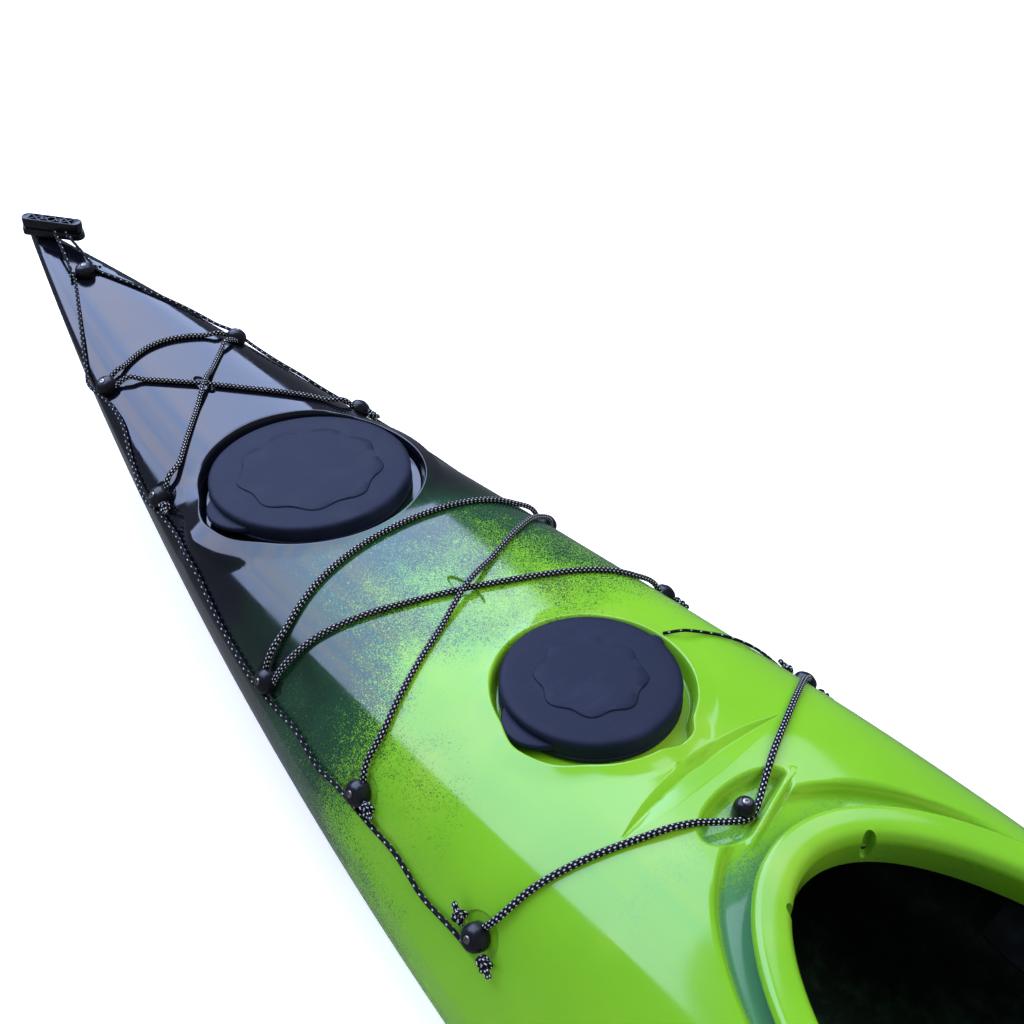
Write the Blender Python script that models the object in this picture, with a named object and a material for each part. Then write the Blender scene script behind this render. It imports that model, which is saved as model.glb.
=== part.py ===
"""Sit-in touring kayak: moulded hull, hatches, deck lines and outfitting.

Metres. Bow along +Y, starboard along +X, up along +Z, with the origin on the keel at mid length.
"""

import math

import bmesh
import bpy
import numpy as np
from mathutils import Matrix, Vector

# Hull shell
HULL_LENGTH = 4.43
BEAM = 0.66
TIP_HALF_BEAM = 0.006
PLAN_POWER = 2.0
GUNWALE_HEIGHT = 0.090
GUNWALE_SLOPE = 0.144
GUNWALE_RISE = 0.129
AFT_GUNWALE_RISE = 0.062
GUNWALE_TIP_DROP = 0.030
DECK_ROLL_POWER = 0.733
CROWN_POWER = 2.5
CROWN_POWER_AMIDSHIPS = 2.9
CROWN_POWER_AT_TIPS = 3.0
SIDE_POWER = 0.40
SIDE_POWER_SLOPE = -1.13
SIDE_POWER_RISE = 2.5
BILGE_POWER = 0.45
BILGE_POWER_RISE = 1.4
RIDGE_LINE = (
    (-1.000, 0.306),
    (-0.790, 0.287),
    (-0.600, 0.283),
    (-0.340, 0.289),
    (-0.150, 0.303),
    (0.055, 0.325),
    (0.275, 0.3445),
    (0.375, 0.3345),
    (0.500, 0.3210),
    (0.620, 0.3075),
    (0.710, 0.3025),
    (0.812, 0.310),
    (0.912, 0.328),
    (1.000, 0.343),
)
ROCKER_START = 0.35
ROCKER_RISE = 0.030
STEM_START = 0.82
STEM_RISE = 0.245
STEM_POWER = 1.8
KEEL_HALF_WIDTH = 0.045
WALL = 0.006
CAVITY_END_DEPTH = 0.12
OUTSIDE_STATIONS = 15
CAVITY_STATIONS = 11
OUTSIDE_STEPS = (8, 6)
CAVITY_STEPS = (5, 4)

# Round hatches: the covers, the rims they snap over and the wells they stand in
COVER_HEIGHT = 0.030
COVER_TOP_THICKNESS = 0.005
COVER_SKIRT_THICKNESS = 0.007
COVER_EDGE_ROUND = 0.005
TAB_HEIGHT = 0.012
TAB_THICKNESS = 0.008
RIM_WALL = 0.006
RIM_FLANGE_THICKNESS = 0.003
RIM_DEPTH = 0.015
WELL_LIP_HEIGHT = 0.017
WELL_LIP_WIDTH = 0.010
WELL_FOOT_WIDTH = 0.030
WELL_DRAFT = 0.006
HATCH_SEGMENTS = 28

BOW_HATCH_Y = 1.379
BOW_HATCH_TOP = 0.313
BOW_HATCH_PITCH = math.radians(4.8)
BOW_COVER_RADIUS = 0.140
DAY_HATCH_Y = 0.830
DAY_HATCH_TOP = 0.350
DAY_HATCH_PITCH = math.radians(4.2)
DAY_COVER_RADIUS = 0.104
STERN_HATCH_Y = -1.18
STERN_HATCH_TOP = 0.308
STERN_HATCH_PITCH = math.radians(-2.0)
WELL_MARGIN = 0.024
RIM_STEP = 0.024
POD_DEPTH = 0.130
POD_WALL = 0.0025
POD_LIP_THICKNESS = 0.002

# Cockpit coaming: ellipses in a plane that rises to the bow
COCKPIT_Y = 0.116
COCKPIT_HALF_LENGTH = 0.398
COCKPIT_HALF_WIDTH = 0.190
COAMING_HEIGHT = 0.332
COAMING_PITCH = math.radians(3.0)
COAMING_LIP = 0.0425
COAMING_LIP_THICKNESS = 0.013
COAMING_WEB = 0.012
COAMING_DEPTH = 0.045
MOAT_DEPTH = 0.030
MOAT_WIDTH = 0.056
MOAT_SIDE_WIDTH = 0.030
RECESS_DRAFT = 0.05
CUT_HEIGHT = 0.10

# Deck fittings: domes on a stem, which the cords pass under
FITTING_RADIUS = 0.0155
FITTING_STEM_RADIUS = 0.0055
FITTING_STEM_HEIGHT = 0.0090
FITTING_HEIGHT = 0.0205
CENTRE_FITTING_RADIUS = 0.0110
DIMPLE_RADIUS = 0.026
DIMPLE_DEPTH = 0.0025
FORE_FITTING_Y = (1.746, 1.496, 1.142, 0.932, 0.712)
FORE_FITTING_SHARE = (0.865, 0.925, 0.945, 0.910, 0.895)
AFT_FITTING_Y = (-0.560, -0.860, -1.560)
AFT_FITTING_SHARE = (0.900, 0.910, 0.900)
BOW_FITTING_Y = 2.022
STERN_FITTING_Y = -2.022
CENTRE_FITTING_AHEAD = 0.090
CENTRE_FITTING_Y = COCKPIT_Y + COCKPIT_HALF_LENGTH + CENTRE_FITTING_AHEAD
CENTRE_STEM_HEIGHT = 0.0130
CENTRE_HEIGHT = 0.0245
PIT_HALF_WIDTH = 0.065
PIT_HALF_LENGTH = 0.030
PIT_DEPTH = 0.0315
FITTING_SEGMENTS = 10

# Cords
BUNGEE_DIAMETER = 0.0075
LINE_DIAMETER = 0.0055
TETHER_DIAMETER = 0.0040
TOGGLE_CORD_DIAMETER = 0.0050
BOW_CROSS_Y = 1.652
BOW_BUNGEE_BULGE = 0.030
MID_CROSS_Y = 1.043
MID_BUNGEE_BULGE = 0.045
AFT_CROSS_Y = -0.710
AFT_BUNGEE_BULGE = 0.0
CORD_SEAT = 0.0018
CORD_POINT_SPACING = 0.055
WRAP_CLEARANCE = 0.0010

# Carrying toggles
TOGGLE_LENGTH = 0.108
TOGGLE_WIDTH = 0.026
TOGGLE_THICKNESS = 0.030
TOGGLE_HOLE_RADIUS = 0.006
TOGGLE_REACH = 0.130
TOGGLE_CORD_SPREAD = 0.0195
TOGGLE_CORD_GAP = 0.006
TOGGLE_AXIS_HEIGHT = 0.006
TOGGLE_CLEARANCE = 0.004
TOGGLE_ROUND = 0.009
BOW_TOGGLE_TURN = math.radians(-52.0)
BOW_TOGGLE_ASIDE = 0.013

# Bulkheads
BULKHEAD_THICKNESS = 0.030
BULKHEAD_CLEARANCE = 0.0025
BOW_BULKHEAD_Y = 1.165
STERN_BULKHEAD_Y = -0.445

# Seat, back band and braces
SEAT_FRONT_Y = 0.140
SEAT_BACK_Y = -0.240
SEAT_HALF_WIDTH = 0.186
SEAT_WING_HEIGHT = 0.145
SEAT_SHELL = 0.005
SEAT_BACK_RISE = 0.055
SEAT_FRONT_RISE = 0.030
PAD_HALF_WIDTH = 0.120
PAD_THICKNESS = 0.026
PAD_MARGIN = 0.025
PAD_CHANNEL_DEPTH = 0.006
HIP_PAD_LENGTH = 0.150
HIP_PAD_HEIGHT = 0.075
HIP_PAD_THICKNESS = 0.020
HIP_PAD_Y = -0.060
BAND_HALF_WIDTH = 0.145
BAND_HEIGHT = 0.150
BAND_THICKNESS = 0.034
BAND_BOW = 0.020
BAND_PIVOT_GAP = 0.012
STRAP_WIDTH = 0.025
STRAP_THICKNESS = 0.002
BRACE_LENGTH = 0.200
BRACE_WIDTH = 0.080
BRACE_THICKNESS = 0.007
BRACE_DROP = 0.022
BRACE_Y = 0.270
RAIL_LENGTH = 0.360
RAIL_HEIGHT = 0.028
RAIL_DEPTH = 0.012
RAIL_WALL = 0.0025
RAIL_Y = 0.900
RAIL_Z = 0.108
RAIL_WALL_GAP = 0.006
PEDAL_WIDTH = 0.085
PEDAL_HEIGHT = 0.115
PEDAL_THICKNESS = 0.008
PEDAL_SLOPE = math.radians(18.0)
CARRIAGE_LENGTH = 0.050

GAP = 0.0003
WELD = 0.00005
SHARP_ANGLE = math.radians(35.0)

MATERIALS = {}


def material(name, colour, roughness, metallic=0.0):
    """A Principled material, made once for each name."""
    if name not in MATERIALS:
        made = bpy.data.materials.new(name)
        made.use_nodes = True
        shader = made.node_tree.nodes["Principled BSDF"]
        shader.inputs["Base Color"].default_value = (*colour, 1.0)
        shader.inputs["Roughness"].default_value = roughness
        shader.inputs["Metallic"].default_value = metallic
        MATERIALS[name] = made
    return MATERIALS[name]


def lime_shell():
    return material("lime_shell", (0.33, 0.62, 0.05), 0.25)


def black_plastic():
    return material("black_plastic", (0.015, 0.015, 0.02), 0.35)


def cover_rubber():
    return material("cover_rubber", (0.02, 0.022, 0.035), 0.75)


def cord_black():
    return material("cord_black", (0.02, 0.02, 0.02), 0.8)


def foam_grey():
    return material("foam_grey", (0.06, 0.06, 0.065), 0.9)


def pad_fabric():
    return material("pad_fabric", (0.03, 0.03, 0.035), 0.95)


def aluminium():
    return material("aluminium", (0.65, 0.66, 0.68), 0.35, 1.0)


def empty(name, matrix):
    frame = bpy.data.objects.new(name, None)
    frame.matrix_world = matrix
    bpy.context.scene.collection.objects.link(frame)
    return frame


def solid(name, bm, look, parent=None, matrix=None, sheet=False):
    """Makes a named object of a bmesh. A sheet, which Solidify will thicken, keeps its own normals."""
    if not sheet:
        bmesh.ops.recalc_face_normals(bm, faces=bm.faces)
    mesh = bpy.data.meshes.new(name)
    bm.to_mesh(mesh)
    bm.free()
    for polygon in mesh.polygons:
        polygon.use_smooth = True
    mesh.set_sharp_from_angle(angle=SHARP_ANGLE)
    piece = bpy.data.objects.new(name, mesh)
    if look is not None:
        mesh.materials.append(look)
    piece.parent = parent
    if matrix is not None:
        piece.matrix_basis = matrix
    bpy.context.scene.collection.objects.link(piece)
    return piece


def cutter(name, bm, parent=None, matrix=None):
    """A solid that only cuts or fills others, left out of the model."""
    piece = solid(name, bm, None, parent, matrix)
    piece.hide_render = True
    piece.display_type = "WIRE"
    return piece


def boolean(piece, other, operation):
    """Cuts or joins another solid, then welds the corners that come out in one place."""
    step = piece.modifiers.new(f"{operation.lower()}_{other.name}", "BOOLEAN")
    step.operation = operation
    step.solver = "EXACT"
    step.object = other
    weld = piece.modifiers.new(f"weld_{other.name}", "WELD")
    weld.merge_threshold = WELD


def lathe(profile, segments, closed=False):
    """Turns (radius, height) points about Z. Points on the axis become poles."""
    bm = bmesh.new()
    rings = []
    for radius, height in profile:
        if radius < 1e-9:
            rings.append([bm.verts.new((0.0, 0.0, height))])
            continue
        turns = (2.0 * math.pi * (k + 0.5) / segments for k in range(segments))
        rings.append([bm.verts.new((radius * math.cos(a), radius * math.sin(a), height)) for a in turns])
    pairs = list(zip(rings, rings[1:]))
    if closed:
        pairs.append((rings[-1], rings[0]))
    for low, high in pairs:
        for k in range(segments):
            after = (k + 1) % segments
            corners = [low[k % len(low)], low[after % len(low)], high[after % len(high)], high[k % len(high)]]
            bm.faces.new(list(dict.fromkeys(corners)))
    return bm


def stack(rings):
    """Joins loops of points, each as long as the next, into a solid of triangles with flat ends."""
    bm = bmesh.new()
    loops = [[bm.verts.new(point) for point in ring] for ring in rings]
    count = len(loops[0])
    for low, high in zip(loops, loops[1:]):
        for k in range(count):
            after = (k + 1) % count
            bm.faces.new((low[k], low[after], high[after], high[k]))
    bmesh.ops.triangulate(bm, faces=bm.faces)
    bm.faces.new(loops[0])
    bm.faces.new(loops[-1])
    return bm


def gather(parts):
    """One mesh of several, each placed by its own matrix."""
    whole = bmesh.new()
    for bm, matrix in parts:
        bmesh.ops.transform(bm, matrix=matrix, verts=bm.verts)
        mesh = bpy.data.meshes.new("gathered")
        bm.to_mesh(mesh)
        bm.free()
        whole.from_mesh(mesh)
        bpy.data.meshes.remove(mesh)
    return whole


def box(size, centre=(0.0, 0.0, 0.0), turn=None):
    bm = bmesh.new()
    matrix = Matrix.Translation(centre)
    if turn is not None:
        matrix = matrix @ turn
    bmesh.ops.create_cube(bm, size=1.0, matrix=matrix @ Matrix.Diagonal((*size, 1.0)))
    return bm


def disc(radius, low, high, segments, centre=(0.0, 0.0), top_radius=None):
    bm = lathe([(0.0, low), (radius, low), (top_radius or radius, high), (0.0, high)], segments)
    bmesh.ops.translate(bm, verts=bm.verts, vec=(*centre, 0.0))
    return bm


def ellipse_prism(half_width, half_length, low, high, segments, draft=0.0, y=0.0):
    rings = []
    for z, wider in ((low, 0.0), (high, draft)):
        turns = (2.0 * math.pi * (k + 0.5) / segments for k in range(segments))
        reach = (half_width + wider, half_length + wider)
        rings.append([(reach[0] * math.cos(a), y + reach[1] * math.sin(a), z) for a in turns])
    return stack(rings)


# Hull form

HALF_LENGTH = HULL_LENGTH / 2.0


def span(y):
    """0 amidships and 1 at either tip."""
    return min(abs(y) / HALF_LENGTH, 1.0)


def half_beam(y):
    return TIP_HALF_BEAM + (BEAM / 2.0 - TIP_HALF_BEAM) * (1.0 - span(y) ** PLAN_POWER)


def gunwale_height(y):
    """The height at which the hull is widest, where the deck meets the side."""
    rise, drop = (GUNWALE_RISE, GUNWALE_TIP_DROP) if y > 0.0 else (AFT_GUNWALE_RISE, 0.0)
    return GUNWALE_HEIGHT + GUNWALE_SLOPE * span(y) + rise * span(y) ** 2 - drop * span(y) ** 8


def ridge_height(y):
    """The deck's centre line, a fair curve through the heights of RIDGE_LINE."""
    along = max(-1.0, min(1.0, y / HALF_LENGTH))
    places = [place for place, _ in RIDGE_LINE]
    heights = [height for _, height in RIDGE_LINE]
    slopes = np.gradient(heights, places)
    k = min(int(np.searchsorted(places, along, side="right")) - 1, len(places) - 2)
    step = places[k + 1] - places[k]
    t = (along - places[k]) / step
    start = (1.0 + 2.0 * t) * (1.0 - t) ** 2 * heights[k] + t * (1.0 - t) ** 2 * step * slopes[k]
    end = t * t * (3.0 - 2.0 * t) * heights[k + 1] + t * t * (t - 1.0) * step * slopes[k + 1]
    return float(start + end)


def crown_power(y):
    """How long the deck stays level before it rolls down to the gunwale."""
    amidships = CROWN_POWER_AMIDSHIPS * (1.0 - span(y)) ** 1.5
    return CROWN_POWER + amidships + CROWN_POWER_AT_TIPS * span(y) ** 2


def keel_height(y):
    rocker = max(0.0, (span(y) - ROCKER_START) / (1.0 - ROCKER_START)) ** 2
    stem = max(0.0, (span(y) - STEM_START) / (1.0 - STEM_START)) ** STEM_POWER
    return ROCKER_RISE * rocker + STEM_RISE * stem


def deck_height(x, y):
    share = min(abs(x) / half_beam(y), 1.0)
    gunwale = gunwale_height(y)
    return gunwale + (ridge_height(y) - gunwale) * (1.0 - share ** crown_power(y)) ** DECK_ROLL_POWER


def deck_normal(x, y, step=0.002):
    share = min(abs(x) / half_beam(y), 0.99)
    power = crown_power(y)
    roll = DECK_ROLL_POWER * (1.0 - share**power) ** (DECK_ROLL_POWER - 1.0)
    fall = (ridge_height(y) - gunwale_height(y)) * roll * power * share ** (power - 1.0) / half_beam(y)
    along_x = -math.copysign(fall, x)
    along_y = (deck_height(x, y + step) - deck_height(x, y - step)) / (2.0 * step)
    return Vector((-along_x, -along_y, 1.0)).normalized()


def section(y, wall, deck_steps, bottom_steps):
    """The closed cross section at y, from the deck's centre down the starboard side and back up."""
    beam = half_beam(y) - wall
    keel = keel_height(y) + wall
    gunwale = gunwale_height(y)
    ridge = ridge_height(y) - wall
    side_power = SIDE_POWER + SIDE_POWER_SLOPE * span(y) + SIDE_POWER_RISE * span(y) ** 2
    bilge_power = BILGE_POWER + BILGE_POWER_RISE * span(y) ** 2
    half = []
    for k in range(deck_steps + 1):
        share = math.sin(0.5 * math.pi * k / deck_steps)
        crown = max(0.0, 1.0 - share ** crown_power(y)) ** DECK_ROLL_POWER
        half.append((beam * share, gunwale + (ridge - gunwale) * crown))
    for k in range(1, bottom_steps):
        turn = 0.5 * math.pi * k / bottom_steps
        z = gunwale - (gunwale - keel) * math.sin(turn) ** bilge_power
        half.append((beam * math.cos(turn) ** side_power, z))
    half.append((min(KEEL_HALF_WIDTH, 0.5 * half[-1][0]), keel))
    half.append((0.0, keel))
    port = [(-x, z) for x, z in reversed(half[1:-1])]
    return [Vector((x, y, z)) for x, z in half + port]


def stations(half_length, count):
    """Stations from stern to bow, closer together at the tips."""
    shares = [k / count for k in range(-count, count + 1)]
    return [half_length * (0.5 * s + 0.5 * math.sin(0.5 * math.pi * s)) for s in shares]


def hull_outside():
    return stack([section(y, 0.0, *OUTSIDE_STEPS) for y in stations(HALF_LENGTH, OUTSIDE_STATIONS)])


def cavity_inside():
    half_length = HALF_LENGTH - CAVITY_END_DEPTH
    return stack([section(y, WALL, *CAVITY_STEPS) for y in stations(half_length, CAVITY_STATIONS)])


# Hatches


class Hatch:
    """Sizes and frame of one round hatch. Its local origin is on the well's floor."""

    def __init__(self, name, y, top, pitch, cover_radius):
        self.name = name
        self.cover_radius = cover_radius
        self.well_radius = cover_radius + WELL_MARGIN
        self.rim_inner = cover_radius - RIM_STEP
        self.rim_outer = self.rim_inner + RIM_WALL
        self.flange_radius = cover_radius - COVER_SKIRT_THICKNESS - 0.002
        self.rim_top = COVER_HEIGHT - COVER_TOP_THICKNESS - 0.003
        tilt = Matrix.Rotation(-pitch, 4, "X")
        down = tilt @ Vector((0.0, 0.0, -(COVER_HEIGHT + RIM_FLANGE_THICKNESS)))
        self.matrix = Matrix.Translation(Vector((0.0, y, top)) + down.to_3d()) @ tilt
        self.frame = empty(f"{name}_hatch_frame", self.matrix)


def hatch_pedestal(hatch):
    """The raised lip round the well, with its sides spreading into the deck."""
    lip = hatch.well_radius + WELL_LIP_WIDTH
    foot = hatch.well_radius + WELL_FOOT_WIDTH
    return disc(foot, -WELL_FOOT_WIDTH, WELL_LIP_HEIGHT, HATCH_SEGMENTS, top_radius=lip)


def hatch_well(hatch, wall=0.0):
    top = hatch.well_radius + wall + WELL_DRAFT * CUT_HEIGHT / COVER_HEIGHT
    return disc(hatch.well_radius + wall, -wall, CUT_HEIGHT, HATCH_SEGMENTS, top_radius=top)


def hatch_hole(hatch):
    return disc(hatch.rim_outer + 2.0 * GAP, -0.05, COVER_HEIGHT, HATCH_SEGMENTS)


def make_hatch_rim(hatch):
    profile = [
        (hatch.rim_inner, -RIM_DEPTH),
        (hatch.rim_outer, -RIM_DEPTH),
        (hatch.rim_outer, GAP),
        (hatch.flange_radius, GAP),
        (hatch.flange_radius, RIM_FLANGE_THICKNESS),
        (hatch.rim_outer, RIM_FLANGE_THICKNESS),
        (hatch.rim_outer, hatch.rim_top),
        (hatch.rim_inner, hatch.rim_top),
    ]
    solid(f"{hatch.name}_hatch_rim", lathe(profile, HATCH_SEGMENTS, closed=True), black_plastic(), hatch.frame)


def make_hatch_cover(hatch, tether_tab=False):
    radius = hatch.cover_radius
    top = RIM_FLANGE_THICKNESS + COVER_HEIGHT
    bottom = RIM_FLANGE_THICKNESS
    inner = radius - COVER_SKIRT_THICKNESS
    profile = [
        (0.0, top),
        (radius - COVER_EDGE_ROUND, top),
        (radius, top - COVER_EDGE_ROUND),
        (radius, bottom),
        (inner, bottom),
        (inner, top - COVER_TOP_THICKNESS),
        (0.0, top - COVER_TOP_THICKNESS),
    ]
    cover = solid(f"{hatch.name}_hatch_cover", lathe(profile, HATCH_SEGMENTS), cover_rubber(), hatch.frame)
    reach = WELL_MARGIN - 0.006
    lug = 0.30 * radius + 0.012
    thumb = disc(lug, TAB_HEIGHT, TAB_HEIGHT + TAB_THICKNESS, 16, (-(radius + reach - lug), 0.0))
    tab = cutter(f"{hatch.name}_thumb_tab", thumb, hatch.frame)
    core = disc(inner + 0.001, 0.0, top - COVER_TOP_THICKNESS, HATCH_SEGMENTS)
    hollow = cutter(f"{hatch.name}_cover_hollow", core, hatch.frame)
    boolean(tab, hollow, "DIFFERENCE")
    boolean(cover, tab, "UNION")
    if tether_tab:
        small = disc(0.012, TAB_HEIGHT, TAB_HEIGHT + TAB_THICKNESS, 12, (radius + 0.001, 0.0))
        boolean(cover, cutter(f"{hatch.name}_tether_tab", small, hatch.frame), "UNION")


def make_pod(hatch):
    """The tub that hangs in the day hatch's rim, between the paddler's legs."""
    outer = hatch.rim_inner - 0.001
    lip = hatch.rim_outer - 0.001
    low = hatch.rim_top + GAP
    high = low + POD_LIP_THICKNESS
    floor = high - POD_DEPTH
    profile = [
        (0.0, floor),
        (outer * 0.86, floor),
        (outer, floor + 0.020),
        (outer, low),
        (lip, low),
        (lip, high),
        (outer - POD_WALL, high),
        (outer - POD_WALL, floor + 0.021),
        (outer * 0.85, floor + POD_WALL),
        (0.0, floor + POD_WALL),
    ]
    solid("day_hatch_pod", lathe(profile, 20), black_plastic(), hatch.frame)


# Cockpit


def coaming_matrix():
    return Matrix.Translation((0.0, COCKPIT_Y, COAMING_HEIGHT)) @ Matrix.Rotation(COAMING_PITCH, 4, "X")


def coaming_ring(segments=48):
    """The web and the lip round the cockpit, swept along the opening's ellipse."""
    profile = (
        (0.0, -COAMING_DEPTH),
        (0.0, -0.008),
        (0.005, 0.0),
        (COAMING_LIP - 0.006, 0.0),
        (COAMING_LIP, -0.006),
        (COAMING_LIP, -COAMING_LIP_THICKNESS),
        (COAMING_WEB, -COAMING_LIP_THICKNESS - 0.002),
        (COAMING_WEB, -COAMING_DEPTH),
    )
    bm = bmesh.new()
    rings = []
    for k in range(segments):
        turn = 2.0 * math.pi * (k + 0.5) / segments
        point = Vector((COCKPIT_HALF_WIDTH * math.cos(turn), COCKPIT_HALF_LENGTH * math.sin(turn), 0.0))
        out = Vector((COCKPIT_HALF_LENGTH * math.cos(turn), COCKPIT_HALF_WIDTH * math.sin(turn), 0.0)).normalized()
        rings.append([bm.verts.new(point + out * d + Vector((0.0, 0.0, z))) for d, z in profile])
    for ring, after in zip(rings, rings[1:] + rings[:1]):
        for k in range(len(profile)):
            other = (k + 1) % len(profile)
            bm.faces.new((ring[k], ring[other], after[other], after[k]))
    bmesh.ops.triangulate(bm, faces=bm.faces)
    return bm


def cockpit_recesses(wall=0.0):
    """The moat round the coaming and the pit before it, as two prisms."""
    width = COCKPIT_HALF_WIDTH + COAMING_LIP + MOAT_SIDE_WIDTH + wall
    length = COCKPIT_HALF_LENGTH + COAMING_LIP + MOAT_WIDTH + wall
    moat = ellipse_prism(width, length, -MOAT_DEPTH - wall, CUT_HEIGHT, 48, RECESS_DRAFT)
    pit_size = (PIT_HALF_WIDTH + wall, PIT_HALF_LENGTH + wall)
    pit_y = CENTRE_FITTING_Y - COCKPIT_Y
    pit = ellipse_prism(*pit_size, -PIT_DEPTH - wall, CUT_HEIGHT, 16, RECESS_DRAFT, pit_y)
    return moat, pit


def make_hull(hatches):
    """The one-piece shell: outside less its recesses, then less the cavity, with the coaming on it."""
    frame = coaming_matrix()
    shell = solid("hull_shell", hull_outside(), lime_shell())
    boolean(shell, cutter("pedestals", gather((hatch_pedestal(h), h.matrix) for h in hatches)), "UNION")
    moat, pit = cockpit_recesses()
    spots = gather([(hatch_well(h), h.matrix) for h in hatches] + fitting_dimples() + [(moat, frame)])
    recesses = cutter("recesses", spots)
    boolean(recesses, cutter("pit", pit, matrix=frame), "UNION")
    boolean(shell, recesses, "DIFFERENCE")

    cavity = cutter("hull_cavity", cavity_inside())
    moat, pit = cockpit_recesses(WALL)
    walls = cutter("recess_walls", gather([(hatch_well(h, WALL), h.matrix) for h in hatches] + [(moat, frame)]))
    boolean(cavity, walls, "DIFFERENCE")
    boolean(cavity, cutter("pit_wall", pit, matrix=frame), "DIFFERENCE")
    web = COAMING_WEB / 3.0
    opening = ellipse_prism(COCKPIT_HALF_WIDTH + web, COCKPIT_HALF_LENGTH + web, -0.12, CUT_HEIGHT, 48)
    holes = gather([(hatch_hole(h), h.matrix) for h in hatches] + [(opening, frame)])
    boolean(cavity, cutter("openings", holes), "UNION")
    boolean(shell, cavity, "DIFFERENCE")
    boolean(shell, cutter("coaming_ring", coaming_ring(), matrix=frame), "UNION")


# Deck fittings


def side_fitting_x(y):
    places = AFT_FITTING_Y[::-1] + FORE_FITTING_Y[::-1]
    shares = AFT_FITTING_SHARE[::-1] + FORE_FITTING_SHARE[::-1]
    return half_beam(y) * float(np.interp(y, places, shares))


def fitting_matrix(x, y, sink):
    """A frame on the deck at x, y with its Z along the deck's normal, sunk by so much."""
    normal = deck_normal(x, y)
    side = Vector((0.0, 1.0, 0.0)).cross(normal).normalized()
    along = normal.cross(side)
    turn = Matrix((side, along, normal)).transposed().to_4x4()
    return Matrix.Translation(Vector((x, y, deck_height(x, y))) - normal * sink) @ turn


def centre_matrix():
    """A frame on the pit's floor, under the centre fitting."""
    return coaming_matrix() @ Matrix.Translation((0.0, CENTRE_FITTING_Y - COCKPIT_Y, -PIT_DEPTH))


def dome(radius, low, height):
    stem = FITTING_STEM_RADIUS
    rise = height - low
    profile = [(0.0, GAP), (stem, GAP), (stem, low), (radius, low), (radius, low + 0.25 * rise)]
    angle = math.radians(50.0)
    profile.append((radius * math.cos(angle), low + rise * (0.25 + 0.75 * math.sin(angle))))
    profile.append((0.0, height))
    return lathe(profile, FITTING_SEGMENTS)


def side_fittings():
    """The name and frame of each side fitting, in the dimple it stands in."""
    places = []
    for side, sign in (("port", -1.0), ("starboard", 1.0)):
        for run, stations_y in (("fore", FORE_FITTING_Y), ("aft", AFT_FITTING_Y)):
            for number, y in enumerate(stations_y, 1):
                matrix = fitting_matrix(sign * side_fitting_x(y), y, DIMPLE_DEPTH)
                places.append((f"{side}_{run}_fitting_{number}", matrix))
    return places


def fitting_dimples():
    return [(disc(DIMPLE_RADIUS, 0.0, 0.03, 10), matrix) for _, matrix in side_fittings()]


def make_fittings():
    for name, matrix in side_fittings():
        side_dome = dome(FITTING_RADIUS, FITTING_STEM_HEIGHT, FITTING_HEIGHT)
        solid(name, side_dome, black_plastic(), matrix=matrix)
    for name, y in (("bow_fitting", BOW_FITTING_Y), ("stern_fitting", STERN_FITTING_Y)):
        end_dome = dome(FITTING_RADIUS, FITTING_STEM_HEIGHT, FITTING_HEIGHT)
        solid(name, end_dome, black_plastic(), matrix=fitting_matrix(0.0, y, 0.0))
    centre_dome = dome(CENTRE_FITTING_RADIUS, CENTRE_STEM_HEIGHT, CENTRE_HEIGHT)
    solid("centre_fitting", centre_dome, black_plastic(), matrix=centre_matrix())


# Cords


def cord(name, points, diameter, parent=None):
    """A round cord on a polyline of points, with filled ends."""
    curve = bpy.data.curves.new(name, "CURVE")
    curve.dimensions = "3D"
    curve.bevel_depth = diameter / 2.0
    curve.bevel_resolution = 2
    curve.render_resolution_u = 0
    curve.use_fill_caps = True
    spline = curve.splines.new("POLY")
    spline.points.add(len(points) - 1)
    for place, point in zip(spline.points, points):
        place.co = (*point, 1.0)
    curve.materials.append(cord_black())
    piece = bpy.data.objects.new(name, curve)
    piece.parent = parent
    bpy.context.scene.collection.objects.link(piece)
    return piece


def smooth_route(points, spacing=CORD_POINT_SPACING):
    """Points along a smooth curve through the route's own points."""
    spots = [Vector(p) for p in points]
    spots = [2.0 * spots[0] - spots[1]] + spots + [2.0 * spots[-1] - spots[-2]]
    route = []
    for before, start, end, after in zip(spots, spots[1:], spots[2:], spots[3:]):
        count = max(1, round((end - start).length / spacing))
        for k in range(count):
            t = k / count
            route.append(
                0.5
                * (
                    2.0 * start
                    + (end - before) * t
                    + (2.0 * before - 5.0 * start + 4.0 * end - after) * t * t
                    + (3.0 * start - before - 3.0 * end + after) * t**3
                )
            )
    route.append(spots[-2])
    return route


def on_deck(x, y, diameter, lift=0.0):
    """A cord's centre on the deck at x, y, raised by so much more."""
    x = math.copysign(min(abs(x), 0.98 * half_beam(y)), x)
    normal = deck_normal(x, y)
    return Vector((x, y, deck_height(x, y))) + normal * (diameter / 2.0 + CORD_SEAT + lift)


def by_fitting(sign, y, out, fore, diameter, lift=0.0):
    """A point beside a side fitting: so far outboard and forward of it, in its own plane."""
    matrix = fitting_matrix(sign * side_fitting_x(y), y, DIMPLE_DEPTH)
    return matrix @ Vector((sign * out, fore, diameter / 2.0 + GAP + lift))


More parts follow.
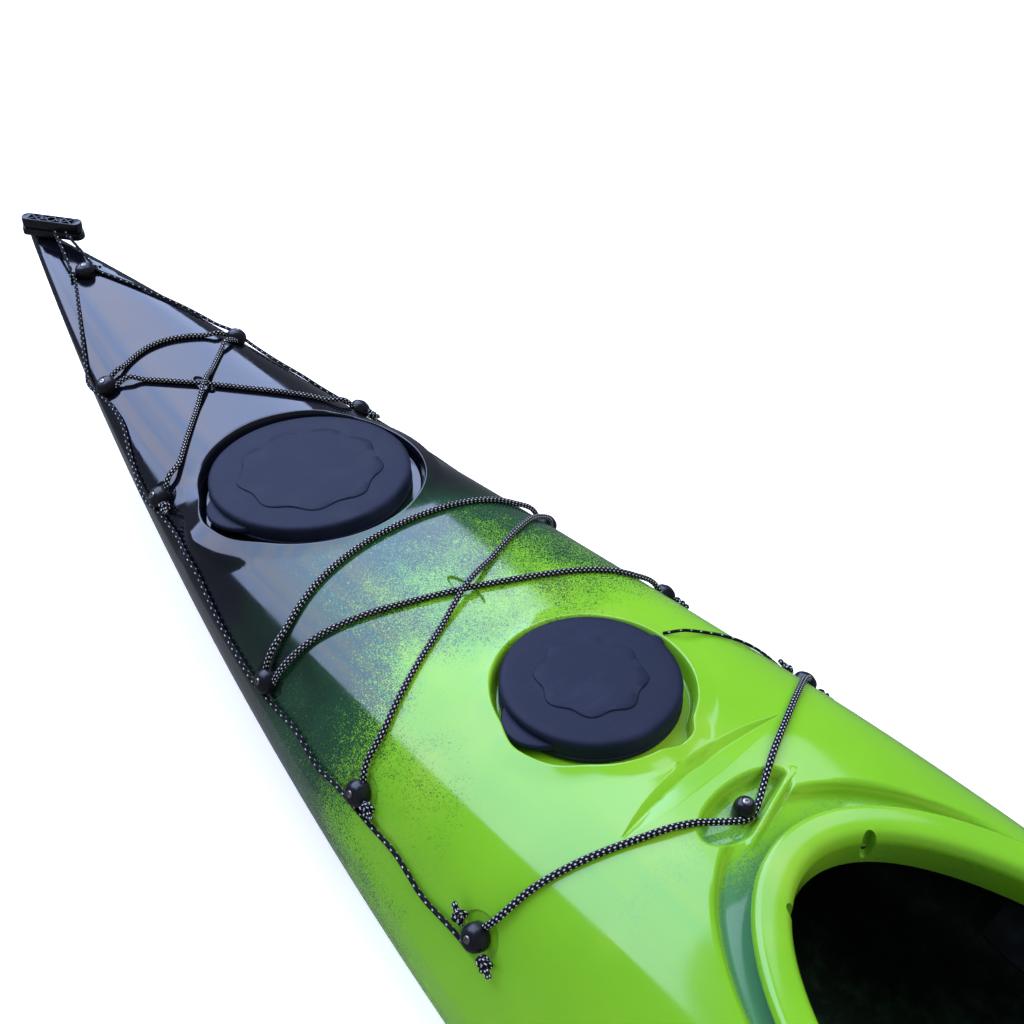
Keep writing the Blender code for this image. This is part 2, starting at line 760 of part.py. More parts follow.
def deck_run(start, end, diameter, count, bulge=0.0, lift=0.0):
    """Points between two places on the deck, closer near its steep edges, bulging forward in the middle."""
    points = []
    for k in range(1, count):
        t = k / count
        if abs(start[0]) < 0.5 * abs(end[0]):
            t = math.sin(0.5 * math.pi * t)
        elif abs(end[0]) < 0.5 * abs(start[0]):
            t = 1.0 - math.cos(0.5 * math.pi * t)
        elif start[0] * end[0] < 0.0:
            t = 0.5 - 0.5 * math.cos(math.pi * t)
        rise = math.sin(math.pi * t)
        x = start[0] + (end[0] - start[0]) * t
        y = start[1] + (end[1] - start[1]) * t + bulge * rise
        points.append(on_deck(x, y, diameter, lift * rise))
    return points


def wrap(sign, y, diameter, turns):
    """Points round the stem of a side fitting, at angles from outboard towards the bow."""
    reach = FITTING_STEM_RADIUS + diameter / 2.0 + WRAP_CLEARANCE
    return [
        by_fitting(sign, y, reach * math.cos(math.radians(a)), reach * math.sin(math.radians(a)), diameter)
        for a in turns
    ]


def crossed_bungee(name, front_y, back_y, cross_y, bulge):
    """A bungee from the starboard back fitting over the cross, round both front ones and back."""
    size = BUNGEE_DIAMETER
    front_x = side_fitting_x(front_y)
    back_x = side_fitting_x(back_y)
    stop = FITTING_STEM_RADIUS + size / 2.0 + GAP
    shoulder = DIMPLE_RADIUS + 0.008
    lift = DIMPLE_DEPTH + GAP
    cross = (0.0, cross_y)

    def half(sign, over):
        """From a back fitting over the cross to the front fitting of the other side."""
        run = [by_fitting(sign, back_y, -stop, 0.0, size), by_fitting(sign, back_y, -shoulder, 0.008, size, lift)]
        run += deck_run((sign * (back_x - 0.035), back_y + 0.010), cross, size, 5)
        run.append(on_deck(*cross, size, over))
        run += deck_run(cross, (-sign * (front_x - 0.035), front_y - 0.022), size, 5)
        run.append(by_fitting(-sign, front_y, -shoulder, -0.018, size, lift))
        return run

    front = deck_run((-front_x + 0.030, front_y + 0.012), (front_x - 0.030, front_y + 0.012), size, 9, bulge)
    points = half(1.0, 0.0) + wrap(-1.0, front_y, size, (-60, -20, 20, 60))
    points += [by_fitting(-1.0, front_y, -shoulder, 0.012, size, lift)] + front
    points += [by_fitting(1.0, front_y, -shoulder, 0.012, size, lift)]
    points += wrap(1.0, front_y, size, (60, 20, -20, -60)) + half(-1.0, size + 0.001)[::-1]
    cord(name, smooth_route(points), size)


def cockpit_bungee():
    """The V of bungee that passes behind the centre fitting."""
    size = BUNGEE_DIAMETER
    y = FORE_FITTING_Y[-1]
    stop = FITTING_STEM_RADIUS + size / 2.0 + GAP
    behind = -(FITTING_STEM_RADIUS + size / 2.0 + WRAP_CLEARANCE)
    low = CENTRE_STEM_HEIGHT - size / 2.0 - 0.001
    apex = [centre_matrix() @ Vector((x, behind + abs(x) / 4.0, low)) for x in (-0.012, 0.0, 0.012)]
    edge = (PIT_HALF_WIDTH + 0.005, CENTRE_FITTING_Y + 0.022)
    points = []
    for sign in (-1.0, 1.0):
        run = [by_fitting(sign, y, -stop, 0.0, size)]
        run.append(by_fitting(sign, y, -DIMPLE_RADIUS - 0.008, -0.012, size, DIMPLE_DEPTH + GAP))
        start = (sign * (side_fitting_x(y) - 0.035), y - 0.018)
        run += deck_run(start, (sign * edge[0], edge[1]), size, 5)
        run.append(on_deck(sign * edge[0], edge[1], size, 0.001))
        points += run if sign < 0.0 else apex + run[::-1]
    cord("cockpit_bungee", smooth_route(points), size)


def safety_line(name, sign, places, end_x, end_y):
    """A line from an end fitting along one side, outboard of each side fitting."""
    size = LINE_DIAMETER
    outboard = FITTING_STEM_RADIUS + WRAP_CLEARANCE + BUNGEE_DIAMETER + size / 2.0 + GAP
    beside = 0.5 * outboard
    away = math.copysign(DIMPLE_RADIUS + 0.008, places[0] - end_y)
    lift = DIMPLE_DEPTH + GAP
    points = [on_deck(sign * end_x, end_y, size)]
    before = (sign * end_x, end_y)
    for y in places:
        points += deck_run(before, (sign * (side_fitting_x(y) + beside), y - 1.4 * away), size, 4)
        points.append(by_fitting(sign, y, outboard, -away, size, lift))
        points.append(by_fitting(sign, y, outboard, 0.0, size, lift))
        if y != places[-1]:
            points.append(by_fitting(sign, y, outboard, away, size, lift))
        before = (sign * (side_fitting_x(y) + beside), y + 1.4 * away)
    cord(name, smooth_route(points, 0.07), size)


def day_hatch_tether(hatch):
    """The thin cord from the day cover's small tab to the side fitting aft of it."""
    size = TETHER_DIAMETER
    lip = hatch.well_radius + WELL_LIP_WIDTH
    over = WELL_LIP_HEIGHT + size
    points = [
        hatch.matrix @ Vector((hatch.cover_radius + 0.013 + size, 0.0, TAB_HEIGHT + 0.006)),
        hatch.matrix @ Vector((hatch.well_radius, -0.004, over)),
        hatch.matrix @ Vector((lip + 0.004, -0.010, over)),
    ]
    points += [on_deck(x, y, size, 0.001) for x, y in ((0.172, 0.806), (0.197, 0.788), (0.220, 0.765))]
    y = FORE_FITTING_Y[-1]
    points.append(by_fitting(1.0, y, -0.004, DIMPLE_RADIUS + 0.008, size, DIMPLE_DEPTH + 0.002))
    points.append(by_fitting(1.0, y, 0.0, FITTING_RADIUS + size, size))
    cord("day_hatch_tether", smooth_route(points, 0.03), size)


# Carrying toggles


def make_toggle(name, sign, fitting_y, turn, aside):
    """A toggle bar and its two cords, which lift about an axis at the end fitting."""
    axis_z = deck_height(0.0, fitting_y) + TOGGLE_AXIS_HEIGHT
    frame = empty(f"{name}_pivot", Matrix.Translation((0.0, fitting_y, axis_z)))
    spots = [sign * min(abs(fitting_y) + TOGGLE_REACH + s * TOGGLE_WIDTH, HALF_LENGTH) for s in (-1.0, 0.0, 1.0)]
    rest = max(deck_height(0.0, y) for y in spots) + TOGGLE_CLEARANCE
    centre = Vector((aside, sign * TOGGLE_REACH, rest - axis_z + TOGGLE_THICKNESS / 2.0))
    block = box((TOGGLE_LENGTH, TOGGLE_WIDTH, TOGGLE_THICKNESS))
    bar = solid(name, block, black_plastic(), frame, Matrix.Translation(centre) @ Matrix.Rotation(turn, 4, "Z"))
    rounding = bar.modifiers.new("rounded_edges", "BEVEL")
    rounding.width = TOGGLE_ROUND
    rounding.segments = 2
    bore = disc(TOGGLE_HOLE_RADIUS, -TOGGLE_THICKNESS, TOGGLE_THICKNESS, 12)
    boolean(bar, cutter(f"{name}_hole", bore, frame, bar.matrix_basis), "DIFFERENCE")
    back = TOGGLE_WIDTH / 2.0 / abs(math.cos(turn)) + 0.004
    for side, x in (("port", -1.0), ("starboard", 1.0)):
        spread = x * TOGGLE_CORD_GAP
        start = Vector((x * TOGGLE_CORD_SPREAD, sign * 0.004, 0.0))
        end = Vector((aside + spread, sign * (TOGGLE_REACH - back) + spread * math.tan(turn), centre.z))
        middle = (start + end) / 2.0 + Vector((0.0, 0.0, 0.002))
        cord(f"{name}_cord_{side}", smooth_route([start, middle, end]), TOGGLE_CORD_DIAMETER, frame)


# Bulkheads


def make_bulkhead(name, y):
    """A foam wall that fills the hull's section, a little clear of the shell."""
    clear = WALL + BULKHEAD_CLEARANCE
    rings = [section(y + s * BULKHEAD_THICKNESS / 2.0, clear, *CAVITY_STEPS) for s in (-1.0, 1.0)]
    solid(name, stack(rings), foam_grey())


# Seat and outfitting

SEAT_OUTLINE = (
    (0.000, 0.000),
    (0.280, 0.005),
    (0.540, 0.025),
    (0.730, 0.080),
    (0.870, 0.210),
    (0.950, 0.420),
    (0.985, 0.700),
    (1.000, 1.000),
)


def seat_base():
    return WALL + SEAT_SHELL + 2.0 * GAP + 0.002


def seat_end_rise(y):
    """How far the pan's floor climbs at its back and front edges."""
    share = (y - SEAT_BACK_Y) / (SEAT_FRONT_Y - SEAT_BACK_Y)
    back = SEAT_BACK_RISE * max(0.0, (0.30 - share) / 0.30) ** 2
    front = SEAT_FRONT_RISE * max(0.0, (share - 0.70) / 0.30) ** 2
    return back + front


def seat_wing(y):
    """The share of the full wing height at y: full at the hips, low at the front."""
    share = (y - SEAT_BACK_Y) / (SEAT_FRONT_Y - SEAT_BACK_Y)
    return 0.30 + 0.70 * math.sin(math.pi * min(max(0.92 - 0.80 * share, 0.0), 1.0)) ** 0.8


def seat_height(x, y):
    widths = [SEAT_HALF_WIDTH * w for w, _ in SEAT_OUTLINE]
    heights = [SEAT_WING_HEIGHT * h * seat_wing(y) for _, h in SEAT_OUTLINE]
    return seat_base() + seat_end_rise(y) + float(np.interp(abs(x), widths, heights))


def seat_rows():
    return np.linspace(SEAT_BACK_Y, SEAT_FRONT_Y, 10)


def pan_top(x, y):
    """The height of the pan's own faces, straight from row to row."""
    rows = seat_rows()
    return float(np.interp(y, rows, [seat_height(x, row) for row in rows]))


def grid_skin(columns, rows, place):
    """A sheet of quads whose corners are place(column, row)."""
    bm = bmesh.new()
    verts = [[bm.verts.new(place(c, r)) for c in columns] for r in rows]
    for low, high in zip(verts, verts[1:]):
        for k in range(len(columns) - 1):
            bm.faces.new((low[k], low[k + 1], high[k + 1], high[k]))
    return bm


def cushion(columns, rows, low, high):
    """A closed pad between a lower and an upper surface that share their outline."""
    bm = bmesh.new()
    floor = [[bm.verts.new(low(c, r)) for c in columns] for r in rows]
    crown = [[bm.verts.new(high(c, r)) for c in columns] for r in rows]
    for r in range(len(rows) - 1):
        for c in range(len(columns) - 1):
            bm.faces.new((floor[r][c], floor[r + 1][c], floor[r + 1][c + 1], floor[r][c + 1]))
            bm.faces.new((crown[r][c], crown[r][c + 1], crown[r + 1][c + 1], crown[r + 1][c]))
    loop = [(0, c) for c in range(len(columns))] + [(r, len(columns) - 1) for r in range(1, len(rows))]
    loop += [(len(rows) - 1, c) for c in range(len(columns) - 2, -1, -1)]
    loop += [(r, 0) for r in range(len(rows) - 2, 0, -1)]
    for (r0, c0), (r1, c1) in zip(loop, loop[1:] + loop[:1]):
        bm.faces.new((floor[r0][c0], floor[r1][c1], crown[r1][c1], crown[r0][c0]))
    return bm


def make_seat():
    columns = [s * SEAT_HALF_WIDTH * w for s, w in [(-1, w) for w, _ in SEAT_OUTLINE[:0:-1]]]
    columns += [SEAT_HALF_WIDTH * w for w, _ in SEAT_OUTLINE]
    sheet = grid_skin(columns, seat_rows(), lambda x, y: (x, y, seat_height(x, y)))
    pan = solid("seat_pan", sheet, black_plastic(), sheet=True)
    shell = pan.modifiers.new("shell", "SOLIDIFY")
    shell.thickness = SEAT_SHELL
    shell.offset = -1.0
    shell.use_even_offset = True


def pad_crown(u, v):
    """1 in the middle of a pad, falling to its drawn-in edges."""
    return 0.45 + 0.55 * (max(0.0, 1.0 - abs(u) ** 3) * max(0.0, 1.0 - abs(v) ** 3)) ** 0.5


def channel(u, places, width=0.07):
    return max(math.exp(-(((u - place) / width) ** 2)) for place in places)


def make_seat_pad():
    back = SEAT_BACK_Y + PAD_MARGIN
    front = SEAT_FRONT_Y - PAD_MARGIN
    middle = (back + front) / 2.0
    half = (front - back) / 2.0
    columns = np.linspace(-1.0, 1.0, 15)
    rows = np.linspace(-1.0, 1.0, 10)

    def low(u, v):
        x = PAD_HALF_WIDTH * u
        y = middle + half * v
        return x, y, pan_top(x, y) + 3.0 * GAP

    def high(u, v):
        x, y, z = low(u, v)
        sink = PAD_CHANNEL_DEPTH * channel(u, (-0.45, 0.0, 0.45)) * (1.0 - abs(v) ** 6)
        return x, y, z + PAD_THICKNESS * pad_crown(u, v) - sink

    solid("seat_pad", cushion(columns, rows, low, high), pad_fabric())


def make_hip_pads():
    """A foam pad on the inner face of each seat wing."""
    for side, sign in (("port", -1.0), ("starboard", 1.0)):
        lift = seat_base() + 0.30 * SEAT_WING_HEIGHT
        columns = np.linspace(-1.0, 1.0, 9)
        rows = np.linspace(0.0, 1.0, 5)

        def face(u, v):
            y = HIP_PAD_Y + 0.5 * HIP_PAD_LENGTH * u
            z = lift + HIP_PAD_HEIGHT * v
            rise = (z - seat_base() - seat_end_rise(y)) / (SEAT_WING_HEIGHT * seat_wing(y))
            wing = float(np.interp(rise, [h for _, h in SEAT_OUTLINE], [w for w, _ in SEAT_OUTLINE]))
            return y, z, SEAT_HALF_WIDTH * wing - 0.0025

        def low(u, v):
            y, z, x = face(u, v)
            return sign * x, y, z

        def high(u, v):
            y, z, x = face(u, v)
            thickness = HIP_PAD_THICKNESS * pad_crown(u, 2.0 * v - 1.0)
            return sign * (x - thickness), y, z

        solid(f"hip_pad_{side}", cushion(columns, rows, low, high), foam_grey())


def band_pivot():
    return Vector((0.0, SEAT_BACK_Y - BAND_PIVOT_GAP - BAND_THICKNESS / 2.0, seat_height(0.0, SEAT_BACK_Y)))


def make_back_band():
    frame = empty("back_band_pivot", Matrix.Translation(band_pivot()))
    columns = np.linspace(-1.0, 1.0, 11)
    rows = np.linspace(0.0, 1.0, 9)
    foot = 0.006

    def back(u, v):
        width = BAND_HALF_WIDTH * (0.80 + 0.20 * math.sin(math.pi * min(v * 0.8 + 0.1, 1.0)))
        return width * u, BAND_BOW * u * u - BAND_THICKNESS / 2.0, foot + BAND_HEIGHT * v

    def front(u, v):
        x, y, z = back(u, v)
        sink = PAD_CHANNEL_DEPTH * channel(v, (0.35, 0.70), 0.06) * (1.0 - abs(u) ** 6)
        return x, y + BAND_THICKNESS * pad_crown(u, 2.0 * v - 1.0) - sink, z

    solid("back_band", cushion(columns, rows, back, front), pad_fabric(), frame)


def make_band_straps():
    """Webbing from each end of the back band to the coaming's underside."""
    pivot = band_pivot()
    for side, sign in (("port", -1.0), ("starboard", 1.0)):
        start = Vector((sign * (BAND_HALF_WIDTH + 0.006), pivot.y + 0.010, pivot.z + 0.55 * BAND_HEIGHT))
        anchor = coaming_matrix() @ Vector((sign * (COCKPIT_HALF_WIDTH + 0.020), -0.06, -COAMING_DEPTH))
        end = anchor - Vector((0.0, 0.0, STRAP_WIDTH / 2.0 + 0.002))
        bm = bmesh.new()
        rings = []
        for k in range(7):
            t = k / 6.0
            spot = start.lerp(end, t) + Vector((0.0, 0.0, -0.010 * math.sin(math.pi * t)))
            half = STRAP_WIDTH / 2.0
            thick = STRAP_THICKNESS / 2.0
            corners = ((-thick, -half), (thick, -half), (thick, half), (-thick, half))
            rings.append([bm.verts.new(spot + Vector((dx, 0.0, dz))) for dx, dz in corners])
        for low, high in zip(rings, rings[1:]):
            for k in range(4):
                after = (k + 1) % 4
                bm.faces.new((low[k], low[after], high[after], high[k]))
        bm.faces.new(rings[0])
        bm.faces.new(rings[-1])
        solid(f"back_band_strap_{side}", bm, pad_fabric())


def make_thigh_braces():
    """A curved plate under each front quarter of the coaming."""
    columns = np.linspace(0.0, 1.0, 5)
    rows = np.linspace(-1.0, 1.0, 8)
    reach = COCKPIT_HALF_LENGTH
    for side, sign in (("port", -1.0), ("starboard", 1.0)):

        def place(u, v):
            y = BRACE_Y - COCKPIT_Y + BRACE_LENGTH / 2.0 * v
            inner = COCKPIT_HALF_WIDTH * math.sqrt(1.0 - (y / reach) ** 2)
            taper = 1.0 - 0.35 * v * v
            x = inner + COAMING_WEB - BRACE_WIDTH * u * taper
            z = -COAMING_DEPTH - 2.0 * GAP - BRACE_DROP * u * u
            return coaming_matrix() @ Vector((sign * x, y, z))

        plate = solid(f"thigh_brace_{side}", grid_skin(columns, rows, place), black_plastic(), sheet=True)
        shell = plate.modifiers.new("thickness", "SOLIDIFY")
        shell.thickness = BRACE_THICKNESS
        shell.offset = -1.0 if sign < 0 else 1.0
        shell.use_even_offset = True


# Foot braces


def inner_half_width(y, low, high):
    """The least half width of the shell's inside at y, between two heights."""
    points = [(abs(p.x), p.z) for p in section(y, WALL, *CAVITY_STEPS)]
    half = sorted((z, x) for x, z in points[: len(points) // 2 + 1] if x >= KEEL_HALF_WIDTH)
    heights = np.linspace(low, high, 5)
    return float(min(np.interp(heights, [z for z, _ in half], [x for _, x in half])))


def rail_frame(sign):
    """On the hull's inner wall, turned to lie along it."""
    half = RAIL_HEIGHT / 2.0
    spots = (RAIL_Y - RAIL_LENGTH / 2.0, RAIL_Y + RAIL_LENGTH / 2.0)
    ends = [inner_half_width(y, RAIL_Z - half, RAIL_Z + half) for y in spots]
    slope = math.atan2(ends[0] - ends[1], RAIL_LENGTH)
    x = (ends[0] + ends[1]) / 2.0 - RAIL_WALL_GAP
    turn = Matrix.Rotation(sign * slope, 4, "Z")
    return Matrix.Translation((sign * x, RAIL_Y, RAIL_Z)) @ turn


def rail_profile(sign):
    """A C channel that opens inboard, with its lips holding the carriage."""
    half = RAIL_HEIGHT / 2.0
    lip = half - 0.007
    wall = RAIL_WALL
    depth = RAIL_DEPTH
    points = [
        (0.0, -half),
        (0.0, half),
        (-depth, half),
        (-depth, lip),
        (-depth + wall, lip),
        (-depth + wall, half - wall),
        (-wall, half - wall),
        (-wall, -half + wall),
        (-depth + wall, -half + wall),
        (-depth + wall, -lip),
        (-depth, -lip),
        (-depth, -half),
    ]
    return [(sign * x, z) for x, z in points]


def make_foot_braces():
    """A rail on each side and a pedal that slides in it."""
    for side, sign in (("port", -1.0), ("starboard", 1.0)):
        frame = empty(f"foot_brace_frame_{side}", rail_frame(sign))
        half = RAIL_LENGTH / 2.0
        rings = [[(x, y, z) for x, z in rail_profile(sign)] for y in (-half, half)]
        solid(f"foot_brace_rail_{side}", stack(rings), aluminium(), frame)
        inside = RAIL_DEPTH - 2.0 * RAIL_WALL - 2.0 * GAP
        block = box(
            (inside, CARRIAGE_LENGTH, RAIL_HEIGHT - 2.0 * RAIL_WALL - 0.001),
            (-sign * (RAIL_WALL + GAP + inside / 2.0), 0.0, 0.0),
        )
        pedal = solid(f"foot_pedal_{side}", block, black_plastic(), frame)
        neck_length = 0.030
        neck = box((neck_length, 0.030, 0.012), (-sign * (RAIL_DEPTH - 0.004 + neck_length / 2.0), 0.0, 0.0))
        lean = Matrix.Rotation(-PEDAL_SLOPE, 4, "X")
        plate_x = -sign * (RAIL_DEPTH + 0.012 + PEDAL_WIDTH / 2.0)
        plate = box((PEDAL_WIDTH, PEDAL_THICKNESS, PEDAL_HEIGHT), (plate_x, -0.010, 0.030), lean)
        boolean(pedal, cutter(f"pedal_neck_{side}", neck, frame), "UNION")
        boolean(pedal, cutter(f"pedal_plate_{side}", plate, frame), "UNION")


def build():
    for old in list(bpy.data.objects):
        bpy.data.objects.remove(old)
    bow = Hatch("bow", BOW_HATCH_Y, BOW_HATCH_TOP, BOW_HATCH_PITCH, BOW_COVER_RADIUS)
    day = Hatch("day", DAY_HATCH_Y, DAY_HATCH_TOP, DAY_HATCH_PITCH, DAY_COVER_RADIUS)
    stern = Hatch("stern", STERN_HATCH_Y, STERN_HATCH_TOP, STERN_HATCH_PITCH, BOW_COVER_RADIUS)
    make_hull((bow, day, stern))
    for hatch in (bow, day, stern):
        make_hatch_rim(hatch)
        make_hatch_cover(hatch, tether_tab=hatch is day)
    make_pod(day)
    make_fittings()
    crossed_bungee("bow_bungee", FORE_FITTING_Y[0], FORE_FITTING_Y[1], BOW_CROSS_Y, BOW_BUNGEE_BULGE)
    crossed_bungee("mid_bungee", FORE_FITTING_Y[2], FORE_FITTING_Y[3], MID_CROSS_Y, MID_BUNGEE_BULGE)
    crossed_bungee("aft_bungee", AFT_FITTING_Y[0], AFT_FITTING_Y[1], AFT_CROSS_Y, AFT_BUNGEE_BULGE)
    cockpit_bungee()
    for side, sign in (("port", -1.0), ("starboard", 1.0)):
        end_x = FITTING_RADIUS + LINE_DIAMETER
        safety_line(f"{side}_fore_line", sign, FORE_FITTING_Y, end_x, BOW_FITTING_Y - 0.006)
        safety_line(f"{side}_aft_line", sign, AFT_FITTING_Y[::-1], end_x, STERN_FITTING_Y + 0.006)
    day_hatch_tether(day)
    make_toggle("bow_toggle", 1.0, BOW_FITTING_Y, BOW_TOGGLE_TURN, BOW_TOGGLE_ASIDE)
    make_toggle("stern_toggle", -1.0, STERN_FITTING_Y, 0.0, 0.0)
    make_bulkhead("bow_bulkhead", BOW_BULKHEAD_Y)
    make_bulkhead("stern_bulkhead", STERN_BULKHEAD_Y)
    make_seat()
    make_seat_pad()
    make_hip_pads()
    make_back_band()
    make_band_straps()
    make_thigh_braces()
    make_foot_braces()
    bpy.context.view_layer.update()


build()
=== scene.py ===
"""Looks of a sit-in touring kayak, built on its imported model.

Metres. Bow along +Y, starboard along +X, up along +Z, with the origin on the keel at mid length.
"""

import logging
import math
from dataclasses import dataclass, field
from enum import Enum
from typing import Callable, Sequence

import bmesh
import bpy
import numpy as np
from mathutils import Matrix, Vector
from mathutils.bvhtree import BVHTree
from mathutils.geometry import delaunay_2d_cdt
from mathutils.kdtree import KDTree


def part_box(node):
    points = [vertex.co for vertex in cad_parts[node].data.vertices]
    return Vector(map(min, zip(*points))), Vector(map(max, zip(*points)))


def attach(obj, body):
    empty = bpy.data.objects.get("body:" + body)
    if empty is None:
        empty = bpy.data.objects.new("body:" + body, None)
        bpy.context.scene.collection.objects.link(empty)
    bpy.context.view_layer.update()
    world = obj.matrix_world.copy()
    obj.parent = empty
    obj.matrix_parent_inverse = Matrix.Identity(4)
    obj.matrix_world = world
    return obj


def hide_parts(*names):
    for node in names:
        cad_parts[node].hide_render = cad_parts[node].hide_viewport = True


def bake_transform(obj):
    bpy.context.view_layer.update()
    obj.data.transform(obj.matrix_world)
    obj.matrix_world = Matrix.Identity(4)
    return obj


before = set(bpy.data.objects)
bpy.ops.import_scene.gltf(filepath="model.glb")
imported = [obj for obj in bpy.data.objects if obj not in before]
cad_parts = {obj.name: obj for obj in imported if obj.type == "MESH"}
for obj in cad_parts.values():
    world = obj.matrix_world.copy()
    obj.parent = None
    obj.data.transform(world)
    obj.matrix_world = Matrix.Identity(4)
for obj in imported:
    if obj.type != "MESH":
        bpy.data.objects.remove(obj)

LOG = logging.getLogger("kayak")
GAP = 0.0003
AXIS_RADIUS = 0.00001
QUARTER = math.radians(90.0)
TIP_REACH = 0.45, 0.75
TIP_SIZE = 0.80, 0.35
SEAM_DEPTH = 0.0065

Array = np.ndarray
Material = bpy.types.Material
Piece = bpy.types.Object
Socket = bpy.types.NodeSocket
Point = tuple[float, float]
Triple = tuple[float, float, float]
Surface = Callable[[float, float], Sequence[float]]


class Slot(Enum):
    """The record's material slots."""

    SHELL = "shell"
    BLACK_PLASTIC = "black_plastic"
    SEAT_PLASTIC = "seat_plastic"
    COVER_RUBBER = "cover_rubber"
    CORD = "cord"
    FOAM = "foam"
    PAD = "pad"
    ALUMINIUM = "aluminium"


class Body(Enum):
    """The bodies that pieces ride on."""

    HULL = "hull"
    BOW_COVER = "bow_cover"
    DAY_COVER = "day_cover"
    STERN_COVER = "stern_cover"
    BOW_HANDLE = "bow_handle"
    STERN_HANDLE = "stern_handle"
    BACK_REST = "back_rest"
    PORT_PEDAL = "port_pedal"
    STARBOARD_PEDAL = "starboard_pedal"


class Side(Enum):
    """Port and starboard, with the sign of X on each."""

    PORT = -1.0
    STARBOARD = 1.0

    @property
    def word(self) -> str:
        """The side's name as node names spell it."""
        return self.name.lower()


# Finishes


class Shader:
    """A material in the making, with a short call for each kind of node."""

    def __init__(self, name: str) -> None:
        """Starts a material.

        Args:
            name: The material's name.
        """
        self.material = bpy.data.materials.new(name)
        self.material.use_nodes = True
        self.nodes = self.material.node_tree.nodes
        self.links = self.material.node_tree.links
        self.surface = self.nodes["Principled BSDF"]
        self.place = self.nodes.new("ShaderNodeTexCoord")
        self.spot = self.mapped()

    def put(self, node: bpy.types.Node, socket: str | int, value: object) -> None:
        """Links or sets one input.

        Args:
            node: The node whose input it is.
            socket: The input's name or number.
            value: Another node's output, or a number or colour.
        """
        if isinstance(value, Socket):
            self.links.new(value, node.inputs[socket])
        else:
            node.inputs[socket].default_value = value

    def add(self, kind: str, inputs: dict[str | int, object], **settings: object) -> bpy.types.Node:
        """Adds a node.

        Args:
            kind: The node's type, as it stands after ShaderNode.
            inputs: Outputs, numbers or colours for its sockets.
            settings: Its settings by name.

        Returns:
            The node.
        """
        node = self.nodes.new(f"ShaderNode{kind}")
        for name, value in settings.items():
            setattr(node, name, value)
        for socket, value in inputs.items():
            self.put(node, socket, value)
        return node

    def mapped(self, scale: Sequence[float] = (1.0, 1.0, 1.0), where: str = "Object") -> Socket:
        """Coordinates of a kind, Object or UV, stretched by a scale along X, Y and Z."""
        return self.add("Mapping", {"Vector": self.place.outputs[where], "Scale": scale}).outputs["Vector"]

    def attribute(self, name: str) -> Socket:
        """The value of a mesh attribute, 0 where a mesh has none."""
        return self.add("Attribute", {}, attribute_name=name).outputs["Fac"]

    def axes(self, vector: Socket) -> list[Socket]:
        """The three numbers of a vector."""
        return list(self.add("SeparateXYZ", {"Vector": vector}).outputs)

    def noise(self, scale: float, detail: float, roughness: float, vector: Socket | None = None) -> Socket:
        """Cloudy noise.

        Args:
            scale: Lumps in a metre.
            detail: How many finer layers lie over it.
            roughness: How strong those layers are.
            vector: Where it is read, if not at the plain coordinates.

        Returns:
            The factor output.
        """
        where = self.spot if vector is None else vector
        inputs = {"Vector": where, "Scale": scale, "Detail": detail, "Roughness": roughness}
        return self.add("TexNoise", inputs).outputs["Fac"]

    def cells(self, scale: float) -> Socket:
        """The distance to the nearest of scattered points, so many in a metre."""
        return self.add("TexVoronoi", {"Vector": self.spot, "Scale": scale}).outputs["Distance"]

    def math(self, how: str, first: object, second: object = 0.0) -> Socket:
        """One step of arithmetic on two outputs or numbers."""
        return self.add("Math", {0: first, 1: second}, operation=how).outputs[0]

    def times(self, first: object, second: object) -> Socket:
        """Two values multiplied."""
        return self.math("MULTIPLY", first, second)

    def plus(self, first: object, second: object) -> Socket:
        """Two values added."""
        return self.math("ADD", first, second)

    def spread(self, value: object, low: float, high: float, to_low: float = 0.0, to_high: float = 1.0
               ) -> Socket:
        """Eases a value from the range low to high into the range to_low to to_high, and holds it there."""
        inputs = {"Value": value, "From Min": low, "From Max": high, "To Min": to_low, "To Max": to_high}
        return self.add("MapRange", inputs, interpolation_type="SMOOTHSTEP").outputs["Result"]

    def blend(self, share: object, first: object, second: object) -> Socket:
        """Mixes two colours, each an output or plain, by the share of the second."""
        given = [colour if isinstance(colour, Socket) else (*colour, 1.0) for colour in (first, second)]
        return self.add("Mix", {0: share, 6: given[0], 7: given[1]}, data_type="RGBA").outputs[2]

    def dent(self, height: Socket, depth: float, strength: float = 1.0) -> None:
        """Bumps the surface, over what it already has.

        Args:
            height: The height's output.
            depth: Metres between heights 0 and 1.
            strength: How much of the bump shows.
        """
        node = self.add("Bump", {"Strength": strength, "Distance": depth, "Height": height})
        normal = self.surface.inputs["Normal"]
        if normal.is_linked:
            self.links.new(normal.links[0].from_socket, node.inputs["Normal"])
        self.links.new(node.outputs["Normal"], normal)

    def set(self, **values: object) -> None:
        """Sets or links inputs of the surface, with _ for a space in their names."""
        for name, value in values.items():
            self.put(self.surface, name.replace("_", " "), value)


@dataclass(frozen=True)
class Finish:
    """A finish, made into one material."""

    name: str

    def make(self) -> Material:
        """Builds the material.

        Returns:
            The finished material.
        """
        shader = Shader(self.name)
        self.dress(shader)
        return shader.material

    def dress(self, shader: Shader) -> None:
        """Gives the material its nodes."""
        raise NotImplementedError


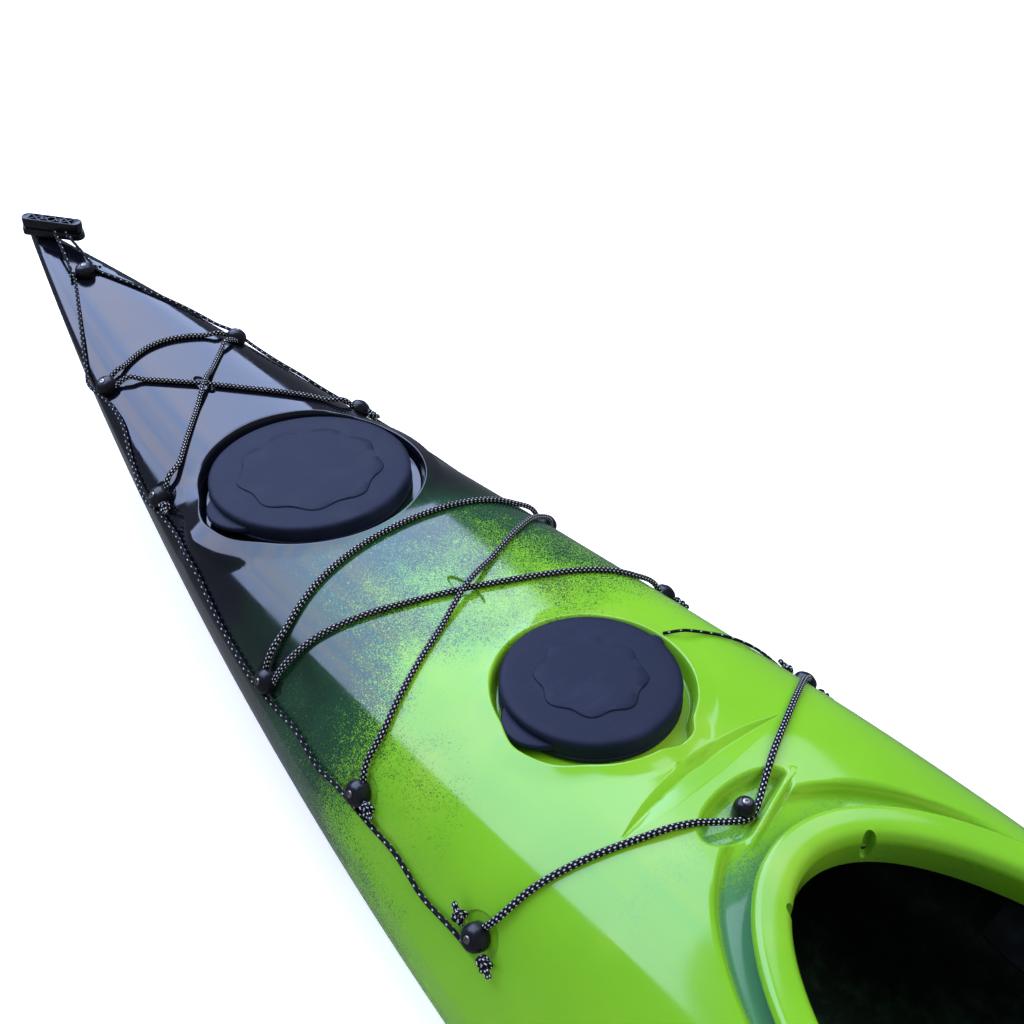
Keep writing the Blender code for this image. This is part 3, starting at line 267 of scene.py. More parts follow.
@dataclass(frozen=True)
class ShellFinish(Finish):
    """Gloss moulded shell: lime amidships, dusted into green-black and black towards both ends.

    The mesh attribute "sunk" says how deep a place lies in the moat or pit.
    """

    name: str = "moulded_shell"
    lime: Triple = (0.178, 0.430, 0.016)
    lime_deep: Triple = (0.110, 0.31, 0.010)
    lime_pale: Triple = (0.29, 0.46, 0.045)
    dust_green: Triple = (0.010, 0.044, 0.020)
    # Teal of the sunk places: speckled dust, and in the moat partly a painted reflection of the sky.
    sunk_green: Triple = (0.052, 0.185, 0.110)
    green_black: Triple = (0.004, 0.013, 0.008)
    black: Triple = (0.0025, 0.003, 0.006)
    dust_start: float = 0.73
    dust_end: float = 1.60
    black_start: float = 1.10
    black_end: float = 1.42
    dust_softness: float = 0.13
    veil_softness: float = 0.22

    def reach(self, shader: Shader) -> Socket:
        """How far along a place counts as being, with slow wandering.

        Args:
            shader: The material in the making.

        Returns:
            The distance from amidships.
        """
        x, y, z = shader.axes(shader.spot)
        low = shader.plus(shader.spread(z, 0.26, 0.08, 0.0, 0.06), shader.spread(x, -0.12, -0.22, 0.0, 0.10))
        low = shader.plus(low, shader.spread(x, 0.06, 0.20, 0.0, 0.07))
        wander = shader.spread(shader.noise(4.6, 2.0, 0.45), 0.34, 0.66, -0.05, 0.05)
        ruffle = shader.spread(shader.noise(22.0, 3.0, 0.55), 0.30, 0.70, -0.02, 0.02)
        near = shader.plus(shader.math("ABSOLUTE", y), low)
        return shader.plus(near, shader.plus(wander, ruffle))

    def dither(self, shader: Shader, share: object, specks: Socket, soft: float) -> Socket:
        """Turns a slow change from 0 to 1 into fine specks with soft edges, which grow denser."""
        wide = shader.spread(share, 0.0, 1.0, -soft, 1.0 + soft)
        return shader.spread(shader.math("SUBTRACT", wide, specks), -soft, soft)

    def body(self, shader: Shader, fine: Socket) -> Socket:
        """The lime with its deeper and paler clouds, teal dust in what is pressed down that is partly a
        painted sky reflection, and a pale band on the moat's wall that is partly a painted highlight.

        Args:
            shader: The material in the making.
            fine: The fine grain.

        Returns:
            The colour.
        """
        patch = shader.spread(shader.noise(3.1, 3.0, 0.5), 0.38, 0.7, 0.0, 0.45)
        pale = shader.spread(shader.noise(4.3, 3.0, 0.5), 0.52, 0.74, 0.0, 0.55)
        colour = shader.blend(patch, self.lime, self.lime_deep)
        colour = shader.blend(pale, colour, self.lime_pale)
        sunk = shader.attribute("sunk")
        x, y, _ = shader.axes(shader.spot)
        beside = shader.times(shader.spread(shader.math("ABSOLUTE", y), 0.78, 0.60),
                              shader.spread(shader.noise(5.3, 4.0, 0.6), 0.40, 0.66, 0.0, 0.34))
        # In the moat the teal is partly a painted sky reflection, stronger towards the port side.
        moat_dust_and_reflection = shader.times(sunk, shader.spread(x, 0.03, -0.15, 0.36, 0.86))
        teal_share = self.dither(shader, shader.math("MAXIMUM", moat_dust_and_reflection, beside), fine, self.veil_softness)
        colour = shader.blend(shader.times(teal_share, 0.80), colour, self.sunk_green)
        # A pale band on the upper moat wall: partly a painted highlight, partly the thin plastic's own
        # colour.
        edge = shader.times(shader.spread(sunk, 0.02, 0.20), shader.spread(sunk, 0.45, 0.20))
        return shader.blend(shader.times(edge, 0.45), colour, self.lime_pale)

    def dress(self, shader: Shader) -> None:
        """Lays the dark ends over the lime body by fine specks, and glosses the whole.

        Args:
            shader: The material in the making.
        """
        grain = shader.spread(shader.noise(620.0, 2.0, 0.7), 0.30, 0.70)
        dust = shader.spread(shader.noise(190.0, 3.0, 0.75), 0.32, 0.68)
        specks = shader.plus(shader.times(grain, 0.82), shader.times(dust, 0.18))
        reach = self.reach(shader)
        body = self.body(shader, grain)
        shade = shader.spread(reach, self.black_start, self.black_end)
        middle = shader.blend(shader.spread(shade, 0.0, 0.5), self.dust_green, self.green_black)
        dark = shader.blend(shader.spread(shade, 0.4, 1.0), middle, self.black)
        left = shader.spread(reach, self.dust_start, self.dust_end, 1.0, 0.0)
        gone = shader.math("SUBTRACT", 1.0, shader.times(left, left))
        dusted = self.dither(shader, gone, specks, self.dust_softness)
        shader.set(Base_Color=shader.blend(dusted, body, dark))
        shader.set(Roughness=shader.spread(shader.noise(14.0, 5.0, 0.65), 0.3, 0.7, 0.075, 0.15))
        shader.set(IOR=1.48, Coat_Weight=0.06, Coat_Roughness=0.05)
        shader.dent(shader.noise(6.0, 2.0, 0.5), 0.0010, 0.22)
        shader.dent(shader.noise(420.0, 2.0, 0.5), 0.00005, 0.2)


@dataclass(frozen=True)
class PlasticFinish(Finish):
    """Moulded plastic of one colour with a fine grain and rubbed places."""

    colour: Triple
    rubbed: Triple
    roughness: float = 0.3
    grain: float = 900.0
    depth: float = 0.00003
    coat: float = 0.0
    specular: float = 0.5

    def dress(self, shader: Shader) -> None:
        """Clouds the colour where it is rubbed, and grains the surface.

        Args:
            shader: The material in the making.
        """
        wear = shader.spread(shader.noise(34.0, 5.0, 0.65), 0.45, 0.75)
        smear = shader.noise(60.0, 3.0, 0.6)
        shader.set(Base_Color=shader.blend(wear, self.colour, self.rubbed))
        shader.set(Roughness=shader.spread(smear, 0.3, 0.7, self.roughness * 0.8, self.roughness * 1.3))
        shader.set(Coat_Weight=self.coat, Coat_Roughness=0.12, Specular_IOR_Level=self.specular)
        shader.dent(shader.noise(self.grain, 2.0, 0.5), self.depth, 0.5)


@dataclass(frozen=True)
class RubberFinish(Finish):
    """Matte rubber with a bloom on it, faint rubbed clouds and fine pitting; the blue cast of its colours is
    partly a painted reflection of the sky.
    """

    name: str = "cover_rubber_matte"
    # Both colours carry a blue cast that is partly a painted reflection of the sky.
    colour: Triple = (0.008, 0.011, 0.025)
    bloom: Triple = (0.017, 0.021, 0.041)
    roughness: float = 0.50

    def dress(self, shader: Shader) -> None:
        """Veils the rubber with bloom and pits it.

        Args:
            shader: The material in the making.
        """
        cloud = shader.noise(16.0, 6.0, 0.68)
        streak = shader.noise(6.0, 3.0, 0.6, shader.mapped((3.0, 22.0, 3.0)))
        veil = shader.times(shader.spread(cloud, 0.42, 0.72), shader.spread(streak, 0.3, 0.8, 0.55, 1.0))
        shader.set(Base_Color=shader.blend(veil, self.colour, self.bloom))
        shader.set(Roughness=shader.spread(cloud, 0.3, 0.7, self.roughness, self.roughness + 0.14))
        shader.set(Specular_IOR_Level=0.16)
        shader.dent(shader.noise(1500.0, 2.0, 0.5), 0.00004, 0.4)


@dataclass(frozen=True)
class CordFinish(Finish):
    """Braided black sheath with small pale flecks in staggered lines along it.

    The UV map holds turns across and metres along.
    """

    pitch: float
    lines: float = 7.0
    fleck_length: float = 0.32
    fleck_width: float = 0.40
    strands: float = 8.0
    strands_along: float = 420.0
    base: Triple = (0.0025, 0.0025, 0.0035)
    fleck: Triple = (0.62, 0.64, 0.68)

    def dress(self, shader: Shader) -> None:
        """Lays the flecks and the crossing strands of the braid.

        Args:
            shader: The material in the making.
        """
        turn, run, _ = shader.axes(shader.mapped(where="UV"))
        around = shader.times(turn, self.lines)
        stagger = shader.times(shader.math("FLOOR", around), 0.5)
        place = shader.plus(shader.math("DIVIDE", run, self.pitch), stagger)
        across, ahead = (shader.math("ABSOLUTE", shader.math("SUBTRACT", shader.math("FRACT", spot), 0.5))
                         for spot in (around, place))
        wide, long = 0.5 * self.fleck_width, 0.5 * self.fleck_length
        inside = shader.times(shader.spread(across, wide + 0.08, wide - 0.04),
                              shader.spread(ahead, long + 0.05, long - 0.03))
        pale = shader.times(inside, shader.spread(shader.noise(1300.0, 2.0, 0.6), 0.30, 0.55, 0.25, 1.0))
        shader.set(Base_Color=shader.blend(pale, self.base, self.fleck))
        both = shader.times(turn, self.strands), shader.times(run, self.strands_along)
        crossing = [shader.math("SINE", shader.times(shader.math(how, *both), 2.0 * math.pi))
                    for how in ("ADD", "SUBTRACT")]
        weave = shader.spread(shader.times(*crossing), -1.0, 1.0)
        shader.dent(weave, 0.00035, 0.7)
        shader.set(Roughness=shader.spread(weave, 0.0, 1.0, 0.85, 0.6), Specular_IOR_Level=0.2)


@dataclass(frozen=True)
class FabricFinish(Finish):
    """Plain woven cover cloth."""

    name: str = "woven_cover"
    colour: Triple = (0.012, 0.012, 0.014)
    # The raised threads' colour: a painted highlight over the cloth's own colour.
    raised: Triple = (0.045, 0.046, 0.050)
    threads: float = 900.0

    def dress(self, shader: Shader) -> None:
        """Weaves warp and weft, with the raised threads painted paler as a highlight, and paler still where
        it is worn.

        Args:
            shader: The material in the making.
        """
        x, y, z = shader.axes(shader.spot)
        warp, weft = (shader.math("SINE", shader.times(way, self.threads * math.pi))
                      for way in (x, shader.plus(y, z)))
        weave = shader.spread(shader.times(warp, weft), -1.0, 1.0)
        worn = shader.noise(26.0, 5.0, 0.6)
        # Paler raised threads: a painted highlight, stronger in the worn clouds.
        lift = shader.times(weave, shader.spread(worn, 0.3, 0.7, 0.45, 1.0))
        shader.set(Base_Color=shader.blend(lift, self.colour, self.raised))
        shader.set(Roughness=shader.spread(worn, 0.3, 0.7, 0.8, 0.95), Sheen_Weight=0.3, Sheen_Roughness=0.5)
        shader.dent(weave, 0.0003, 0.6)


@dataclass(frozen=True)
class FoamFinish(Finish):
    """Closed-cell foam with its cut cells."""

    name: str = "closed_cell_foam"
    colour: Triple = (0.035, 0.035, 0.038)
    cell: Triple = (0.075, 0.075, 0.080)

    def dress(self, shader: Shader) -> None:
        """Opens the cells in the cut surface, with painted shade in their hollows.

        Args:
            shader: The material in the making.
        """
        cells = shader.cells(700.0)
        cloud = shader.noise(20.0, 4.0, 0.6)
        # Darker in the cells' hollows: painted shade.
        mixed = shader.times(shader.spread(cells, 0.1, 0.7), shader.spread(cloud, 0.3, 0.7, 0.5, 1.0))
        shader.set(Base_Color=shader.blend(mixed, self.colour, self.cell))
        shader.set(Roughness=shader.spread(cloud, 0.3, 0.7, 0.85, 0.97))
        shader.dent(cells, 0.0003, 0.6)


@dataclass(frozen=True)
class MetalFinish(Finish):
    """Bare metal, brushed along the boat and lightly marked."""

    colour: Triple
    marked: Triple
    roughness: float = 0.3

    def dress(self, shader: Shader) -> None:
        """Brushes the metal and marks it.

        Args:
            shader: The material in the making.
        """
        lines = shader.noise(1.0, 3.0, 0.6, shader.mapped((1400.0, 30.0, 1400.0)))
        spots = shader.noise(90.0, 4.0, 0.6)
        shader.set(Base_Color=shader.blend(shader.spread(spots, 0.45, 0.8), self.colour, self.marked))
        shader.set(Roughness=shader.spread(lines, 0.3, 0.7, self.roughness * 0.8, self.roughness * 1.3))
        shader.set(Metallic=1.0)
        shader.dent(lines, 0.00003, 0.4)


def once(finish: Finish) -> Material:
    """A field that makes a finish once, when the boat is built."""
    return field(default_factory=finish.make)


@dataclass
class Finishes:
    """Every finish, each made once."""

    shell: Material = once(ShellFinish())
    inside: Material = once(PlasticFinish(
        "shell_inside", (0.010, 0.020, 0.013), (0.030, 0.064, 0.034), 0.5, 260.0, 0.0004))
    gloss_black: Material = once(PlasticFinish(
        "gloss_black_plastic", (0.003, 0.003, 0.005), (0.007, 0.007, 0.010), 0.30, 500.0, 0.00002, 0.04, 0.4))
    dull_black: Material = once(PlasticFinish(
        "dull_black_plastic", (0.0010, 0.0014, 0.0012), (0.002, 0.0024, 0.0022), 0.8, 900.0, 0.0001,
        0.0, 0.03))
    satin_black: Material = once(PlasticFinish(
        "grained_black_plastic", (0.007, 0.007, 0.008), (0.018, 0.018, 0.020), 0.45, 1100.0, 0.00012))
    rubber: Material = once(RubberFinish())
    bungee: Material = once(CordFinish("bungee_braid", 0.0060))
    line: Material = once(CordFinish("line_braid", 0.0120, 4.0, 0.17, 0.30))
    thin_cord: Material = once(CordFinish("thin_cord_braid", 0.0150, 3.0, 0.13, 0.30))
    fabric: Material = once(FabricFinish())
    webbing: Material = once(FabricFinish("webbing", (0.010, 0.010, 0.011), (0.055, 0.056, 0.060), 620.0))
    foam: Material = once(FoamFinish())
    aluminium: Material = once(MetalFinish(
        "anodised_aluminium", (0.62, 0.63, 0.65), (0.48, 0.49, 0.51), 0.34))
    steel: Material = once(MetalFinish("stainless_steel", (0.36, 0.33, 0.29), (0.20, 0.18, 0.16), 0.36))


# Bench tools


def linked(name: str, data: bpy.types.ID) -> Piece:
    """Puts a new object into the scene.

    Args:
        name: Its name.
        data: Its mesh, curve, light or camera.

    Returns:
        The object.
    """
    piece = bpy.data.objects.new(name, data)
    bpy.context.scene.collection.objects.link(piece)
    return piece


def turned_at(spot: Sequence[float], turn: float, axis: str) -> Matrix:
    """A frame at a spot, turned by radians about an axis."""
    return Matrix.Translation(spot) @ Matrix.Rotation(turn, 4, axis)


class Bench:
    """The shaping tools, each a short name for a few operators."""

    @staticmethod
    def clear() -> None:
        """Leaves edit mode and deselects everything."""
        if bpy.context.object is not None and bpy.context.object.mode != "OBJECT":
            bpy.ops.object.mode_set(mode="OBJECT")
        bpy.ops.object.select_all(action="DESELECT")

    @staticmethod
    def hold(piece: Piece) -> None:
        """Selects one piece alone and makes it active."""
        Bench.clear()
        piece.select_set(True)
        bpy.context.view_layer.objects.active = piece

    @staticmethod
    def fresh(name: str) -> Piece:
        """Names what was just added.

        Args:
            name: The name.

        Returns:
            The piece.
        """
        piece = bpy.context.object
        piece.name = name
        piece.data.name = name
        return piece

    @staticmethod
    def open(kind: str = "") -> None:
        """Takes the held mesh into edit mode with all of it selected.

        Args:
            kind: What is selected by, VERT or EDGE, if that isn't left as it is.
        """
        bpy.ops.object.mode_set(mode="EDIT")
        if kind:
            bpy.ops.mesh.select_mode(type=kind)
        bpy.ops.mesh.select_all(action="SELECT")

    @staticmethod
    def close() -> Piece:
        """Leaves edit mode and gives the piece that was worked on."""
        bpy.ops.object.mode_set(mode="OBJECT")
        return bpy.context.object

    @staticmethod
    def close_outwards(merge: float = 0.0) -> Piece:
        """Turns the open piece's faces outwards and leaves edit mode.

        Args:
            merge: How near to each other corners are merged first, if at all.

        Returns:
            The piece.
        """
        bpy.ops.mesh.select_all(action="SELECT")
        if merge:
            bpy.ops.mesh.remove_doubles(threshold=merge)
        bpy.ops.mesh.normals_make_consistent(inside=False)
        return Bench.close()

    @staticmethod
    def round_edges(piece: Piece, test: Callable[[bmesh.types.BMEdge], bool], **settings: float) -> None:
        """Bevels the edges that pass a test.

        Args:
            piece: The piece to work on.
            test: Says whether an edge is rounded.
            settings: The bevel's settings by name.
        """
        Bench.hold(piece)
        Bench.open("EDGE")
        bpy.ops.mesh.select_all(action="DESELECT")
        mesh = bmesh.from_edit_mesh(piece.data)
        for edge in mesh.edges:
            edge.select_set(test(edge))
        bmesh.update_edit_mesh(piece.data)
        bpy.ops.mesh.bevel(**settings)
        Bench.close()

    @staticmethod
    def turned(name: str, profile: Sequence[Point], segments: int, ring: bool = False) -> Piece:
        """Turns a piece about Z: a circle, extruded and resized from point to point.

        Args:
            name: The piece's name.
            profile: Radius and height of each point. Radius 0 closes on the axis.
            segments: Sides of the circle.
            ring: Whether the last point joins the first again.

        Returns:
            The turned piece.
        """
        Bench.clear()
        points = [(max(radius, AXIS_RADIUS), height) for radius, height in profile]
        if ring:
            points.append(points[0])
        bpy.ops.mesh.primitive_circle_add(vertices=segments, radius=points[0][0], fill_type="NOTHING")
        Bench.fresh(name)
        Bench.open()
        bpy.ops.transform.translate(value=(0.0, 0.0, points[0][1]))
        for (radius, height), (wider, higher) in zip(points, points[1:]):
            bpy.ops.mesh.extrude_region_move(TRANSFORM_OT_translate={"value": (0.0, 0.0, higher - height)})
            grow = wider / radius
            bpy.ops.transform.resize(value=(grow, grow, 1.0), center_override=(0.0, 0.0, higher))
        return Bench.close_outwards(3.0 * AXIS_RADIUS)

    @staticmethod
    def rod(name: str, radius: float, low: float, high: float, segments: int) -> Piece:
        """A closed round solid about Z, to cut or fill with."""
        return Bench.turned(name, [(0.0, low), (radius, low), (radius, high), (0.0, high)], segments)

    @staticmethod
    def block(name: str, size: Sequence[float], centre: Sequence[float] = (0.0, 0.0, 0.0)) -> Piece:
        """A box to start a piece from.

        Args:
            name: The piece's name.
            size: Its size along X, Y and Z.
            centre: Its middle.

        Returns:
            The box.
        """
        Bench.clear()
        bpy.ops.mesh.primitive_cube_add(size=1.0)
        Bench.fresh(name)
        Bench.open()
        bpy.ops.transform.resize(value=tuple(size))
        bpy.ops.transform.translate(value=tuple(centre))
        return Bench.close()

    @staticmethod
    def sheet(name: str, columns: int, rows: int, place: Surface) -> Piece:
        """A grid whose corners are set one by one.

        Args:
            name: The piece's name.
            columns: Faces across.
            rows: Faces along.
            place: Gives a corner's place from two shares of -1 to 1.

        Returns:
            The sheet.
        """
        Bench.clear()
        bpy.ops.mesh.primitive_grid_add(x_subdivisions=columns, y_subdivisions=rows, size=2.0)
        piece = Bench.fresh(name)
        for vertex in piece.data.vertices:
            vertex.co = place(vertex.co.x, vertex.co.y)
        piece.data.update()
        return piece

    @staticmethod
    def cushion(name: str, columns: int, rows: int, low: Surface, high: Surface) -> Piece:
        """A closed soft form between two sheets.

        Args:
            name: The piece's name.
            columns: Faces across.
            rows: Faces along.
            low: Gives a place on the back sheet from two shares of -1 to 1.
            high: Gives a place on the front sheet.

        Returns:
            The closed form.
        """
        piece = Bench.sheet(name, columns, rows, lambda u, v: (u, v, 0.0))
        shares = [(vertex.co.x, vertex.co.y) for vertex in piece.data.vertices]
        Bench.add(piece, "SOLIDIFY", thickness=0.1, offset=-1.0)
        for number, vertex in enumerate(piece.data.vertices):
            sheet = high if number < len(shares) else low
            vertex.co = sheet(*shares[number % len(shares)])
        Bench.open("VERT")
        return Bench.close_outwards()

    @staticmethod
    def bar(name: str, outline: Sequence[Point], length: float) -> Piece:
        """A straight bar along Y with an outline of X and Z.

        Args:
            name: The piece's name.
            outline: The section's corners in order.
            length: The bar's length.

        Returns:
            The bar, centred on its length.
        """
        Bench.clear()
        bpy.ops.mesh.primitive_circle_add(vertices=len(outline), radius=1.0, fill_type="NGON")
        for vertex, (x, z) in zip(Bench.fresh(name).data.vertices, outline):
            vertex.co = (x, -0.5 * length, z)
        Bench.open("VERT")
        bpy.ops.mesh.extrude_region_move(TRANSFORM_OT_translate={"value": (0.0, length, 0.0)})
        return Bench.close_outwards()

    @staticmethod
    def add(piece: Piece, kind: str, **settings: object) -> None:
        """Adds a modifier and applies it.

        Args:
            piece: The piece.
            kind: The modifier's type.
            settings: Its settings by name.
        """
        Bench.hold(piece)
        step = piece.modifiers.new(kind.lower(), kind)
        for name, value in settings.items():
            setattr(step, name, value)
        bpy.ops.object.modifier_apply(modifier=step.name)

    @staticmethod
    def repeat(piece: Piece, count: int, step: Sequence[float]) -> None:
        """Repeats a shape in a row."""
        Bench.add(piece, "ARRAY", count=count, use_relative_offset=False, use_constant_offset=True,
                  constant_offset_displace=tuple(step))

    @staticmethod
    def soften(piece: Piece, width: float, segments: int, angle: float) -> None:
        """Rounds the edges that are sharper than an angle in degrees, by a width and in so many steps."""
        Bench.add(piece, "BEVEL", width=width, segments=segments, limit_method="ANGLE",
                  angle_limit=math.radians(angle), use_clamp_overlap=True)

    @staticmethod
    def carve(piece: Piece, tool: Piece, how: str = "DIFFERENCE") -> None:
        """Cuts a piece with another solid, or joins them by UNION. The other is used up."""
        Bench.add(piece, "BOOLEAN", operation=how, solver="EXACT", object=tool)
        bpy.data.objects.remove(tool)

    @staticmethod
    def shade(piece: Piece, angle: float) -> Piece:
        """Shades smooth across edges flatter than an angle in degrees.

        Args:
            piece: The piece.
            angle: The angle.

        Returns:
            The piece.
        """
        Bench.hold(piece)
        bpy.ops.object.shade_smooth_by_angle(angle=math.radians(angle))
        return piece

    @staticmethod
    def copy(piece: Piece, name: str, matrix: Matrix) -> Piece:
        """A copy with its own mesh, put in its place.

        Args:
            piece: The pattern.
            name: The copy's name.
            matrix: The copy's place.

        Returns:
            The copy.
        """
        mesh = piece.data.copy()
        mesh.name = name
        mesh.transform(matrix)
        return linked(name, mesh)

    @staticmethod
    def join(pieces: Sequence[Piece]) -> Piece:
        """Makes several pieces one, under the first one's name.

        Args:
            pieces: The pieces.

        Returns:
            The one piece.
        """
        Bench.hold(pieces[0])
        for piece in pieces[1:]:
            piece.select_set(True)
        bpy.ops.object.join()
        return bpy.context.object


def from_arrays(name: str, points: Array, faces: Sequence[Sequence[int]],
                normals: Array | None = None) -> Piece:
    """An object from lists of corners and faces.

    Args:
        name: The object's name.
        points: The corners.
        faces: The corner numbers of each face.
        normals: The shading normal of each corner, if they are known.

    Returns:
        The object, shaded smooth.
    """
    mesh = bpy.data.meshes.new(name)
    mesh.from_pydata(np.asarray(points).tolist(), [], [list(map(int, face)) for face in faces])
    mesh.update()
    mesh.polygons.foreach_set("use_smooth", [True] * len(mesh.polygons))
    if normals is not None:
        mesh.normals_split_custom_set_from_vertices(np.asarray(normals).tolist())
    return linked(name, mesh)


def publish(piece: Piece, body: Body, look: Material | None, slot: Slot,
            stands_for: Sequence[str] = (), crossing: tuple[Body, Vector, Vector] | None = None) -> Piece:
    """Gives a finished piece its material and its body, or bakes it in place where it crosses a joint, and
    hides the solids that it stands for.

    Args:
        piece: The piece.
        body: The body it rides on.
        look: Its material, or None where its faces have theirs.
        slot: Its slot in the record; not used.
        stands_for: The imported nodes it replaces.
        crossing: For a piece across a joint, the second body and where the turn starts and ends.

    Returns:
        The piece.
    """
    if look is not None:
        piece.data.materials.clear()
        piece.data.materials.append(look)
    if crossing is None:
        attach(piece, body.value)
    else:
        other, start, end = crossing
        tuple(start)
        tuple(end)
        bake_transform(piece)
    if stands_for:
        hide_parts(*stands_for)
    LOG.info("%s: %d faces, on %s", piece.name, len(piece.data.polygons), body.value)
    return piece


# Hull form


def ease(value: Array | float, low: float, high: float) -> Array:
    """A smooth step from 0 at low to 1 at high."""
    share = np.clip((np.asarray(value, float) - low) / (high - low), 0.0, 1.0)
    return share * share * (3.0 - 2.0 * share)


def lesser(first: Array, second: Array, round_off: float) -> Array:
    """The lower of two surfaces, with a fillet of a size where they cross."""
    share = np.clip(0.5 + 0.5 * (second - first) / round_off, 0.0, 1.0)
    return second * (1.0 - share) + first * share - round_off * share * (1.0 - share)


def greater(first: Array, second: Array, round_off: float) -> Array:
    """The higher of two surfaces, with a fillet where they cross."""
    return -lesser(-first, -second, round_off)


@dataclass(frozen=True)
class HullForm:
    """The hull's lines, by the same formulas as the solid's."""

    half_length: float = 2.215
    widest: float = 0.33
    tip: float = 0.006
    gunwale_middle: float = 0.090
    gunwale_slope: float = 0.144
    gunwale_rise: float = 0.129
    aft_gunwale_rise: float = 0.062
    gunwale_drop: float = 0.030
    roll_power: float = 0.733
    crown_power: float = 2.5
    crown_middle: float = 2.9
    crown_tips: float = 3.0
    side_power: Triple = (0.40, -1.13, 2.5)
    bilge_power: tuple[float, float] = (0.45, 1.4)
    rocker: tuple[float, float] = (0.35, 0.030)
    stem: Triple = (0.82, 0.245, 1.8)
    nose: float = 0.014
    stem_nose: float = 0.030
    wall: float = 0.006
    ridge: tuple[Point, ...] = (
        (-1.000, 0.306), (-0.790, 0.287), (-0.600, 0.283), (-0.340, 0.289), (-0.150, 0.303),
        (0.055, 0.325), (0.275, 0.3445), (0.375, 0.3345), (0.500, 0.3210), (0.620, 0.3075),
        (0.710, 0.3025), (0.812, 0.310), (0.912, 0.328), (1.000, 0.343))

    def span(self, y: Array) -> Array:
        """0 amidships and 1 at either tip."""
        return np.minimum(np.abs(y) / self.half_length, 1.0)

    def closing(self, y: Array, reach: float) -> Array:
        """1 along the hull, rounding down to 0 over the last reach at each tip."""
        past = np.clip((np.abs(y) - (self.half_length - reach)) / reach, 0.0, 1.0)
        return np.sqrt(np.maximum(1.0 - past * past, 0.0))

    def beam(self, y: Array) -> Array:
        """Half the width at y."""
        full = self.tip + (self.widest - self.tip) * (1.0 - self.span(y) ** 2)
        return full * self.closing(y, self.nose)

    def gunwale(self, y: Array) -> Array:
        """The height of the widest line.

        Args:
            y: Places along the hull.

        Returns:
            The heights.
        """
        ahead = np.asarray(y, float) > 0.0
        rise = np.where(ahead, self.gunwale_rise, self.aft_gunwale_rise)
        drop = np.where(ahead, self.gunwale_drop, 0.0)
        u = self.span(y)
        return self.gunwale_middle + self.gunwale_slope * u + rise * u**2 - drop * u**8

    def crest(self, y: Array) -> Array:
        """The height of the deck's middle line.

        Args:
            y: Places along the hull.

        Returns:
            The heights.
        """
        places, heights = np.array(self.ridge).T
        slopes = np.gradient(heights, places)
        along = np.clip(np.asarray(y, float) / self.half_length, -1.0, 1.0)
        k = np.clip(np.searchsorted(places, along, side="right") - 1, 0, len(places) - 2)
        step = places[k + 1] - places[k]
        t = (along - places[k]) / step
        start = (1.0 + 2.0 * t) * (1.0 - t) ** 2 * heights[k] + t * (1.0 - t) ** 2 * step * slopes[k]
        end = t * t * (3.0 - 2.0 * t) * heights[k + 1] + t * t * (t - 1.0) * step * slopes[k + 1]
        foot = self.gunwale(y)
        return foot + (start + end - foot) * self.closing(y, self.stem_nose)

    def crown(self, y: Array) -> Array:
        """How long the deck stays level before it rolls down."""
        u = self.span(y)
        return self.crown_power + self.crown_middle * (1.0 - u) ** 1.5 + self.crown_tips * u**2

    def keel(self, y: Array) -> Array:
        """The keel's height.

        Args:
            y: Places along the hull.

        Returns:
            The heights.
        """
        u = self.span(y)
        start, rise, power = self.stem
        rocker = self.rocker[1] * np.maximum(0.0, (u - self.rocker[0]) / (1.0 - self.rocker[0])) ** 2
        low = rocker + rise * np.maximum(0.0, (u - start) / (1.0 - start)) ** power
        top = self.gunwale(y)
        return top - (top - low) * self.closing(y, self.stem_nose)

    def deck(self, turn: Array, y: Array) -> Array:
        """Points on the plain deck.

        Args:
            turn: -1 at the port gunwale, 0 in the middle and 1 at the starboard gunwale.
            y: Places along the hull.

        Returns:
            The points, one in each row.
        """
        share = np.sin(0.5 * math.pi * turn)
        level = (np.maximum(1.0 - np.abs(share) ** self.crown(y), 0.0)) ** self.roll_power
        foot = self.gunwale(y)
        return np.stack([self.beam(y) * share, y, foot + (self.crest(y) - foot) * level], axis=-1)

    def turn_at(self, x: Array, y: Array) -> Array:
        """The deck's turn at a place given by x and y."""
        return np.arcsin(np.clip(x / np.maximum(self.beam(y), 1e-9), -1.0, 1.0)) * 2.0 / math.pi

    def side(self, turn: Array, y: Array) -> Array:
        """Points on the side and bottom.

        Args:
            turn: -1 at the port gunwale, 0 on the keel and 1 at the starboard gunwale.
            y: Places along the hull.

        Returns:
            The points, one in each row.
        """
        u = self.span(y)
        angle = 0.5 * math.pi * (1.0 - np.abs(turn))
        flare = self.side_power[0] + self.side_power[1] * u + self.side_power[2] * u**2
        bilge = self.bilge_power[0] + self.bilge_power[1] * u**2
        top = self.gunwale(y)
        x = np.sign(turn) * self.beam(y) * np.maximum(np.cos(angle), 0.0) ** flare
        z = top - (top - self.keel(y)) * np.sin(angle) ** bilge
        return np.stack([x, y, z], axis=-1)

    def deck_height(self, x: float, y: float) -> float:
        """The plain deck's height at a place.

        Args:
            x: The place across.
            y: The place along.

        Returns:
            The height.
        """
        share = min(abs(x) / float(self.beam(y)), 1.0)
        foot = float(self.gunwale(y))
        return foot + (float(self.crest(y)) - foot) * (1.0 - share ** float(self.crown(y))) ** self.roll_power

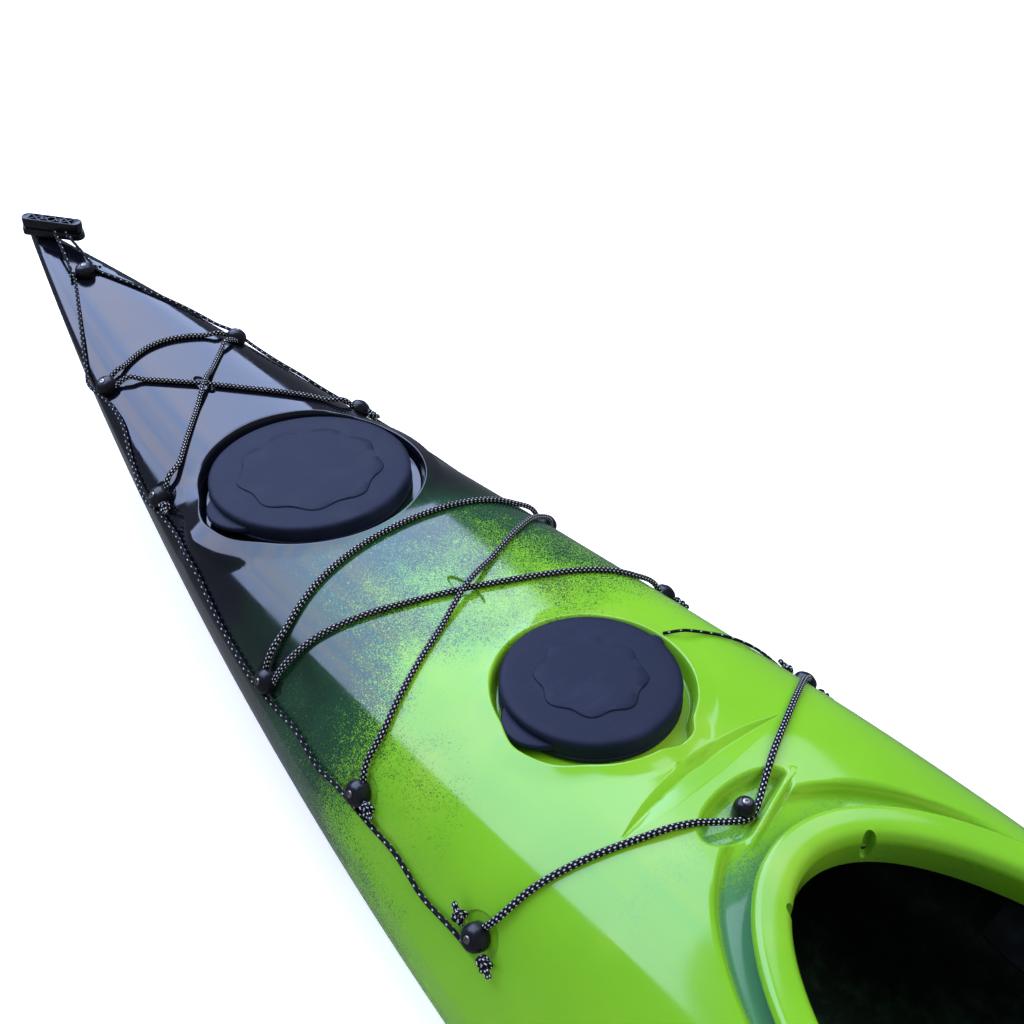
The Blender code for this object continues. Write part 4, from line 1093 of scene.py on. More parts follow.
    def deck_normal(self, x: float, y: float, step: float = 0.002) -> Vector:
        """The plain deck's upward normal.

        Args:
            x: The place across.
            y: The place along.
            step: How far apart the heights are that give its slope along.

        Returns:
            The unit normal.
        """
        half = float(self.beam(y))
        share = min(abs(x) / half, 0.99)
        power = float(self.crown(y))
        roll = self.roll_power * (1.0 - share**power) ** (self.roll_power - 1.0)
        rise = float(self.crest(y)) - float(self.gunwale(y))
        fall = rise * roll * power * share ** (power - 1.0) / half
        along = (self.deck_height(x, y + step) - self.deck_height(x, y - step)) / (2.0 * step)
        return Vector((math.copysign(fall, x), -along, 1.0)).normalized()


# What is pressed into the deck


def beyond(x: Array, y: Array, size: Point) -> Array:
    """About how far points lie outside an ellipse.

    Args:
        x: Places across.
        y: Places along.
        size: The ellipse's half width and half length.

    Returns:
        Distances, negative inside.
    """
    share = np.hypot(x / size[0], y / size[1])
    steep = np.hypot(x / size[0] ** 2, y / size[1] ** 2)
    return (share - 1.0) * share / np.maximum(steep, 1e-9)


def floored(slope: Array, round_off: float) -> Array:
    """A wall's heights, with a fillet where it leaves the floor."""
    return greater(np.zeros(len(slope)), slope, round_off)


@dataclass
class Pressing:
    """A place where the deck's skin leaves the plain form, in a frame with Z out of the deck."""

    matrix: Matrix

    def __post_init__(self) -> None:
        """Reads the frame's turn and origin."""
        self.turn = np.array(self.matrix.to_3x3())
        self.origin = np.array(self.matrix.translation)

    def local(self, points: Array) -> Array:
        """Points in the place's own frame."""
        return (points - self.origin) @ self.turn

    def lift(self, points: Array, change: Array) -> Array:
        """Moves points along the frame's Z."""
        return points + change[:, None] * self.turn[:, 2]

    def loop(self, reach: Callable[[Array], tuple[Array, Array]], count: int) -> Array:
        """A closed loop of points in boat coordinates.

        Args:
            reach: Gives local x and y from angles.
            count: How many points.

        Returns:
            The loop's x and y.
        """
        angles = np.arange(count) * 2.0 * math.pi / count
        x, y = reach(angles)
        local = np.stack([x, y, np.zeros(count)], axis=-1)
        return (local @ self.turn.T + self.origin)[:, :2]

    def ovals(self, size: Point, steps: Sequence[float], count: int, ahead: float = 0.0) -> list[Array]:
        """Ellipses, each wider than a size by its own step.

        Args:
            size: The half width and half length.
            steps: How much wider each is, all round.
            count: How many points each has.
            ahead: How far forward their middle lies.

        Returns:
            The loops.
        """
        wide, long = size
        return [self.loop(lambda a, w=more: ((wide + w) * np.cos(a), ahead + (long + w) * np.sin(a)), count)
                for more in steps]

    def press(self, points: Array) -> Array:
        """Moves the deck's points to the pressed surface."""
        raise NotImplementedError

    def rings(self) -> list[Array]:
        """Loops of points that the mesh should follow."""
        raise NotImplementedError

    def opening(self, points: Array) -> Array:
        """Which points lie in a hole through the skin."""
        return np.zeros(len(points), bool)


@dataclass
class HatchWell(Pressing):
    """The round well that a hatch stands in, with finger room here and there and a low raised lip.

    The hole goes through the skin. The room gives the direction, half the angle and the radius of each
    wider stretch.
    """

    radius: float
    hole: float
    room: Sequence[Triple]
    closer: float = 0.078
    lip_height: float = 0.0165
    lip_width: float = 0.006
    lip_slope: float = 0.55
    lip_end: float = 0.026
    lip_fall: float = 2.5
    wall_slope: float = 4.0
    steps: tuple[float, ...] = (-0.007, -0.003, -0.001, 0.0006, 0.002, 0.0034, 0.0048, 0.0065, 0.0085, 0.011,
                                0.014, 0.018, 0.024, 0.032, 0.042, 0.054)

    def reach(self, angle: Array) -> Array:
        """The well's radius in each direction, closer to the cover ahead of it.

        Args:
            angle: The directions.

        Returns:
            The radii.
        """
        found = self.radius - self.closer * self.radius * (0.5 + 0.5 * np.sin(angle)) ** 1.5
        for towards, half, radius in self.room:
            off = np.abs((angle - towards + math.pi) % (2.0 * math.pi) - math.pi)
            found = found + (radius - found) * (1.0 - ease(off, 0.35 * half, 1.5 * half))
        return found

    def press(self, points: Array) -> Array:
        """Moves the deck's points to the lip, wall and floor.

        Args:
            points: The points.

        Returns:
            The moved points.
        """
        x, y, height = self.local(points).T
        out = np.hypot(x, y) - self.reach(np.arctan2(y, x))
        mound = self.lip_height - self.lip_slope * np.maximum(out - self.lip_width, 0.0)
        mound = mound - self.lip_fall * np.maximum(out - self.lip_end, 0.0)
        raised = greater(height, mound, 0.020)
        pressed = lesser(raised, floored(out * self.wall_slope, 0.006), 0.0100)
        return self.lift(points, pressed - height)

    def rings(self) -> list[Array]:
        """Rings from the hole to beyond the lip.

        Returns:
            The loops.
        """
        loops = self.ovals((self.hole, self.hole), (0.0, 0.004), 112)
        for step in self.steps:
            loops.append(self.loop(lambda a, s=step: ((self.reach(a) + s) * np.cos(a),
                                                      (self.reach(a) + s) * np.sin(a)), 144))
        return loops

    def opening(self, points: Array) -> Array:
        """Points inside the hole under the hatch."""
        local = self.local(points)
        return np.hypot(local[:, 0], local[:, 1]) < self.hole - 1e-6


@dataclass
class CockpitWell(Pressing):
    """The moat round the coaming with its sloping wall, and the pit ahead of it.

    The inner size is half the skin's opening, and pit_y the pit's middle along the coaming's frame.
    """

    inner: Point
    pit_y: float
    outer: Point = (0.2625, 0.4965)
    floor: float = -0.030
    wall_width: float = 0.022
    wall_slope: float = 1.55
    sill: float = 0.007
    sill_reach: Point = (0.425, 0.475)
    fillet: float = 0.0045
    web_edge: float = 0.004
    web_foot: float = 0.0125
    pit_size: Point = (0.067, 0.031)
    pit_floor: float = -0.0315
    pit_wall: float = 0.010
    pit_slope: float = 2.0
    ridge: tuple[Point, Point] = ((0.074, 0.4845), (-0.026, 0.4575))
    ridge_height: tuple[float, float] = (0.0225, 0.008)
    ridge_reach: float = 0.0115
    web_steps: tuple[float, ...] = (0.0, 0.0035, 0.0055, 0.0075, 0.0095, 0.0115, 0.014, 0.018)
    wall_steps: tuple[float, ...] = (-0.034, -0.027, -0.023, -0.019, -0.014, -0.009, -0.005, -0.001, 0.003,
                                     0.008, 0.014, 0.022)
    pit_steps: tuple[float, ...] = (-0.022, -0.014, -0.010, -0.007, -0.0045, -0.002, 0.0005, 0.003, 0.0065)
    ridge_steps: tuple[float, ...] = (0.0006, 0.0022, 0.0040, 0.0060, 0.0085)

    def press(self, points: Array) -> Array:
        """Moves the deck's points to the moat and the pit.

        Args:
            points: The points.

        Returns:
            The moved points.
        """
        x, y, height = self.local(points).T
        out = beyond(x, y, self.outer)
        floor = self.floor + self.sill * ease(y, *self.sill_reach)
        web = beyond(x, y, self.inner)
        fillet = self.fillet * (1.0 - ease(web, self.web_edge, self.web_foot))
        moat = floor + fillet + floored((out + self.wall_width) * self.wall_slope, 0.006)
        pressed = lesser(height, moat, 0.0055)
        near = beyond(x, y - self.pit_y, self.pit_size)
        pit = self.pit_floor + floored((near + self.pit_wall) * self.pit_slope, 0.005)
        pressed = np.where(web > self.web_edge, lesser(pressed, pit, 0.006), pressed)
        off, along = self.by_ridge(x, y)
        crest = self.ridge_height[0] + (self.ridge_height[1] - self.ridge_height[0]) * along
        fin = self.pit_floor + crest * (1.0 - ease(off, 0.0008, self.ridge_reach))
        pressed = np.where(off < 0.016, lesser(greater(pressed, fin, 0.003), height + 0.0005, 0.001), pressed)
        return self.lift(points, pressed - height)

    def by_ridge(self, x: Array, y: Array) -> tuple[Array, Array]:
        """How far points lie from the ridge between pit and moat, and how far along it.

        Args:
            x: Places across.
            y: Places along.

        Returns:
            Distances, and shares from the ridge's starboard end.
        """
        start, end = np.array(self.ridge)
        way = end - start
        along = np.clip(((x - start[0]) * way[0] + (y - start[1]) * way[1]) / float(way @ way), 0.0, 1.0)
        return np.hypot(x - start[0] - way[0] * along, y - start[1] - way[1] * along), along

    def round_ridge(self, angle: Array, wider: float) -> tuple[Array, Array]:
        """A long loop with round ends about the ridge.

        Args:
            angle: Directions of its points.
            wider: How far it lies from the ridge.

        Returns:
            The points' x and y.
        """
        start, end = np.array(self.ridge)
        length = np.linalg.norm(end - start)
        way = (end - start) / length
        middle = 0.5 * (start + end)
        run = (0.5 * float(length) + wider) * np.clip(1.15 * np.cos(angle), -1.0, 1.0)
        aside = wider * np.clip(1.8 * np.sin(angle), -1.0, 1.0)
        return middle[0] + way[0] * run - way[1] * aside, middle[1] + way[1] * run + way[0] * aside

    def rings(self) -> list[Array]:
        """Ellipses across the moat's floor and wall, and rings in the pit.

        Returns:
            The loops.
        """
        loops = self.ovals(self.inner, self.web_steps, 200) + self.ovals(self.outer, self.wall_steps, 200)
        loops += self.ovals(self.pit_size, self.pit_steps, 56, self.pit_y)
        return loops + [self.loop(lambda a, w=more: self.round_ridge(a, w), 64) for more in self.ridge_steps]

    def opening(self, points: Array) -> Array:
        """Points inside the cockpit's opening."""
        x, y, _ = self.local(points).T
        return np.hypot(x / self.inner[0], y / self.inner[1]) < 1.0 - 1e-6

    def inside(self, points: Array) -> Array:
        """Which of the deck's points lie in the moat or the pit."""
        x, y, _ = self.local(points).T
        return (beyond(x, y, self.outer) < 0.004) | (beyond(x, y - self.pit_y, self.pit_size) < 0.004)


@dataclass
class LeafGroove(Pressing):
    """The leaf-shaped crease across the deck ahead of the cockpit, in a frame at its tips."""

    half_width: float = 0.130
    depth: float = 0.0062
    rise: float = 0.0125
    ahead: float = 0.0125
    behind: float = 0.0225
    shares: tuple[float, ...] = (1.12, 1.0, 0.80, 0.55, 0.30, 0.10)

    def press(self, points: Array) -> Array:
        """Sinks the deck's points into the crease.

        Args:
            points: The points.

        Returns:
            The moved points.
        """
        x, y, _ = self.local(points).T
        body = np.maximum(1.0 - (x / self.half_width) ** 2, 0.0)
        off = y - self.rise * body
        width = np.where(off > 0.0, self.ahead, self.behind) * np.maximum(body, 1e-6)
        share = np.clip(1.0 - np.abs(off) / width, 0.0, 1.0)
        return self.lift(points, -self.depth * np.sqrt(body) * share * (0.75 + 0.25 * share))

    def lens(self, angle: Array, share: float) -> tuple[Array, Array]:
        """A lens-shaped loop.

        Args:
            angle: Directions of its points.
            share: Its width as a share of the crease's.

        Returns:
            The points' x and y.
        """
        body = 1.0 - np.cos(angle) ** 2
        away = np.where(np.sin(angle) > 0.0, self.ahead, -self.behind)
        y = self.rise * body + share * away * body + 0.001 * np.sign(np.sin(angle))
        return self.half_width * np.cos(angle), y

    def rings(self) -> list[Array]:
        """Lens-shaped loops from the outline to the crease's bottom."""
        return [self.loop(lambda a, s=share: self.lens(a, s), 72) for share in self.shares]


@dataclass
class DeckSlot(Pressing):
    """A shallow oval slot under the place where two bungees cross."""

    size: Point
    depth: float
    steps: tuple[float, ...] = (-0.0060, -0.0042, -0.0031, -0.0023, -0.0014, -0.0005, 0.0004, 0.0018, 0.0040)

    def press(self, points: Array) -> Array:
        """Sinks the deck's points into the slot.

        Args:
            points: The points.

        Returns:
            The moved points.
        """
        x, y, height = self.local(points).T
        out = beyond(x, y, self.size)
        sink = self.depth * (1.0 - ease(out, -0.0030, 0.0002))
        near = (np.abs(height) < 0.02) & (out < 0.004)
        return self.lift(points, np.where(near, -sink, 0.0))

    def rings(self) -> list[Array]:
        """Ovals from the floor to beyond the edge."""
        return self.ovals(self.size, self.steps, 60)


@dataclass
class Dimple(Pressing):
    """A flat spot cut into the deck's curve for a fitting to stand on."""

    radius: float
    shares: tuple[float, ...] = (0.25, 0.45, 0.60, 0.72, 0.82, 0.90, 0.97, 1.04, 1.12, 1.22, 1.36)

    def press(self, points: Array) -> Array:
        """Cuts the deck's points back to the flat.

        Args:
            points: The points.

        Returns:
            The moved points.
        """
        x, y, height = self.local(points).T
        reach = np.hypot(x, y)
        pressed = lesser(height, floored((reach - self.radius + 0.001) * 1.6, 0.002), 0.0016)
        near = (reach < 2.0 * self.radius) & (height > -0.012)
        return self.lift(points, np.where(near, pressed - height, 0.0))

    def rings(self) -> list[Array]:
        """Rings over the flat and its edge."""
        return self.ovals((0.0, 0.0), [self.radius * share for share in self.shares], 28)


# The moulded skin


@dataclass
class HullSkin:
    """The moulded shell as one closed skin, outside and inside.

    Its deck is a net of triangles over the unrolled deck, because grids built up by
    operators can't follow the wells, the moat and the flats round its curved edges.
    """

    form: HullForm
    pressings: list[Pressing]
    fore_step: float = 0.0125
    aft_step: float = 0.0165
    side_columns: int = 18
    normal_step: float = 0.0004
    edge_strips: tuple[float, ...] = (0.0012, 0.0030, 0.0055, 0.0090, 0.0140)

    def stations(self) -> Array:
        """Places of the cross sections from stern to bow, closer at the tips.

        Returns:
            The places along Y, without the two tips themselves.
        """
        reach = self.form.half_length - self.form.stem_nose
        fore = np.linspace(0.0, reach, int(reach / self.fore_step) + 1)
        aft = -np.linspace(0.0, reach, int(reach / self.aft_step) + 1)[:0:-1]
        tip = reach + self.form.stem_nose * np.sin(np.linspace(0.0, 0.5 * math.pi, 9))[1:-1]
        return np.concatenate([-tip[::-1], aft, fore, tip])

    def unroll(self) -> None:
        """Measures the deck's half section at many places, for x to length across and back."""
        self.table_y = np.linspace(-self.form.half_length, self.form.half_length, 500)
        share = np.linspace(0.0, 1.0, 97)
        turn, y = np.meshgrid(share, self.table_y)
        points = self.form.deck(turn, y)
        steps = np.linalg.norm(np.diff(points, axis=1), axis=2)
        none = np.zeros((len(self.table_y), 1))
        self.table_length = np.concatenate([none, np.cumsum(steps, axis=1)], axis=1)
        shares = self.table_length / np.maximum(self.table_length[:, -1:], 1e-9)
        self.table_back = np.array([np.interp(share, row, share) for row in shares])

    def read(self, table: Array, along: Array, y: Array) -> Array:
        """Reads a table between its rows and columns.

        Args:
            table: Values over Y and a share of 0 to 1.
            along: The shares.
            y: The places.

        Returns:
            The values.
        """
        first, second = self.table_y[:2]
        row = np.clip((y - first) / (second - first), 0, len(self.table_y) - 1.001)
        column = np.clip(along, 0.0, 1.0) * (table.shape[1] - 1.001)
        r, c = row.astype(int), column.astype(int)
        fr, fc = row - r, column - c
        low = table[r, c] * (1.0 - fc) + table[r, c + 1] * fc
        high = table[r + 1, c] * (1.0 - fc) + table[r + 1, c + 1] * fc
        return low * (1.0 - fr) + high * fr

    def across(self, turn: Array, y: Array) -> Array:
        """The length across the deck to a turn."""
        return np.sign(turn) * self.read(self.table_length, np.abs(turn), y)

    def back(self, length: Array, y: Array) -> Array:
        """The turn at a length across the deck."""
        full = np.interp(y, self.table_y, self.table_length[:, -1])
        return np.sign(length) * self.read(self.table_back, np.abs(length) / np.maximum(full, 1e-9), y)

    def place(self, turn: Array, y: Array) -> Array:
        """Points on the deck with all that is pressed into it.

        Args:
            turn: Their turns.
            y: Their places along.

        Returns:
            The points.
        """
        points = self.form.deck(turn, y)
        for pressing in self.pressings:
            points = pressing.press(points)
        return points

    def slopes(self, surface: Callable[[Array, Array], Array], turn: Array,
               y: Array) -> Array:
        """Normals of a surface from points a fraction of a millimetre apart.

        Args:
            surface: Gives points from turns and places.
            turn: The turns.
            y: The places.

        Returns:
            Unit vectors across times along.
        """
        h = self.normal_step
        nudge = 0.0005
        nudged = [surface(np.clip(turn + by, -1, 1), y) for by in (nudge, -nudge)]
        rate = np.linalg.norm(nudged[0] - nudged[1], axis=1) / (2.0 * nudge)
        step = np.clip(h / np.maximum(rate, 1e-6), 1e-5, 0.01)
        high, low = np.clip(turn + step, -1.0, 1.0), np.clip(turn - step, -1.0, 1.0)
        cross = surface(high, y) - surface(low, y)
        limit = self.form.half_length
        along = surface(turn, np.minimum(y + h, limit)) - surface(turn, np.maximum(y - h, -limit))
        normal = np.cross(cross, along)
        return normal / np.maximum(np.linalg.norm(normal, axis=1, keepdims=True), 1e-12)

    def net(self, stations: Array) -> tuple[Array, Array, list, dict[int, int]]:
        """Lays points over the unrolled deck and joins them by triangles.

        Args:
            stations: The cross sections, whose ends at the gunwales are fixed points.

        Returns:
            Turns, places, triangles, and each fixed point's number among them.
        """
        limit = self.form.half_length
        border_y = np.concatenate([[-limit], stations, [limit], stations[::-1]])
        border_turn = np.concatenate([[0.0], np.ones(len(stations)), [0.0], -np.ones(len(stations))])
        turns, places = [border_turn], [border_y]
        count = len(border_y)
        edges = [(k, (k + 1) % count) for k in range(count)]
        for pressing in self.pressings:
            for loop in pressing.rings():
                x, y = loop[:, 0], loop[:, 1]
                inside = np.abs(x) < 0.985 * self.form.beam(y)
                number = np.cumsum(inside) - 1 + count
                edges += [(int(number[k]), int(number[(k + 1) % len(x)])) for k in range(len(x))
                          if inside[k] and inside[(k + 1) % len(x)]]
                turns.append(self.form.turn_at(x, y)[inside])
                places.append(y[inside])
                count += int(inside.sum())
        full = np.interp(stations, self.table_y, self.table_length[:, -1])
        for aside in self.edge_strips:
            wide = full > 2.6 * aside + 0.004
            for sign in (-1.0, 1.0):
                number = np.cumsum(wide) - 1 + count
                edges += [(int(number[k]), int(number[k + 1])) for k in range(len(stations) - 1)
                          if wide[k] and wide[k + 1]]
                turns.append(self.back(sign * (full - aside), stations)[wide])
                places.append(stations[wide])
                count += int(wide.sum())
        turn, y = np.concatenate(turns), np.concatenate(places)
        length = self.across(turn, y)
        tree = KDTree(len(y))
        for k, spot in enumerate(zip(length, y)):
            tree.insert((spot[0], spot[1], 0.0), k)
        tree.balance()
        free = []
        row_y, odd = -limit + 0.02, False
        while row_y < limit - 0.01:
            step = self.fore_step if row_y > 0.0 else self.aft_step
            half = float(np.interp(row_y, self.table_y, self.table_length[:, -1])) - 0.45 * step
            cells = int(half / step)
            for k in range(-cells, cells + 1):
                spot = (k + 0.5 * odd) * step
                if abs(spot) < half and tree.find((spot, row_y, 0.0))[2] > 0.62 * step:
                    free.append((spot, row_y))
            row_y += 0.866 * step
            odd = not odd
        free_length, free_y = np.array(free).T
        flat = np.concatenate([np.stack([length, y], 1), np.stack([free_length, free_y], 1)])
        done = delaunay_2d_cdt([Vector(p) for p in flat.tolist()], edges, [], 0, 1e-7, True)
        known_turn = np.concatenate([turn, self.back(free_length, free_y)])
        out_flat = np.array([(p[0], p[1]) for p in done[0]])
        new_turn = self.back(out_flat[:, 0], out_flat[:, 1])
        new_y = out_flat[:, 1].copy()
        index = {}
        for number, sources in enumerate(done[3]):
            if sources:
                new_turn[number] = known_turn[sources[0]]
                new_y[number] = flat[sources[0], 1]
            for source in sources:
                if source < len(border_y):
                    index[source] = number
        triangles = np.array([face for face in done[2] if len(face) == 3])
        middle_turn = new_turn[triangles].mean(axis=1)
        middle_y = new_y[triangles].mean(axis=1)
        middle = self.form.deck(middle_turn, middle_y)
        gone = np.zeros(len(triangles), bool)
        for pressing in self.pressings:
            gone |= pressing.opening(middle)
        order = np.argsort(border_y[: len(stations) + 2])
        half = np.interp(out_flat[triangles, 1].mean(axis=1), border_y[: len(stations) + 2][order],
                         np.abs(length[: len(stations) + 2])[order])
        gone |= np.abs(out_flat[triangles, 0].mean(axis=1)) > half + 1e-6
        triangles = triangles[~gone]
        kept = np.zeros(len(new_turn), bool)
        kept[np.unique(triangles)] = True
        kept[list(index.values())] = True
        number = np.cumsum(kept) - 1
        index = {source: int(number[found]) for source, found in index.items()}
        return new_turn[kept], new_y[kept], number[triangles].tolist(), index

    def build(self) -> Piece:
        """Builds the closed skin.

        Returns:
            The hull, its outer faces on material 0 and its inner faces on material 1.
        """
        self.unroll()
        stations = self.stations()
        turn, y, faces, index = self.net(stations)
        points = self.place(turn, y)
        normals = self.slopes(self.place, turn, y)
        count = len(stations)
        starboard = [index[k + 1] for k in range(count)]
        port = [index[2 * count + 1 - k] for k in range(count)]
        stern, bow = index[0], index[count + 1]
        columns = self.side_columns
        fine = np.linspace(-1.0, 1.0, 401)
        rows, extra_points, extra_normals = [], [], []
        base = len(points)
        for k, station in enumerate(stations):
            line = self.form.side(fine, np.full(len(fine), station))
            lengths = np.concatenate([[0.0], np.cumsum(np.linalg.norm(np.diff(line, axis=0), axis=1))])
            wanted = np.linspace(0.0, lengths[-1], 2 * columns + 1)
            turns = np.interp(wanted, lengths, fine)[1:-1]
            turns[columns - 1] = 0.0
            where = np.full(len(turns), station)
            extra_points.append(self.form.side(turns, where))
            extra_normals.append(-self.slopes(self.form.side, turns, where))
            start = base + k * (2 * columns - 1)
            rows.append([port[k]] + list(range(start, start + 2 * columns - 1)) + [starboard[k]])
        for low, high in zip(rows, rows[1:]):
            faces += [(low[c], high[c], high[c + 1], low[c + 1]) for c in range(2 * columns)]
        faces += [(rows[-1][c], bow, rows[-1][c + 1]) for c in range(2 * columns)]
        faces += [(rows[0][c + 1], stern, rows[0][c]) for c in range(2 * columns)]
        points = np.concatenate([points] + extra_points)
        normals = np.concatenate([normals] + extra_normals)
        for numbers, sign in ((starboard, 1.0), (port, -1.0)):
            normals[numbers, 0] = sign * np.maximum(np.hypot(normals[numbers, 0], normals[numbers, 2]), 0.05)
            normals[numbers, 2] = 0.0
        normals[stern] = (0.0, -1.0, 0.0)
        normals[bow] = (0.0, 1.0, 0.0)
        normals /= np.linalg.norm(normals, axis=1, keepdims=True)
        piece = self.close_walls(points, normals, faces)
        depth = np.linalg.norm(points[:base] - self.form.deck(turn, y), axis=1)
        moat = next(p for p in self.pressings if isinstance(p, CockpitWell))
        inside = moat.inside(points[:base])
        sunk = np.zeros(len(piece.data.vertices))
        sunk[:base] = np.where(inside, ease(depth, 0.004, 0.020), 0.0)
        piece.data.attributes.new("sunk", "FLOAT", "POINT").data.foreach_set("value", sunk)
        return piece

    def close_walls(self, points: Array, normals: Array, faces: list) -> Piece:
        """Adds the inner skin and closes the wall round each hole.

        Args:
            points: The outer skin's points.
            normals: Their normals.
            faces: Its faces, seen from outside.

        Returns:
            The hull.
        """
        room = np.clip(0.35 * self.form.beam(points[:, 1]), 0.0008, self.form.wall)
        inner = points - normals * room[:, None]
        shift = len(points)
        sides: dict[tuple[int, int], int] = {}
        for face in faces:
            for a, b in zip(face, list(face[1:]) + [face[0]]):
                sides[(a, b)] = 1
        rim = [(a, b) for a, b in sides if (b, a) not in sides]
        closed = list(faces) + [tuple(v + shift for v in reversed(face)) for face in faces]
        closed += [(b, a, a + shift, b + shift) for a, b in rim]
        points, normals = np.concatenate([points, inner]), np.concatenate([normals, -normals])
        piece = from_arrays("hull", points, closed, normals)
        looks = np.ones(len(closed), int)
        looks[: len(faces)] = 0
        piece.data.polygons.foreach_set("material_index", looks)
        LOG.info("hull skin: %d outer faces, %d rim edges", len(faces), len(rim))
        return piece


# Boat layout: frames and places shared by the pieces


@dataclass
class HatchSize:
    """Sizes of one round hatch, with its frame on the well's floor."""

    name: str
    body: Body
    y: float
    top: float
    pitch: float
    radius: float
    wave: float
    wave_depth: float
    lobes: int
    well: float
    room: tuple[Triple, ...]
    tether_tab: bool = False
    height: float = 0.030
    flange: float = 0.003
    rim_step: float = 0.024
    rim_wall: float = 0.006
    margin: float = 0.024

    @property
    def matrix(self) -> Matrix:
        """The hatch's frame, on the well's floor.

        Returns:
            The frame.
        """
        tilt = Matrix.Rotation(-math.radians(self.pitch), 4, "X")
        down = tilt @ Vector((0.0, 0.0, -(self.height + self.flange)))
        return Matrix.Translation(Vector((0.0, self.y, self.top)) + down) @ tilt

    @property
    def rim_inner(self) -> float:
        """The rim's inner radius."""
        return self.radius - self.rim_step

    @property
    def rim_outer(self) -> float:
        """The rim's outer radius."""
        return self.rim_inner + self.rim_wall


@dataclass
class Layout:
    """Where the hatches, the coaming and the deck fittings are."""

    form: HullForm = field(default_factory=HullForm)
    cockpit: tuple[float, float] = (0.190, 0.398)
    cockpit_y: float = 0.116
    coaming_height: float = 0.332
    coaming_pitch: float = 3.0
    fore_y: tuple[float, ...] = (1.746, 1.496, 1.142, 0.932, 0.712)
    fore_share: tuple[float, ...] = (0.865, 0.925, 0.945, 0.910, 0.895)
    aft_y: tuple[float, ...] = (-0.560, -0.860, -1.560)
    aft_share: tuple[float, ...] = (0.900, 0.910, 0.900)
    end_y: float = 2.022
    centre_y: float = 0.604
    pit_depth: float = 0.0315
    dimple_depth: float = 0.0025
    dimple_radius: float = 0.026
    bow: HatchSize = field(default_factory=lambda: HatchSize(
        "bow", Body.BOW_COVER, 1.379, 0.313, 4.8, 0.140, 0.0975, 0.0045, 9, 0.1545,
        ((math.radians(186.0), 0.34, 0.1610),)))
    day: HatchSize = field(default_factory=lambda: HatchSize(
        "day", Body.DAY_COVER, 0.830, 0.350, 4.2, 0.104, 0.0615, 0.0035, 8, 0.1150,
        ((math.radians(196.0), 0.36, 0.1235), (math.radians(-82.0), 0.19, 0.1250)), True))
    stern: HatchSize = field(default_factory=lambda: HatchSize(
        "stern", Body.STERN_COVER, -1.18, 0.308, -2.0, 0.140, 0.0975, 0.0045, 9, 0.1545,
        ((math.radians(186.0), 0.34, 0.1610),)))

    @property
    def hatches(self) -> tuple[HatchSize, ...]:
        """All three hatches."""
        return self.bow, self.day, self.stern

    @property
    def coaming(self) -> Matrix:
        """The coaming's frame."""
        turn = Matrix.Rotation(math.radians(self.coaming_pitch), 4, "X")
        return Matrix.Translation((0.0, self.cockpit_y, self.coaming_height)) @ turn

    @property
    def centre(self) -> Matrix:
        """The frame of the fitting in the pit."""
        return self.coaming @ Matrix.Translation((0.0, self.centre_y - self.cockpit_y, -self.pit_depth))

    def fitting_x(self, y: float) -> float:
        """How far out a side fitting stands.

        Args:
            y: Its place along.

        Returns:
            Its distance from the middle line.
        """
        places = self.aft_y[::-1] + self.fore_y[::-1]
        shares = self.aft_share[::-1] + self.fore_share[::-1]
        return float(self.form.beam(y)) * float(np.interp(y, places, shares))

    def on_deck(self, x: float, y: float, sink: float) -> Matrix:
        """A frame on the plain deck with Z along its normal.

        Args:
            x: The place across.
            y: The place along.
            sink: How far it is sunk.

        Returns:
            The frame.
        """
        normal = self.form.deck_normal(x, y)
        side = Vector((0.0, 1.0, 0.0)).cross(normal).normalized()
        turn = Matrix((side, normal.cross(side), normal)).transposed().to_4x4()
        return Matrix.Translation(Vector((x, y, self.form.deck_height(x, y))) - normal * sink) @ turn

    def beside(self, sign: float, y: float) -> Matrix:
        """The frame of the side fitting at y, on the side with a sign."""
        return self.on_deck(sign * self.fitting_x(y), y, self.dimple_depth)

    def side_fittings(self) -> list[tuple[str, Matrix]]:
        """The side fittings.

        Returns:
            The node and the frame of each.
        """
        found = []
        for side in Side:
            for run, places in (("fore", self.fore_y), ("aft", self.aft_y)):
                found += [(f"{side.word}_{run}_fitting_{number}", self.beside(side.value, y))
                          for number, y in enumerate(places, 1)]
        return found


